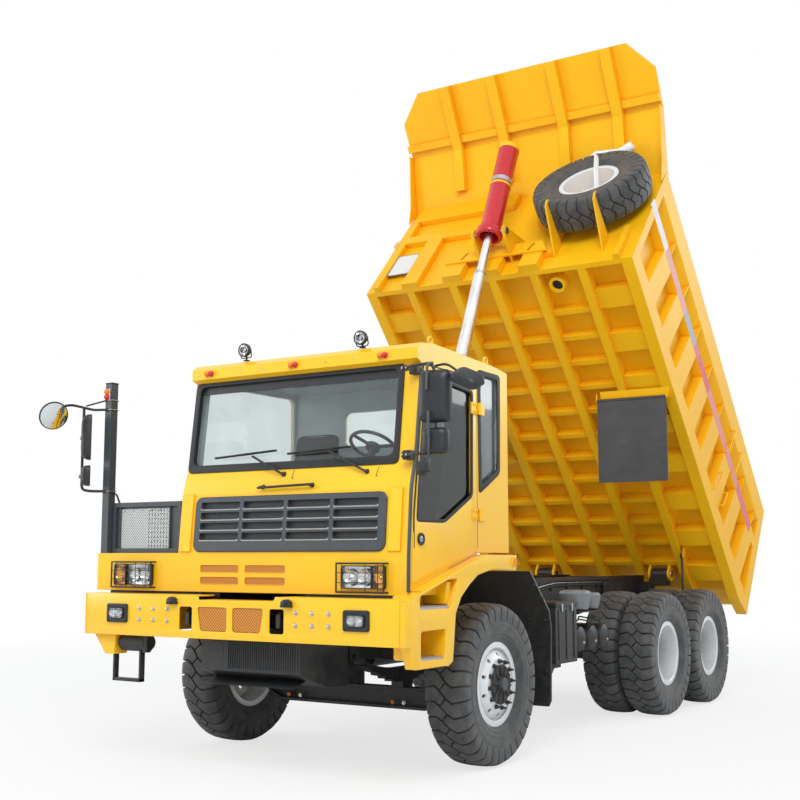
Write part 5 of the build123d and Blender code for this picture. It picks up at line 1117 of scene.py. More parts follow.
wiper_parts = []
for pivot_x, pivot_z, end, blade in (
    (0.242, 2.450, (-0.103, 2.612), ((-0.540, 2.616), (0.137, 2.655))),
    (1.082, 2.440, (0.690, 2.625), ((0.256, 2.620), (0.900, 2.650))),
):
    foot = on_screen(pivot_x, pivot_z, 0.012)
    shaft = turned([(-0.03, 0), (-0.03, 0.022), (0.02, 0.020), (0.03, 0.012), (0.03, 0)], 20)
    wiper_parts.append(moved(shaft, foot, to_front))
    tip = on_screen(*end, 0.040)
    middle_arm = foot.lerp(tip, 0.45) + Vector((0, -0.025, 0))
    wiper_parts.append(pipe([foot + Vector((0, -0.028, 0)), middle_arm, tip], 11 * mm, 0.1, 8, flat=6 * mm))
    wiper_parts.append(pipe([foot.lerp(tip, 0.3) + Vector((0, -0.02, 0.008)),
                             middle_arm + Vector((0, -0.014, 0))], 5 * mm, 0.02, 6))
    (left_x, left_z), (right_x, right_z) = blade
    ends = [on_screen(left_x, left_z, 0.016), on_screen(right_x, right_z, 0.016)]
    wiper_parts.append(pipe(ends, 5 * mm, 0.01, 6, flat=12 * mm))
    span = ends[1] - ends[0]
    lift = Vector((0, -0.022, 0))
    wiper_parts.append(pipe([ends[0] + span * 0.22, ends[0] + span * 0.3 + lift,
                             ends[0] + span * 0.5 + lift * 1.3, ends[0] + span * 0.7 + lift,
                             ends[0] + span * 0.78], 5 * mm, 0.04, 6))
    jet = foot + Vector((0.10, -0.005, -0.04))
    wiper_parts.append(pipe([jet, jet + Vector((0, -0.03, 0)), jet + Vector((0.035, -0.032, 0.07))], 3 * mm,
                            0.02, 6))
bar_z, bar_y = 2.353, at(0, -1.446, 0).y
wiper_parts.append(pipe([(0.009, bar_y, bar_z - 0.012), (0.592, bar_y, bar_z + 0.002)], 11 * mm, 0.01, 10))
for x in (0.045, 0.556):
    leg = turned([(0, 0), (0, 0.022), (0.008, 0.020), (0.010, 0.011), (0.048, 0.011), (0.05, 0)], 16)
    wiper_parts.append(moved(leg, (x, bar_y + 0.038, bar_z - 0.005), to_front))
fit("wipers_and_bar", joined(*wiper_parts), "chassis", enamel_black)
print("two wipers and the bar between them")

# %% Marker lamps on the visor and lifting eyes


def dome(radius, depth, steps=5):
    """Profile of a shallow dome along X."""
    return [(depth * sin(pi / 2 * i / steps), radius * cos(pi / 2 * i / steps)) for i in range(steps + 1)]


marker_parts, marker_bases = [], []
for x in (-0.645, 0.289, 1.197):
    spot = at(x, -1.330, 3.376)
    base = moved(block((0.098, 0.010, 0.058), 4 * mm), spot + Vector((0, -0.003, 0)))
    marker_bases.append(painted(base, enamel_yellow))
    for side, finish in ((-1, acrylic_amber), (1, acrylic_red)):
        bulge = moved(turned([(0, 0), *dome(0.027, 0.040)], 20), to_front)
        bulge = moved(bulge, spot + Vector((side * 0.023, -0.007, 0)))
        marker_parts.append(painted(bulge, finish))
screw = turned([(0, 0), (0, 0.008), (0.003, 0.007), (0.004, 0)], 10)
screw_spots = [at(x, -1.331, z) for x, z in ((-0.30, 3.375), (-0.05, 3.375), (0.62, 3.375), (0.90, 3.375),
                                             (-0.78, 3.37))]
visor_screws = at_spots(moved(screw.copy(), to_front), zinc_plate, screw_spots)
fit("visor_markers", joined(*marker_bases, *marker_parts, visor_screws), "chassis")

eye_parts = []
for along in (-1.02, -0.08):
    spot = at(1.45, along, 3.467 if along < -0.5 else 3.428)
    turned_eye = turned([(0.010 * cos(tau * i / 10), 0.030 + 0.010 * sin(tau * i / 10)) for i in range(10)],
                        24)
    eye_parts.append(moved(turned_eye, spot + Vector((0, 0, 0.052))))
    eye_parts.append(moved(turned([(-0.01, 0), (-0.01, 0.026), (0.012, 0.024), (0.02, 0.012), (0.028, 0)],
                                  20), spot, to_up))
fit("lifting_eyes", joined(*eye_parts), "chassis", enamel_yellow)
print("visor markers and lifting eyes fitted")

# %% Door lock, hinge bolts, reflector and step treads
lock_spot = Vector((cab_left_x + 0.008, front_axle.y - 1.297, 1.904))
lock = joined(painted(turned([(-0.004, 0.046), (0.008, 0.050), (0.014, 0.044), (0.014, 0.030), (0.004, 0.026),
                              (-0.004, 0.026)], 40), abs_black),
              painted(turned([(0.0, 0), (0.0, 0.027), (0.009, 0.024), (0.012, 0)], 28), zinc_plate),
              placed(block((0.006, 0.004, 0.013), 1 * mm), abs_black, (0.012, 0, 0)))
hinge_bolts = at_spots(hex_bolt(0.016, 0.009), enamel_yellow,
                       [(cab_left_x + 0.014, front_axle.y - 0.375 + dy, z + dz)
                        for z in (3.020, 2.117) for dy in (-0.035, -0.075) for dz in (-0.03, 0.03)])
fit("door_lock", joined(moved(lock, lock_spot), hinge_bolts), door_body)

reflector_spot = Vector((1.640, front_axle.y + 0.050, 1.725))
reflector = joined(
    painted(turned([(0, 0), (0, 0.045), (0.008, 0.045), (0.012, 0.040), (0.012, 0)], 32), enamel_yellow),
    painted(turned([(0.011, 0), (0.011, 0.034), (0.016, 0.030), (0.019, 0)], 32), acrylic_amber))
moved(reflector, reflector_spot)


def tread(start, end, z, x_face):
    """A serrated step tread: a flat bar with three rows of teeth along it."""
    length = end - start
    bar = moved(block((0.22, length, 0.012), 2 * mm),
                (x_face - 0.12, front_axle.y + (start + end) / 2, z + 0.006))
    tooth = plate([(-0.011, 0), (0.011, 0), (0, 0.018)], 0.006)
    moved(tooth, to_back)
    count = int(length / 0.024)
    rows = [row(tooth, zinc_plate, count, (x, front_axle.y + start + 0.012, z + 0.011), (0, 0.024, 0))
            for x in (x_face - 0.008, x_face - 0.09, x_face - 0.17)]
    return joined(painted(bar, zinc_plate), *rows)


treads = joined(tread(-1.470, -1.125, 0.984, 1.640), tread(-1.485, -1.035, 1.367, 1.640), reflector)
fit("step_treads", treads, "chassis")
print("lock, treads and reflector fitted")

# %% [markdown]
# ## Perforated sheets
#
# The openings are closed by punched sheet. Far away the holes are only a texture, so a grid
# of dots, painted with the shade seen through the holes, darkens and dents one flat plate; the pitch is the
# real one.

# %% Perforated sheet


def perforated(name, colour, hole_shade_colour, pitch, share=0.32, metal=0.0):
    """Sheet with round holes on a diagonal grid of that pitch, in metres, the holes painted with the shade seen
    through them.
    """
    finish, tree, shader, place = new_finish(name)
    place = put(tree, "ShaderNodeSeparateXYZ", [place])
    across = put(tree, "ShaderNodeMath", [place.outputs["X"], place.outputs["Y"]], operation="ADD")
    flat = put(tree, "ShaderNodeCombineXYZ", {"X": across, "Y": place.outputs["Z"]})
    turned_grid = put(tree, "ShaderNodeMapping",
                      {"Rotation": (0, 0, pi / 4), "Scale": (1 / pitch,) * 3, "Vector": flat})
    cell = put(tree, "ShaderNodeTexVoronoi", {"Scale": 1.0, "Randomness": 0.0, "Vector": turned_grid},
               voronoi_dimensions="2D")
    hole = put(tree, "ShaderNodeMapRange", [cell, share - 0.04, share + 0.04])
    tone = put(tree, "ShaderNodeMix", {0: hole, 6: linear(hole_shade_colour), 7: linear(colour)}, data_type="RGBA")
    bump = put(tree, "ShaderNodeBump", {"Strength": 0.6, "Distance": 1 * mm, "Height": hole})
    feed(shader, {"Base Color": tone.outputs[2], "Normal": bump, "Roughness": 0.5, "Metallic": metal})
    return finish


# The vent sheets are yellow; this one is painted darker orange as shade in the recessed vents it closes.
mesh_shaded_orange = perforated("punched_sheet_shaded_orange", "E8962C", "6E380C", 19 * mm, 0.36)
mesh_black = perforated("punched_sheet_black", "35383A", "0C0C0D", 17 * mm, 0.36)
mesh_grey = perforated("punched_sheet_grey", "C2C4C1", "6A6C6D", 20 * mm, 0.28, metal=0.2)
print("punched sheets ready")

# %% [markdown]
# ## Lamps on the front
#
# Each headlight set is a main lamp and an indicator in one guard: a frame of round
# bar with wires across. A lamp is a housing, two bright bowls and a fluted lens.

# %% Headlights, indicators and their wire guards


def lamp(width, height, lens, bowls, depth=0.042):
    """A lamp drawn in x and z with its back at y = 0: housing, reflector bowls and lens."""
    radius = 0.022
    shell = frame_of(rounded(width, height, radius), rounded(width - 0.016, height - 0.016, radius - 0.006),
                     depth, 2 * mm)
    back = moved(plate(rounded(width - 0.014, height - 0.014, radius - 0.006), 0.003), (0, depth - 0.008, 0))
    face = plate(rounded(width - 0.015, height - 0.015, radius - 0.006), 0.005, 1 * mm)
    parts = [painted(shell, abs_black), painted(back, bright_reflector), painted(face, lens)]
    size = min(height * 0.42, width / bowls * 0.42)
    for i in range(bowls):
        bowl = turned([(0.022, size), (0.008, size * 0.8), (0.001, size * 0.35), (0.012, size * 0.12),
                       (0.016, 0)], 24, close=False)
        centre = Vector(((i + 0.5 - bowls / 2) * (width / bowls) * 0.92, depth - 0.008, 0))
        parts.append(placed(bowl, bright_reflector, centre, to_front))
    return moved(joined(*parts), (0, -depth, 0))


def guard(low_x, high_x, low_z, high_z, face_y, off):
    """A frame of round bar held off the face, with wires across it and a leg at each corner."""
    front_y = face_y - off
    loop = [(low_x, front_y, low_z), (high_x, front_y, low_z), (high_x, front_y, high_z),
            (low_x, front_y, high_z), (low_x, front_y, low_z)]
    parts = [pipe(loop[i:i + 2], 7 * mm, 0.01, 8) for i in range(4)]
    for i in (1, 2):
        z = low_z + (high_z - low_z) * i / 3
        parts.append(pipe([(low_x, front_y, z), (high_x, front_y, z)], 3 * mm, 0.01, 6))
    for share in (0.12, 0.62, 0.88):
        x = low_x + (high_x - low_x) * share
        parts.append(pipe([(x, front_y - 0.003, low_z), (x, front_y - 0.003, high_z)], 3 * mm, 0.01, 6))
    for x in (low_x, high_x):
        for z in (low_z, high_z):
            parts.append(pipe([(x, front_y, z), (x, face_y + 0.001, z)], 7 * mm, 0.01, 8))
    return painted(joined(*parts), enamel_black)


print("lamps and guards ready")

# %% Light sets on the cab and the bumper
cab_front_y = at(0, -1.460, 0).y
bumper_y = at(0, -1.718, 0).y
light_parts = [guard(0.880, 1.330, 1.492, 1.716, cab_front_y, 0.060),
               guard(-1.600, -1.120, 1.500, 1.722, cab_front_y, 0.060)]
for x, z, width, height, lens, bowls in (
    (1.058, 1.609, 0.296, 0.180, lens_clear, 2), (1.264, 1.609, 0.106, 0.184, lens_orange, 1),
    (-1.279, 1.612, 0.276, 0.188, lens_clear, 2), (-1.517, 1.612, 0.150, 0.188, lens_orange, 1),
):
    light_parts.append(moved(lamp(width, height, lens, bowls), (x, cab_front_y, z)))
corner_bolt = moved(hex_bolt(0.012, 0.008), to_front)
for x, z, width, height in ((1.217, 1.285, 0.240, 0.160), (-1.302, 1.285, 0.240, 0.160)):
    bezel = painted(frame_of(rounded(width, height, 0.02), rounded(width - 0.075, height - 0.07, 0.012),
                             0.018, 3 * mm), abs_black)
    light_parts.append(moved(bezel, (x, bumper_y - 0.018, z)))
    light_parts.append(moved(lamp(width - 0.073, height - 0.068, lens_clear, 2, 0.026),
                             (x, bumper_y - 0.002, z)))
    spots = [(x + sx * (width / 2 - 0.018), bumper_y - 0.018, z + sz * (height / 2 - 0.018)) for sx in (-1, 1)
             for sz in (-1, 1)]
    light_parts.append(at_spots(corner_bolt, enamel_black, spots))
lights = fit("front_lamps", joined(*light_parts), "chassis")
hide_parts("headlights")
print("front lamps", len(lights.data.polygons), "faces")

# %% Work lamps on the roof


def work_lamp(x, z):
    """A round work lamp on its stalk: bowl-shaped housing, rim, bright bowl and glass."""
    spot = at(x, -1.250, z)
    face = Matrix.Translation(spot) @ to_front
    housing = turned([(0.030, 0.055), (0.026, 0.060), (0.000, 0.058), (-0.022, 0.044), (-0.034, 0.022),
                      (-0.036, 0)], 32, close=False)
    rim = turned([(0.024, 0.060), (0.034, 0.0605), (0.038, 0.057), (0.036, 0.050), (0.028, 0.050),
                  (0.024, 0.054)], 36)
    bowl = turned([(0.031, 0.052), (0.012, 0.042), (-0.004, 0.020), (0.006, 0.008), (0.010, 0)], 28,
                  close=False)
    glass = turned([(0.033, 0.051), (0.0355, 0.030), (0.0365, 0.0)], 28, close=False)
    roof = 3.470 - 0.05 * (-1.250 + 1.100)
    stalk = pipe([spot + Vector((0, 0.012, -0.05)), Vector((x, spot.y + 0.012, roof - 0.002))], 8 * mm, 0.01,
                 10)
    foot = moved(turned([(0, 0), (0, 0.028), (0.007, 0.028), (0.010, 0.020), (0.010, 0)], 20),
                 (x, spot.y + 0.012, roof - 0.002), to_up)
    yoke = pipe([spot + Vector((-0.055, 0.0, 0.012)), spot + Vector((-0.062, 0.008, -0.066)),
                 spot + Vector((0.062, 0.008, -0.066)), spot + Vector((0.055, 0.0, 0.012))], 5 * mm, 0.03, 8)
    black = joined(moved(housing, face), moved(rim, face), stalk, foot, yoke)
    return joined(painted(black, enamel_black), placed(bowl, bright_reflector, face),
                  placed(glass, lens_clear, face))


work_lamps = fit("work_lamps", joined(work_lamp(-0.306, 3.568), work_lamp(0.932, 3.556)), "chassis")
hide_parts("roof_lamps")
print("two work lamps")

# %% Bumper: bolts, side lamps, punched sheets; vents and grille
bolt = moved(hex_bolt(0.024, 0.014), to_front)
bolt_spots = [(x, bumper_y, z) for x in (0.634, 0.795, 0.955, -0.725, -0.885, -1.045) for z in (1.233, 1.330)]
bumper_bits = [at_spots(bolt, zinc_plate, bolt_spots)]
for x in (-0.653, 0.560):
    hood = moved(plate([(-0.05, 0), (0.05, 0), (0.042, 0.045), (0.015, 0.062), (-0.015, 0.062),
                        (-0.042, 0.045)], 0.045, 5 * mm), (x, bumper_y - 0.045, 1.372))
    eye = moved(turned([(0, 0), *dome(0.022, 0.018)], 20), (x, bumper_y - 0.044, 1.398), to_front)
    bumper_bits += [painted(hood, abs_black), painted(eye, side_glass)]
for outline in (soft(wound([(-0.384, 1.352), (-0.076, 1.352), (-0.076, 1.163), (-0.352, 1.163)]), 0.03),
                soft(wound([(-0.008, 1.352), (0.306, 1.352), (0.276, 1.163), (-0.008, 1.163)]), 0.03)):
    bumper_bits.append(placed(plate(outline, 0.003), mesh_shaded_orange, (0, bumper_y + 0.007, 0)))
for x in (-0.385, 0.110):
    for z in (1.665, 1.565):
        sheet = moved(plate(rounded(0.420, 0.056, 0.016), 0.002), (x, cab_front_y + 0.007, z))
        lip = moved(pipe([(-0.2, 0, 0), (0.2, 0, 0)], 4 * mm, 0.01, 8), (x, cab_front_y - 0.001, z - 0.030))
        bumper_bits += [painted(sheet, mesh_shaded_orange), painted(lip, enamel_yellow)]
fit("bumper_bolts_and_sheets", joined(*bumper_bits), "chassis")

grille_spot = at(0.314, -1.440, 2.042)
bar_points = [(-0.214, 0, 0.012), (-0.210, -0.001, 0), (0.210, -0.001, 0), (0.214, 0, 0.012)]
sill = pipe(bar_points, 4.5 * mm, 0.012, 8, flat=6 * mm)
cells = [((column - 1.5) * 0.470, (line - 1.5) * 0.088 + 0.024) for column in range(4) for line in range(4)]
sills = at_spots(sill, zinc_plate, [(x, -0.002, z - 0.035) for x, z in cells])
backs = at_spots(plate(rounded(0.428, 0.058, 0.008), 0.002), mesh_black,
                 [(x, 0.031, z + 0.0155) for x, z in cells])
fit("grille_sills_and_mesh", on_front(joined(sills, backs), grille_spot, grille_lean, 0.022), "chassis")
print("bolts, punched sheets and louvre sills fitted")

# %% Deck cage sheets
slots = [rounded(0.009, 0.027, 0.004, 2, centre=(x, z)) for x in [-1.285 + 0.036 * i for i in range(7)]
         for z in [1.862 + 0.040 * k for k in range(9)]]
cage_y = at(0, -1.386, 0).y
front_sheet = plate(wound(rounded(0.600, 0.372, 0.006, 2, centre=(-1.330, 2.012))), 0.003, 0, holes=slots)
cage_bits = [placed(front_sheet, mesh_grey, (0, cage_y, 0))]
for x in (-1.640, -1.028):
    cage_bits.append(painted(pipe([(x, cage_y - 0.004, 1.822), (x, cage_y - 0.004, 2.212)], 9 * mm, 0.01, 8),
                             enamel_charcoal))
bolt_row = row(moved(hex_bolt(0.014, 0.008), to_front), zinc_plate, 6, (-1.60, cage_y - 0.002, 2.185),
               (0.11, 0, 0))
side_sheet = plate(rounded(1.00, 0.360, 0.01, 2, centre=(-0.85, 2.028)), 0.003)
cage_bits += [bolt_row, placed(side_sheet, mesh_grey, (-1.711, front_axle.y, 0), to_back)]
back_sheet = plate(rounded(0.740, 0.360, 0.01, 2, centre=(-1.310, 2.028)), 0.003)
cage_bits.append(placed(back_sheet, mesh_grey, (0, at(0, -0.318, 0).y, 0)))
fit("cage_sheets", joined(*cage_bits), "chassis")
print("cage sheets with", len(slots), "slots")

# %% [markdown]
# ## Mirrors
#
# A mirror head is a moulded shell that bulges away from its glass. Rings of a rounded
# rectangle shrink towards the back of the bulge, which gives the shell in one mesh.

# %% Mirror heads


def mirror_head(width, height, depth, radius=0.045, rings=7):
    """A mirror head drawn in x and z: its glass faces +y, and the shell bulges to -y by depth."""
    mesh = bpy.data.meshes.new("mirror_head")
    verts, faces = [], []
    outline = rounded(width, height, radius, 6)
    count = len(outline)
    levels = [(1.0, 0.0), (1.0, 0.012)] + [(0.30 + 0.70 * cos(pi / 2 * k / rings) ** 0.7,
                                            0.012 + (depth - 0.012) * sin(pi / 2 * k / rings))
                                           for k in range(1, rings + 1)]
    for scale, back in levels:
        verts += [(x * scale, -back, z * (0.25 + 0.75 * scale)) for x, z in outline]
    for k in range(len(levels) - 1):
        faces += [(k * count + i, k * count + (i + 1) % count, (k + 1) * count + (i + 1) % count,
                   (k + 1) * count + i) for i in range(count)]
    faces += [tuple(range(count)), tuple(range((len(levels) - 1) * count, len(levels) * count))]
    mesh.from_pydata(verts, [], faces)
    shell = tidy(mesh, 50)
    lip = moved(frame_of(rounded(width, height, radius, 6),
                         rounded(width - 0.02, height - 0.02, radius - 0.01, 6), 0.008, 2 * mm),
                (0, -0.001, 0))
    glass = moved(plate(rounded(width - 0.022, height - 0.022, radius - 0.012, 6), 0.003), (0, 0.001, 0))
    return joined(painted(joined(shell, lip), abs_black), painted(glass, mirror_glass))


def clamp(spot, tube):
    """A clamp block and two bolts round a tube."""
    body = block((tube * 3.4, tube * 3.0, tube * 2.6), 3 * mm)
    heads = at_spots(moved(hex_bolt(0.012, 0.007), to_front), zinc_plate,
                     [(sx * tube * 1.25, -tube * 1.5, 0) for sx in (-1, 1)])
    return moved(joined(painted(body, abs_black), heads), spot)


print("mirror heads and clamps ready")

# %% Right mirror set
tube = 0.013
post_front = at(-1.780, -1.452, 0)
top_joint, low_joint = at(-2.045, -1.500, 3.150), at(-2.045, -1.500, 2.385)
right_bits = [painted(pipe([post_front + Vector((0, 0, 3.119)), at(-1.95, -1.475, 3.125), top_joint,
                            at(-2.12, -1.60, 3.175), at(-2.12, -1.72, 3.135), at(-2.100, -1.80, 3.075)],
                           12 * mm, 0.08, 10), enamel_black),
              painted(pipe([post_front + Vector((0, 0, 3.210)), top_joint + Vector((0.03, 0, 0.015))], 8 * mm,
                           0.01, 8), enamel_black),
              painted(pipe([top_joint, at(-2.050, -1.50, 2.80), low_joint, at(-1.95, -1.485, 2.368),
                            post_front + Vector((0, 0, 2.364))], tube, 0.07, 10), enamel_black),]
right_turn = Matrix.Rotation(radians(-43.8), 4, "Z")
for z, width, height, depth in ((2.865, 0.215, 0.415, 0.085), (2.508, 0.200, 0.185, 0.075)):
    right_bits.append(moved(mirror_head(width, height, depth), at(-1.925, -1.520, z), right_turn))
    right_bits.append(clamp(at(-2.045, -1.50, z), tube))
round_face = Vector((0.84, -0.37, -0.39)).normalized()
round_turn = (Matrix.Translation(at(-2.096, -1.815, 3.046))
              @ round_face.to_track_quat("X", "Z").to_matrix().to_4x4())
bowl = turned([(0, 0), (0, 0.128), (-0.004, 0.1335), (-0.012, 0.134), (-0.026, 0.118), (-0.038, 0.070),
               (-0.042, 0)], 48)
disc = turned([(0.0015, 0.123), (0.010, 0.070), (0.013, 0)], 48, close=False)
right_bits += [placed(bowl, abs_black, round_turn), placed(disc, mirror_glass, round_turn)]
right = fit("right_mirror_set", joined(*right_bits), "chassis")
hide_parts("right_mirrors")
print("right mirror set")

# %% Left mirror set
left_bits = []
arm = pipe([at(1.470, -1.430, 3.235), at(1.560, -1.490, 3.240), at(1.770, -1.520, 3.240),
            at(1.800, -1.520, 3.150), at(1.800, -1.520, 2.620), at(1.770, -1.520, 2.552),
            at(1.560, -1.490, 2.552), at(1.470, -1.430, 2.552)], tube, 0.06, 10)
left_bits.append(painted(arm, enamel_black))
for low, high in ((2.516, 2.590), (3.200, 3.270)):
    left_bits.append(placed(block((0.075, 0.10, high - low), 8 * mm), abs_black,
                            at(1.485, -1.392 + 0.1 * (low > 3), (low + high) / 2)))
    left_bits.append(clamp(at(1.480, -1.440, (low + high) / 2), 0.016))
left_turn = Matrix.Rotation(radians(8), 4, "Z")
for z, width, height, depth in ((2.982, 0.258, 0.405, 0.082), (2.640, 0.215, 0.200, 0.070)):
    left_bits.append(moved(mirror_head(width, height, depth), at(1.800, -1.508, z), left_turn))
kerb_turn = (Matrix.Translation(at(2.062, -1.490, 3.085)) @ Matrix.Rotation(radians(24), 4, "Y")
             @ Matrix.Rotation(radians(-58), 4, "X"))
left_bits.append(moved(mirror_head(0.250, 0.165, 0.070), kerb_turn))
left_bits.append(painted(pipe([at(1.800, -1.520, 3.215), at(1.90, -1.52, 3.225), at(2.03, -1.50, 3.130)],
                              10 * mm, 0.05, 8), enamel_black))
for points in (((1.775, -1.520, 3.240), (1.775, -1.600, 3.225), (1.775, -1.612, 3.020)),
               ((1.790, -1.607, 2.860), (1.790, -1.612, 2.780), (1.790, -1.600, 2.600),
                (1.740, -1.540, 2.480), (1.660, -1.480, 2.470))):
    left_bits.append(painted(pipe([at(*p) for p in points], 11 * mm, 0.05, 10), abs_slate))
for spot in (at(1.700, -1.500, 2.462), at(1.650, -1.470, 2.440)):
    left_bits.append(placed(block((0.060, 0.060, 0.110), 12 * mm), abs_black, spot))
left = fit("left_mirror_set", joined(*left_bits), "chassis")
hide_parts("left_mirrors")
print("left mirror set")

# %% Post: cap, clamp bands, marker lamp and cable
post_bits = [placed(block((0.086, 0.086, 0.010), 3 * mm), enamel_black, at(-1.780, -1.410, 3.366))]
for z in (3.207, 3.119, 2.364):
    band_loop = [at(-1.780 + sx * 0.044, -1.410 + sy * 0.044, z)
                 for sx, sy in ((-1, -1), (1, -1), (1, 1), (-1, 1), (-1, -1))]
    post_bits += [painted(pipe(band_loop[i:i + 2], 6 * mm, 0.01, 8), zinc_plate) for i in range(4)]
marker_spot = at(-1.792, -1.451, 3.262)
for dz, finish in ((0.024, acrylic_amber), (-0.024, acrylic_red)):
    bulge = moved(turned([(0, 0), *dome(0.028, 0.036)], 20), marker_spot + Vector((0, -0.004, dz)), to_front)
    post_bits.append(painted(bulge, finish))
post_bits.append(placed(block((0.062, 0.008, 0.108), 4 * mm), enamel_white, marker_spot))
post_bits.append(painted(pipe([at(-1.735, -1.40, 2.345), at(-1.69, -1.40, 2.335), at(-1.655, -1.39, 2.250)],
                              9 * mm, 0.05, 8), seal_rubber))
fit("post_fittings", joined(*post_bits), "chassis")
print("post fittings")

# %% [markdown]
# ## Bumper, door skin and step housing
#
# The bumper is a folded plate with its ends turned back, and the step housing runs on
# from its left end in the same plane, 120 mm outside the cab. Both are thin sheet:
# a face cut to its outline, and a band of sheet that follows an edge and folds back.

# %% Bumper


def band(line, gauge, depth):
    """A band of sheet along an open line drawn in x and z, from y = 0 to its depth."""
    spots = [Vector(p) for p in line]
    back = []
    for i, spot in enumerate(spots):
        ahead = (spots[min(i + 1, len(spots) - 1)] - spots[max(i - 1, 0)]).normalized()
        back.append(tuple(spot + Vector((-ahead.y, ahead.x)) * gauge))
    return plate([*line, *reversed(back)], depth, 1 * mm)


to_plan = Matrix.Rotation(pi / 2, 4, "X")      # a plate drawn in x and -y stands up along z
face_outline = [(-1.692, 1.098), (1.598, 1.098), (1.598, 1.450), (0.430, 1.450), (0.410, 1.414),
                (-0.375, 1.414), (-0.395, 1.450), (-1.692, 1.450)]
vents = [soft(wound([(-0.390, 1.355), (-0.072, 1.355), (-0.072, 1.160), (-0.355, 1.160)]), 0.03),
         soft(wound([(-0.012, 1.355), (0.310, 1.355), (0.278, 1.160), (-0.012, 1.160)]), 0.03)]
tow_holes = [rounded(0.142, 0.195, 0.02, centre=(-0.518, 1.2575)),
             rounded(0.147, 0.195, 0.02, centre=(0.4435, 1.2575))]
bumper_skin = [moved(plate(face_outline, 0.012, 1.5 * mm, holes=[*vents, *tow_holes]), (0, bumper_y, 0))]
left_turn_back = [(1.594, 1.711), (1.618, 1.708), (1.634, 1.694), (1.640, 1.672), (1.640, 1.630)]
right_turn_back = [(-1.702, 1.490), (-1.702, 1.694), (-1.699, 1.706), (-1.688, 1.718)]
for line in (left_turn_back[::-1], right_turn_back):
    world_line = [(x, along - front_axle.y) for x, along in line]
    bumper_skin.append(moved(band(world_line, 0.011, 0.352), (0, 0, 1.098), to_plan))
for low_x, high_x, z in ((-1.690, -0.400, 1.444), (0.440, 1.630, 1.444), (-0.400, 0.440, 1.408),
                         (-1.690, 1.630, 1.104)):
    shelf = block((high_x - low_x, 0.215, 0.011), 2 * mm)
    bumper_skin.append(moved(shelf, ((low_x + high_x) / 2, bumper_y + 0.115, z)))
for x in (-0.770, 0.770):
    horn = moved(block((0.16, 0.30, 0.24), 8 * mm), (x, bumper_y + 0.165, 1.275))
    bumper_skin.append(horn)
wedge = [(-1.640, 1.100), (-1.500, 0.926), (-1.395, 0.926), (-1.375, 1.100)]
bumper_skin.append(moved(plate(wedge, 0.16, 4 * mm), (0, bumper_y + 0.055, 0)))
drum_axis = Matrix.Translation(Vector((-1.375, bumper_y + 0.150, 1.030)))
drum = moved(turned([(0, 0), (0, 0.066), (0.02, 0.078), (0.30, 0.078), (0.325, 0.060), (0.325, 0)], 28),
             drum_axis)
# A black strip fills the gap between the deck box and the bumper's top: painted shade.
gap_shade_strip = moved(block((1.30, 0.03, 0.055), 4 * mm), at(-1.040, -1.425, 1.452))
bumper_shell = joined(painted(joined(*bumper_skin), enamel_yellow), painted(drum, cast_iron),
                      painted(gap_shade_strip, seal_rubber))
bumper_piece = fit("bumper_shell", bumper_shell, "chassis")
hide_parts("bumper")
print("bumper of folded plate")

# %% Radiator guard and hanging step
guard_x, guard_wide = 0.565, 1.040
guard_line = [(-0.900, 0.705), (-1.200, 0.722), (-1.545, 0.838), (-1.550, 0.850), (-1.550, 1.085)]
guard_bits = [painted(on_left(band(guard_line, 0.008, guard_wide), guard_x, 0), enamel_black)]
cheek = [(-1.550, 1.085), (-1.550, 0.842), (-1.200, 0.722), (-0.900, 0.705), (-0.900, 1.085)]
for x in (guard_x, guard_x - guard_wide + 0.008):
    guard_bits.append(painted(on_left(plate(wound(cheek), 0.008, 1 * mm), x, 0), enamel_black))
guard_y = at(0, -1.550, 0).y
fin = block((0.005, 0.012, 0.215), 1 * mm, 1)
guard_bits.append(row(fin, enamel_charcoal, 32, (-0.180, guard_y - 0.012, 0.965), (0.023, 0, 0)))
opening = moved(plate(rounded(0.166, 0.100, 0.006, centre=(-0.315, 1.018)), 0.004), (0, guard_y - 0.011, 0))
guard_bits.append(painted(opening, mesh_black))
slope = Matrix.Translation(at(0, -1.372, 0.773)) @ Matrix.Rotation(radians(18.6 - 90), 4, "X")
guard_bits.append(placed(plate(rounded(0.960, 0.330, 0.01), 0.003), mesh_black, slope))
bars = [((0.020, 0.055, 0.265), (-1.422, 0.833)), ((0.020, 0.055, 0.265), (-1.112, 0.833)),
        ((0.330, 0.055, 0.028), (-1.267, 0.712))]
hang = joined(*[moved(block(size, 3 * mm), (x, bumper_y + 0.112, z)) for size, (x, z) in bars])
lugs = [moved(block((0.05, 0.055, 0.150), 4 * mm), (x, bumper_y + 0.112, 1.025)) for x in (-1.418, -1.058)]
guard_bits += [painted(hang, enamel_black), painted(joined(*lugs), enamel_black)]
radiator_guard = fit("radiator_guard", joined(*guard_bits), "chassis")
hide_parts("front_guards")
print("radiator guard with fins, and the hanging step")

# %% Door skin and the strip down the cab's corner
door_skin_edge = wound([(-1.432, 1.548), (-0.482, 1.793), (-0.386, 1.810), (-0.384, 3.281), (-1.231, 3.281),
                        (-1.324, 2.500), (-1.376, 2.100), (-1.414, 1.800)])
skin = on_left(plate(door_skin_edge, 0.005, 1.5 * mm, holes=[soft(inset(door_window, 0.004), 0.04)]),
               cab_left_x + 0.0005, 0.005)
fit("door_skin", skin, door_body, enamel_yellow)
corner_points = [at(1.520, -1.466, 1.500), at(1.520, -1.460, 1.800), at(1.520, -1.424, 2.300),
                 at(1.520, -1.386, 2.440), at(1.520, -1.362, 2.500), at(1.520, -1.266, 3.255)]
fit("corner_strip", pipe(corner_points, 15 * mm, 0.05, 8, flat=15 * mm), "chassis", abs_slate)
print("door skin and corner strip")

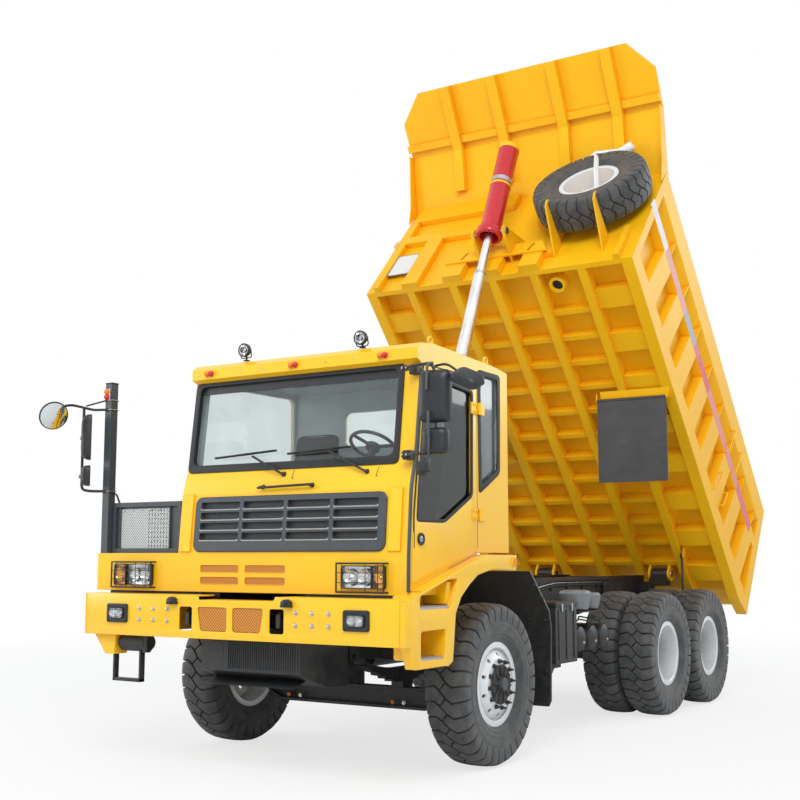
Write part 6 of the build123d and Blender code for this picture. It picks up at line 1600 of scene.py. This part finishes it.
# %% Step housing
housing_x = 1.640
arch = [(-1.066, 0.928), (-1.001, 0.956), (-0.978, 1.120), (-0.953, 1.322), (-0.862, 1.451), (-0.730, 1.545),
        (-0.581, 1.626), (-0.339, 1.669), (0.100, 1.655)]
shoulder = [(0.105, 1.782), (-0.362, 1.784), (-0.482, 1.766), (-1.468, 1.500), (-1.600, 1.452)]
front_edge = [(-1.630, 1.448), (-1.630, 1.090), (-1.556, 0.927)]
housing_edge = wound([*arch, *shoulder, *front_edge])
pockets = [
    soft(wound([(-1.491, 1.367), (-1.038, 1.365), (-0.915, 1.597), (-1.060, 1.590), (-1.491, 1.470)]), 0.03),
    soft(wound([(-1.479, 0.985), (-1.130, 0.982), (-1.109, 1.212), (-1.479, 1.206)]), 0.03)]
side_sheet = on_left(plate(housing_edge, 0.010, 2 * mm, holes=pockets), housing_x - 0.010, 0.010)
housing_bits = [side_sheet]
housing_bits.append(on_left(band(arch[:1:-1], 0.008, 0.44), housing_x - 0.006, 0))
housing_bits.append(on_left(band(arch[2::-1], 0.008, 0.085), housing_x - 0.006, 0))
housing_bits.append(on_left(band([(0.105, 1.782), (-0.362, 1.784), (-0.482, 1.766), (-1.440, 1.507)], 0.008,
                                 0.112), housing_x - 0.006, 0))
housing_bits.append(on_left(band([(-1.466, 1.500), (-1.600, 1.452), (-1.628, 1.440), (-1.628, 1.090),
                                  (-1.556, 0.929), (-1.066, 0.929)], 0.008, 0.085), housing_x - 0.006, 0))
for pocket in pockets:
    housing_bits.append(on_left(frame_of(inset(pocket, -0.004), inset(pocket, 0.002), 0.235, 0),
                                housing_x - 0.009, 0))
    housing_bits.append(on_left(plate(inset(pocket, -0.004), 0.006), housing_x - 0.240, 0))
rib = plate(wound([(-1.06, 1.40), (-1.00, 1.40), (-0.965, 1.570), (-1.03, 1.570)]), 0.20, 2 * mm)
housing_bits.append(on_left(rib, housing_x - 0.035, 0))
inner_wall = wound([(-0.98, 1.33), (-0.90, 1.45), (-0.62, 1.63), (-0.36, 1.70), (0.09, 1.70), (0.09, 1.78),
                    (-0.36, 1.78), (-0.98, 1.60)])
housing_bits.append(on_left(plate(inner_wall, 0.006, 1 * mm), 1.196, 0))
sill_patch = wound([(-1.455, 1.480), (-0.370, 1.740), (-0.370, 1.828), (-1.400, 1.828), (-1.440, 1.600)])
housing_bits.append(on_left(plate(sill_patch, 0.010, 1 * mm), 1.514, 0))
steps = fit("step_housing_skin", joined(*housing_bits), "chassis", enamel_yellow)
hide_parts("step_housing")
print("step housing fitted")

# %% [markdown]
# ## Hoist
#
# A telescopic hoist is a nest of ground tubes. Each stage ends in a gland ring that
# is let into its top and seals the next one. All stages share one axis, so each is turned about X and then
# laid along the line from the frame's eye to the trunnion under the bed.

# %% Hoist stages and cover
trunnion = bed(0, 4.990, 0.340)
eye_spot = at(0, 0.760, 1.080)
hoist_line = (trunnion - eye_spot).normalized()
hoist_run = (trunnion - eye_spot).length
along_hoist = Matrix.Translation(trunnion) @ hoist_line.to_track_quat("X", "Y").to_matrix().to_4x4()


def stage_tube(outer, bore, low, high, finish):
    """A ground tube along the hoist's axis, open for the next stage, with a gland ring in its top."""
    walls = [(low, bore), (low, outer), (high - 0.04, outer), (high - 0.04, bore)]
    gland = [(high - 0.04, bore), (high - 0.04, outer - 0.001), (high - 0.003, outer - 0.001),
             (high, outer - 0.004), (high, bore)]
    return moved(joined(painted(turned(walls, 96), finish), painted(turned(gland, 96), zinc_plate)),
                 along_hoist)


rod = fit("hoist_rod_ground", moved(painted(turned([(-0.65, 0), (-0.65, 0.052), (1.235, 0.052), (1.235, 0)],
                                                   64), hard_chrome), along_hoist), "hoist_upper")
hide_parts("hoist_rod")
for name, outer, bore, low, high in (("hoist_stage_2", 0.0728, 0.0526, -1.90, -0.57),
                                     ("hoist_stage_3", 0.0866, 0.0734, -3.25, -1.704)):
    tube_piece = fit(f"{name}_ground", stage_tube(outer, bore, low, high, hard_chrome), name)
    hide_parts(name)


print("rod and two stages")

# %% Hoist cover and trunnion pin
top, ring_low = 1.300, -0.060
cover_profile = [(ring_low, 0.113), (ring_low, 0.140), (-0.050, 0.153), (-0.035, 0.157), (0.030, 0.157),
                 (0.045, 0.150), (0.060, 0.126), (0.075, 0.123), (1.238, 0.123), (1.238, 0.100),
                 (1.20, 0.113)]
cap_profile = [(1.232, 0.02), (1.232, 0.1275), (1.290, 0.1275), (top, 0.118), (top, 0.02)]
cover = [painted(turned(cover_profile, 72), enamel_red), painted(turned(cap_profile, 56), enamel_yellow),
         painted(turned([(0.672, 0.122), (0.672, 0.128), (0.700, 0.128), (0.700, 0.122)], 56), enamel_yellow),
         painted(turned([(0.722, 0.1225), (0.722, 0.1255), (0.778, 0.1255), (0.778, 0.1225)], 56),
                 zinc_plate), painted(turned([(1.228, 0.0), (1.228, 0.112)], 40, close=False), enamel_yellow)]
latch = moved(block((0.030, 0.016, 0.020), 2 * mm), (0.750, 0.0, 0.131))
cover_mesh = moved(joined(*cover, painted(latch, zinc_plate)), along_hoist)
stub = turned([(0.120, 0), (0.120, 0.032), (0.215, 0.032), (0.215, 0)], 28)
pin = joined(moved(stub.copy(), trunnion), moved(stub, trunnion, to_right))
pin_caps = [moved(turned([(0, 0), (0, 0.045), (0.012, 0.043), (0.012, 0)], 28),
                  trunnion + Vector((0.216, 0, 0))),
            moved(turned([(0, 0), (0, 0.045), (0.012, 0.043), (0.012, 0)], 28),
                  trunnion + Vector((-0.216, 0, 0)), to_right)]
cover_piece = fit("hoist_cover_tube", joined(cover_mesh, painted(pin, zinc_plate),
                                             painted(joined(*pin_caps), zinc_plate)), "hoist_upper")
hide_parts("hoist_cover")
print("hoist of", round(hoist_run, 2), "m from eye to trunnion")

# %% [markdown]
# ## Details on the bed
#
# A tape of reflective sheeting runs along the side's middle rail in stretches of
# white, red and grey. Its colour is read from the distance along the bed, through a
# ramp with hard steps, and its fine honeycomb is 9 mm across.

# %% Reflective tape
tape, tree, shader, place = new_finish("reflective_tape")
from_hinge = put(tree, "ShaderNodeVectorMath", [place, tuple(hinge)], operation="SUBTRACT")
run = put(tree, "ShaderNodeVectorMath", [from_hinge, tuple(bed_u)], operation="DOT_PRODUCT")
share = put(tree, "ShaderNodeMapRange", [run.outputs["Value"], -0.2, 4.8])
stretches = put(tree, "ShaderNodeValToRGB", [share],
                ramp=((0.0, linear("E0606C")), (0.16, linear("E58A7E")), (0.46, linear("DC4F58")),
                      (0.56, linear("E26F70")), (0.596, linear("A6B2B6")), (0.69, linear("EBA29E")),
                      (0.86, linear("EFEDEA"))))
stretches.color_ramp.interpolation = "CONSTANT"
honeycomb = put(tree, "ShaderNodeTexVoronoi", {"Scale": 1 / (9 * mm), "Randomness": 0.1, "Vector": place})
tape_with_cells = put(tree, "ShaderNodeMix", {0: 0.16, 6: stretches, 7: honeycomb.outputs["Color"]}, data_type="RGBA")
gloss = put(tree, "ShaderNodeMapRange", [honeycomb, 0.0, 1.0, 0.5, 0.75])
feed(shader, {"Base Color": tape_with_cells.outputs[2], "Roughness": gloss})
print("tape ready")

# %% Plates on the bed


def bed_plate(x, low_u, high_u, low_v, high_v, gauge, hand=1):
    """A thin plate on the bed's side, between two distances along it and two heights over its floor."""
    corners = [(low_u, low_v), (high_u, low_v), (high_u, high_v), (low_u, high_v)]
    mesh = bpy.data.meshes.new("bed_plate")
    verts = [bed(x + hand * off, u, v) for off in (0, gauge) for u, v in corners]
    mesh.from_pydata([tuple(v) for v in verts], [], [(0, 1, 2, 3), (4, 5, 6, 7), (0, 1, 5, 4), (1, 2, 6, 5),
                                                     (2, 3, 7, 6), (3, 0, 4, 7)])
    return tidy(mesh)


bed_bits = [painted(bed_plate(hand * 1.7352, -0.125, 4.745, 0.950, 1.100, 0.001, hand), tape)
            for hand in (1, -1)]
print("tape on both side rails")

# %% Steps on the side, blank data plate, ring port, spare's strap
strap_webbing = moulded("strap_webbing", "F1F1EF", "DCDCDA", 0.8, 3 * mm, sheen=0.4, wear=0.5,
                        patch_size=0.05)
for hand in (1, -1):
    for u, low_v, high_v in ((1.215, 0.955, 1.390), (0.850, 0.980, 1.395), (1.175, 0.260, 0.575),
                             (0.885, 0.285, 0.530)):
        x = hand * 1.733
        points = [bed(x, u, low_v), bed(x + hand * 0.055, u, low_v), bed(x + hand * 0.055, u, high_v),
                  bed(x, u, high_v)]
        bed_bits.append(painted(pipe(points, 11 * mm, 0.03, 8), enamel_bed_shaded))

ring_place = (Matrix.Translation(bed(0.760, 4.360, 0.030))
              @ (-bed_v).to_track_quat("X", "Y").to_matrix().to_4x4())
port = [painted(turned([(-0.10, 0.066), (0.002, 0.066), (0.004, 0.074), (0.004, 0.094), (-0.006, 0.0985),
                        (-0.10, 0.0985)], 40), enamel_bed_shaded),
        painted(turned([(-0.03, 0), (-0.03, 0.066)], 32, close=False), seal_rubber)]
bed_bits.append(moved(joined(*port), ring_place))
wall_dir = (bed(0, 4.734, 0.609) - bed(0, 4.694, 0.230)).normalized()
wall_out = Vector((1, 0, 0)).cross(wall_dir)
wall_out = wall_out if wall_out.dot(bed_u) > 0 else -wall_out
plate_turn = Matrix((Vector((1, 0, 0)), -wall_out, wall_dir)).transposed().to_4x4()
plate_place = Matrix.Translation(bed(-1.370, 4.690, 0.460) + wall_out * 0.012) @ plate_turn
bed_bits.append(placed(plate(rounded(0.300, 0.400, 0.015), 0.004, 1 * mm), enamel_white, plate_place))
bed_bits.append(placed(frame_of(rounded(0.320, 0.420, 0.02), rounded(0.296, 0.396, 0.014), 0.007, 1 * mm),
                       enamel_grey, plate_place))
rivet = moved(turned([(0, 0), (0, 0.007), (0.004, 0.005), (0.005, 0)], 10), to_front)
bed_bits.append(moved(at_spots(rivet, zinc_plate,
                               [(sx * 0.135, -0.001, sz * 0.185) for sx in (-1, 1) for sz in (-1, 1)]),
                      plate_place))
fit("bed_fittings", joined(*bed_bits), "bed")

spare_rim_mesh = moved(twin_rim.copy(), spare_place @ to_right)
# A white strap is tied from the rim over the tyre's shoulder, with its spare end rolled up.
strap_runs = [pipe([bed(*p) for p in points], wide, 0.03, 10, flat=thick)
              for points, wide, thick in ((((1.190, 4.990, 0.780), (1.200, 5.110, 0.900),
                                            (1.120, 5.176, 1.200), (1.040, 5.182, 1.480),
                                            (0.985, 5.170, 1.660), (0.990, 5.060, 1.752),
                                            (1.000, 4.860, 1.752)), 0.030, 0.006),
                                          (((0.900, 5.150, 1.700), (0.960, 5.185, 1.705),
                                            (1.040, 5.180, 1.690), (1.120, 5.165, 1.720)), 0.024, 0.014),
                                          (((1.080, 5.165, 1.710), (1.160, 5.150, 1.740),
                                            (1.260, 5.130, 1.765)), 0.026, 0.018),
                                          (((0.860, 5.140, 1.730), (0.915, 5.170, 1.690),
                                            (0.975, 5.185, 1.640)), 0.016, 0.006),)]
roll = moved(turned([(-0.09, 0), (-0.09, 0.052), (-0.07, 0.062), (0.055, 0.060), (0.09, 0.048), (0.09, 0)],
                    28), bed(1.300, 5.105, 1.806), Matrix.Rotation(radians(-28), 4, "Y"))
strap = painted(joined(*strap_runs, roll), strap_webbing)
spare_disc = fit("spare_rim_disc", joined(spare_rim_mesh, strap), "bed")
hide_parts("spare_rim")
print("tape, steps, blank plate, port and spare rim")

# %% [markdown]
# ## Chassis fittings
#
# Behind the cab sit the battery box, three air tanks and two filter drums. The front
# axle is a forged I-beam that drops between its springs, so that the engine can sit low.

# %% Battery box
box_bits = [placed(block((0.770, 0.500, 0.560), 14 * mm), enamel_black, at(0.962, 1.735, 1.010)),
            placed(block((0.790, 0.520, 0.050), 10 * mm), enamel_black, at(0.962, 1.735, 1.302)),
            placed(block((0.560, 0.300, 0.070), 10 * mm), cast_iron, at(0.900, 1.800, 0.700))]
for along in (1.560, 1.735, 1.910):
    box_bits.append(placed(block((0.012, 0.030, 0.480), 3 * mm), enamel_black, at(1.350, along, 1.010)))
for along in (1.620, 1.850):
    box_bits.append(placed(block((0.020, 0.030, 0.075), 4 * mm), zinc_plate, at(1.352, along, 1.270)))
battery = fit("battery_case", joined(*box_bits), "chassis")
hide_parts("battery_box")
print("battery box")

# %% Filter drums
drum_profile = [(0, 0), (0, 0.105), (0.020, 0.135), (0.150, 0.165), (0.178, 0.168), (0.186, 0.160),
                (0.205, 0.150), (0.212, 0.120), (0.214, 0)]
drum_x, drum_foot = 1.210, 1.215
drum_bits = []
for along, size in ((2.250, 1.0), (2.545, 0.86)):
    drum_mesh = turned([(x * size, r * size) for x, r in drum_profile], 48)
    drum_bits.append(placed(drum_mesh, enamel_grey, at(drum_x, along, drum_foot), to_up))
    drum_bits.append(painted(pipe([at(drum_x, along, 1.23), at(1.05, along + 0.02, 1.17),
                                   at(0.72, along, 1.23), at(0.585, along, 1.25)], 26 * mm, 0.1, 12),
                             seal_rubber))
drum_bits.append(placed(block((0.76, 0.70, 0.012), 3 * mm), enamel_black, at(0.965, 2.400, 1.210)))
filters = fit("filter_drums", joined(*drum_bits), "chassis")
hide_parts("reservoir")
print("filter drums")

# %% Air tanks
tank_height, tank_radius = 0.940, 0.127
tank_bits = []
for along in (2.140, 2.440, 2.740):
    tank = turned([(0.70, 0), (0.70, 0.09), (0.72, 0.120), (0.745, tank_radius), (1.295, tank_radius),
                   (1.315, 0.122), (1.338, 0.080), (1.344, 0.022), (1.350, 0.020), (1.350, 0)], 48)
    tank_bits.append(placed(tank, enamel_black, at(0, along, tank_height)))
    seam = [turned([(x, 0.126), (x, 0.1295), (x + 0.006, 0.1295), (x + 0.006, 0.126)], 48)
            for x in (0.760, 1.282)]
    tank_bits.append(placed(joined(*seam), enamel_black, at(0, along, tank_height)))
    strap_ring = turned([(1.02, tank_radius), (1.02, 0.130), (1.055, 0.130), (1.055, tank_radius)], 48)
    tank_bits.append(placed(strap_ring, zinc_plate, at(0, along, tank_height)))
    tank_bits.append(moved(placed(hex_bolt(0.020, 0.012), zinc_plate, (1.345, 0, -0.035)),
                           at(0, along, tank_height)))
    tank_bits.append(placed(block((0.06, 0.05, 0.17), 5 * mm), enamel_black, at(0.850, along, 1.130)))
tank_bits.append(placed(block((0.40, 0.850, 0.040), 5 * mm), enamel_black, at(0.780, 2.440, 1.217)))
for dz, dx in ((0.030, 0.0), (0.060, 0.03)):
    line = [at(1.26 + dx, 2.14, 1.075 + dz), at(1.22, 2.30, 1.10 + dz), at(1.26, 2.44, 1.075 + dz),
            at(1.22, 2.60, 1.10 + dz), at(1.26, 2.74, 1.075 + dz)]
    tank_bits.append(painted(pipe(line, 8 * mm, 0.06, 8), seal_rubber))
tanks = fit("air_tank_set", joined(*tank_bits), "chassis")
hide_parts("air_tanks")
print("air tanks")

# %% Front axle beam
lamp_dot = moulded("acrylic_white", "FFFFFF", "F4F4F4", 0.3, 2 * mm, wear=0.2)
beam_top = [(-1.020, 0.745), (-0.860, 0.640), (-0.740, 0.612), (0.740, 0.612), (0.860, 0.640), (1.020, 0.745)]
beam_low = [(1.020, 0.590), (0.940, 0.480), (0.800, 0.420), (-0.800, 0.420), (-0.940, 0.480), (-1.020, 0.590)]
beam_outline = wound(beam_top + beam_low)
web = moved(plate(beam_outline, 0.030, 3 * mm), at(0, -0.015, 0))
flanges = []
for line, side in ((beam_top, -1), (beam_low, -1)):
    flanges.append(moved(band(line, 0.026 * side, 0.110), at(0, -0.055, 0)))
eyes = [moved(turned([(-0.09, 0), (-0.09, 0.062), (0.09, 0.062), (0.09, 0)], 28), at(x, 0, 0.668), to_up)
        for x in (-1.060, 1.060)]
ends = [moved(block((0.12, 0.11, 0.16), 12 * mm), at(x, 0, 0.668)) for x in (-1.020, 1.020)]
axle_bits = [painted(joined(web, *flanges, *eyes, *ends), enamel_black)]
for x in (-0.585, 0.585):
    pad = moved(block((0.13, 0.16, 0.07), 6 * mm), at(x * 0.9, 0, 0.645))
    axle_bits.append(painted(pad, enamel_black))
for x, finish in ((-0.705, acrylic_amber), (-0.571, lamp_dot), (0.465, acrylic_amber), (0.584, lamp_dot)):
    dot = moved(turned([(0, 0), *dome(0.020, 0.016)], 16), at(x, -0.062, 0.478), to_front)
    axle_bits.append(painted(dot, finish))
beam = fit("front_axle_beam", joined(*axle_bits), "chassis")
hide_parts("front_axle")
print("front axle beam")

# %% Pipes along the frame, mudguard bolts, hinge caps
pipe_bits = []
for dz, radius, finish in ((1.470, 9 * mm, seal_rubber), (1.445, 7 * mm, zinc_plate),
                           (1.415, 12 * mm, seal_rubber)):
    line = [at(0.585, 1.10, dz), at(0.592, 2.00, dz), at(0.592, 2.55, dz - 0.02), at(0.592, 3.05, dz + 0.03),
            at(0.592, 4.60, dz + 0.02)]
    pipe_bits.append(painted(pipe(line, radius, 0.08, 8), finish))
clip = block((0.020, 0.030, 0.090), 3 * mm)
pipe_bits.append(row(clip, enamel_black, 8, (at(0.588, 1.30, 1.440)), (0, 0.42, 0)))
side_bolts = [at(x, 1.0, z) for x, z in ((1.36, 1.50), (1.44, 1.38), (1.30, 1.18), (1.47, 1.18), (1.30, 0.72),
                                         (1.47, 0.72))]
bolt_mesh = moved(hex_bolt(0.022, 0.012), to_front)
pipe_bits.append(at_spots(bolt_mesh, enamel_black, side_bolts))
for x in (-0.955, -0.670, 0.670, 0.955):
    cap_turn = Matrix.Translation(Vector((x, hinge.y, hinge.z))) @ (Matrix.Identity(4) if x > 0 else to_right)
    pipe_bits.append(placed(turned([(0, 0), (0, 0.043), (0.012, 0.040), (0.012, 0)], 24), zinc_plate,
                            cap_turn))
fit("frame_pipes_and_bolts", joined(*pipe_bits), "chassis")
print("frame pipes and bolts")

# %% [markdown]
# ## Seats
#
# The seats are foam under woven cloth. A pad starts as a cut-up block: its faces are
# crowned, its sides pull in between the corners, and a subdivision smooths it. Piping
# is sewn round the edge of each pad and one seam crosses it.

# %% Seat pads


def pad_mesh(width, depth, height, crown, pinch):
    """A cushion centred on the origin, crowned on top, with sides that pull in between its corners."""
    work = bmesh.new()
    bmesh.ops.create_cube(work, size=2)
    bmesh.ops.subdivide_edges(work, edges=list(work.edges), cuts=7, use_grid_fill=True)
    for vert in work.verts:
        x, y, z = vert.co
        wide = 1 - pinch * (1 - y * y) * (abs(x) > 0.99) - 0.05 * z * z
        deep = 1 - pinch * (1 - x * x) * (abs(y) > 0.99) - 0.05 * z * z
        channel = 0.10 * max(0, 1 - abs(abs(x) - 0.5) / 0.13) * (z > 0.99)
        lift = (1 + crown * (1 - x * x) * (1 - y * y) - channel) if z > 0 else 1.0
        vert.co = Vector((x * wide * width / 2, y * deep * depth / 2, z * lift * height / 2))
    bmesh.ops.smooth_vert(work, verts=work.verts, factor=0.5, use_axis_x=True, use_axis_y=True,
                          use_axis_z=True)
    mesh = bpy.data.meshes.new("pad")
    work.to_mesh(mesh)
    work.free()
    holder = bpy.data.objects.new("pad", mesh)
    bpy.context.scene.collection.objects.link(holder)
    smooth = holder.modifiers.new("smooth", "SUBSURF")
    smooth.levels = smooth.render_levels = 1
    result = bpy.data.meshes.new_from_object(holder.evaluated_get(bpy.context.evaluated_depsgraph_get()))
    bpy.data.objects.remove(holder)
    return tidy(result, 60)


def piping(width, depth, z, place):
    """A sewn piping round a pad's top edge."""
    loop = [Vector((x, y, z)) for x, y in rounded(width * 0.955, depth * 0.955, 0.05, 5)]
    closed = loop + loop[:1]
    return moved(pipe(closed, 5 * mm, 0.01, 6), place)


print("pads ready")

# %% Two seats
seat_along = -0.560    # middle of a cushion behind the front axle
base_bits = []
for label, x in (("driver", 0.880), ("passenger", -0.250)):
    cushion_place = Matrix.Translation(at(x, seat_along, 2.185))
    cushion = joined(placed(pad_mesh(0.470, 0.470, 0.145, 0.35, 0.05), seat_cloth, cushion_place),
                     painted(piping(0.470, 0.470, 0.052, cushion_place), seal_rubber))
    fit(f"seat_cushion_{label}", cushion, "chassis")
    back_place = Matrix.Translation(at(x, -0.285, 2.585)) @ Matrix.Rotation(radians(90 - 11), 4, "X")
    back = joined(placed(pad_mesh(0.455, 0.640, 0.110, 0.4, 0.05), seat_cloth, back_place),
                  painted(piping(0.455, 0.640, 0.038, back_place), seal_rubber))
    fit(f"seat_back_{label}", back, "chassis")
    base_bits.append(moved(block((0.42, 0.40, 0.05), 8 * mm), at(x, seat_along, 2.090)))
    base_bits.append(moved(block((0.36, 0.36, 0.19), 20 * mm), at(x, seat_along, 1.960)))
    base_bits.append(moved(block((0.40, 0.34, 0.03), 5 * mm), at(x, seat_along, 1.870)))
seat_bases = fit("seat_bases", joined(*base_bits), "chassis", abs_black)
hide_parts("seats")
print("two seats with padded cushions and backs")
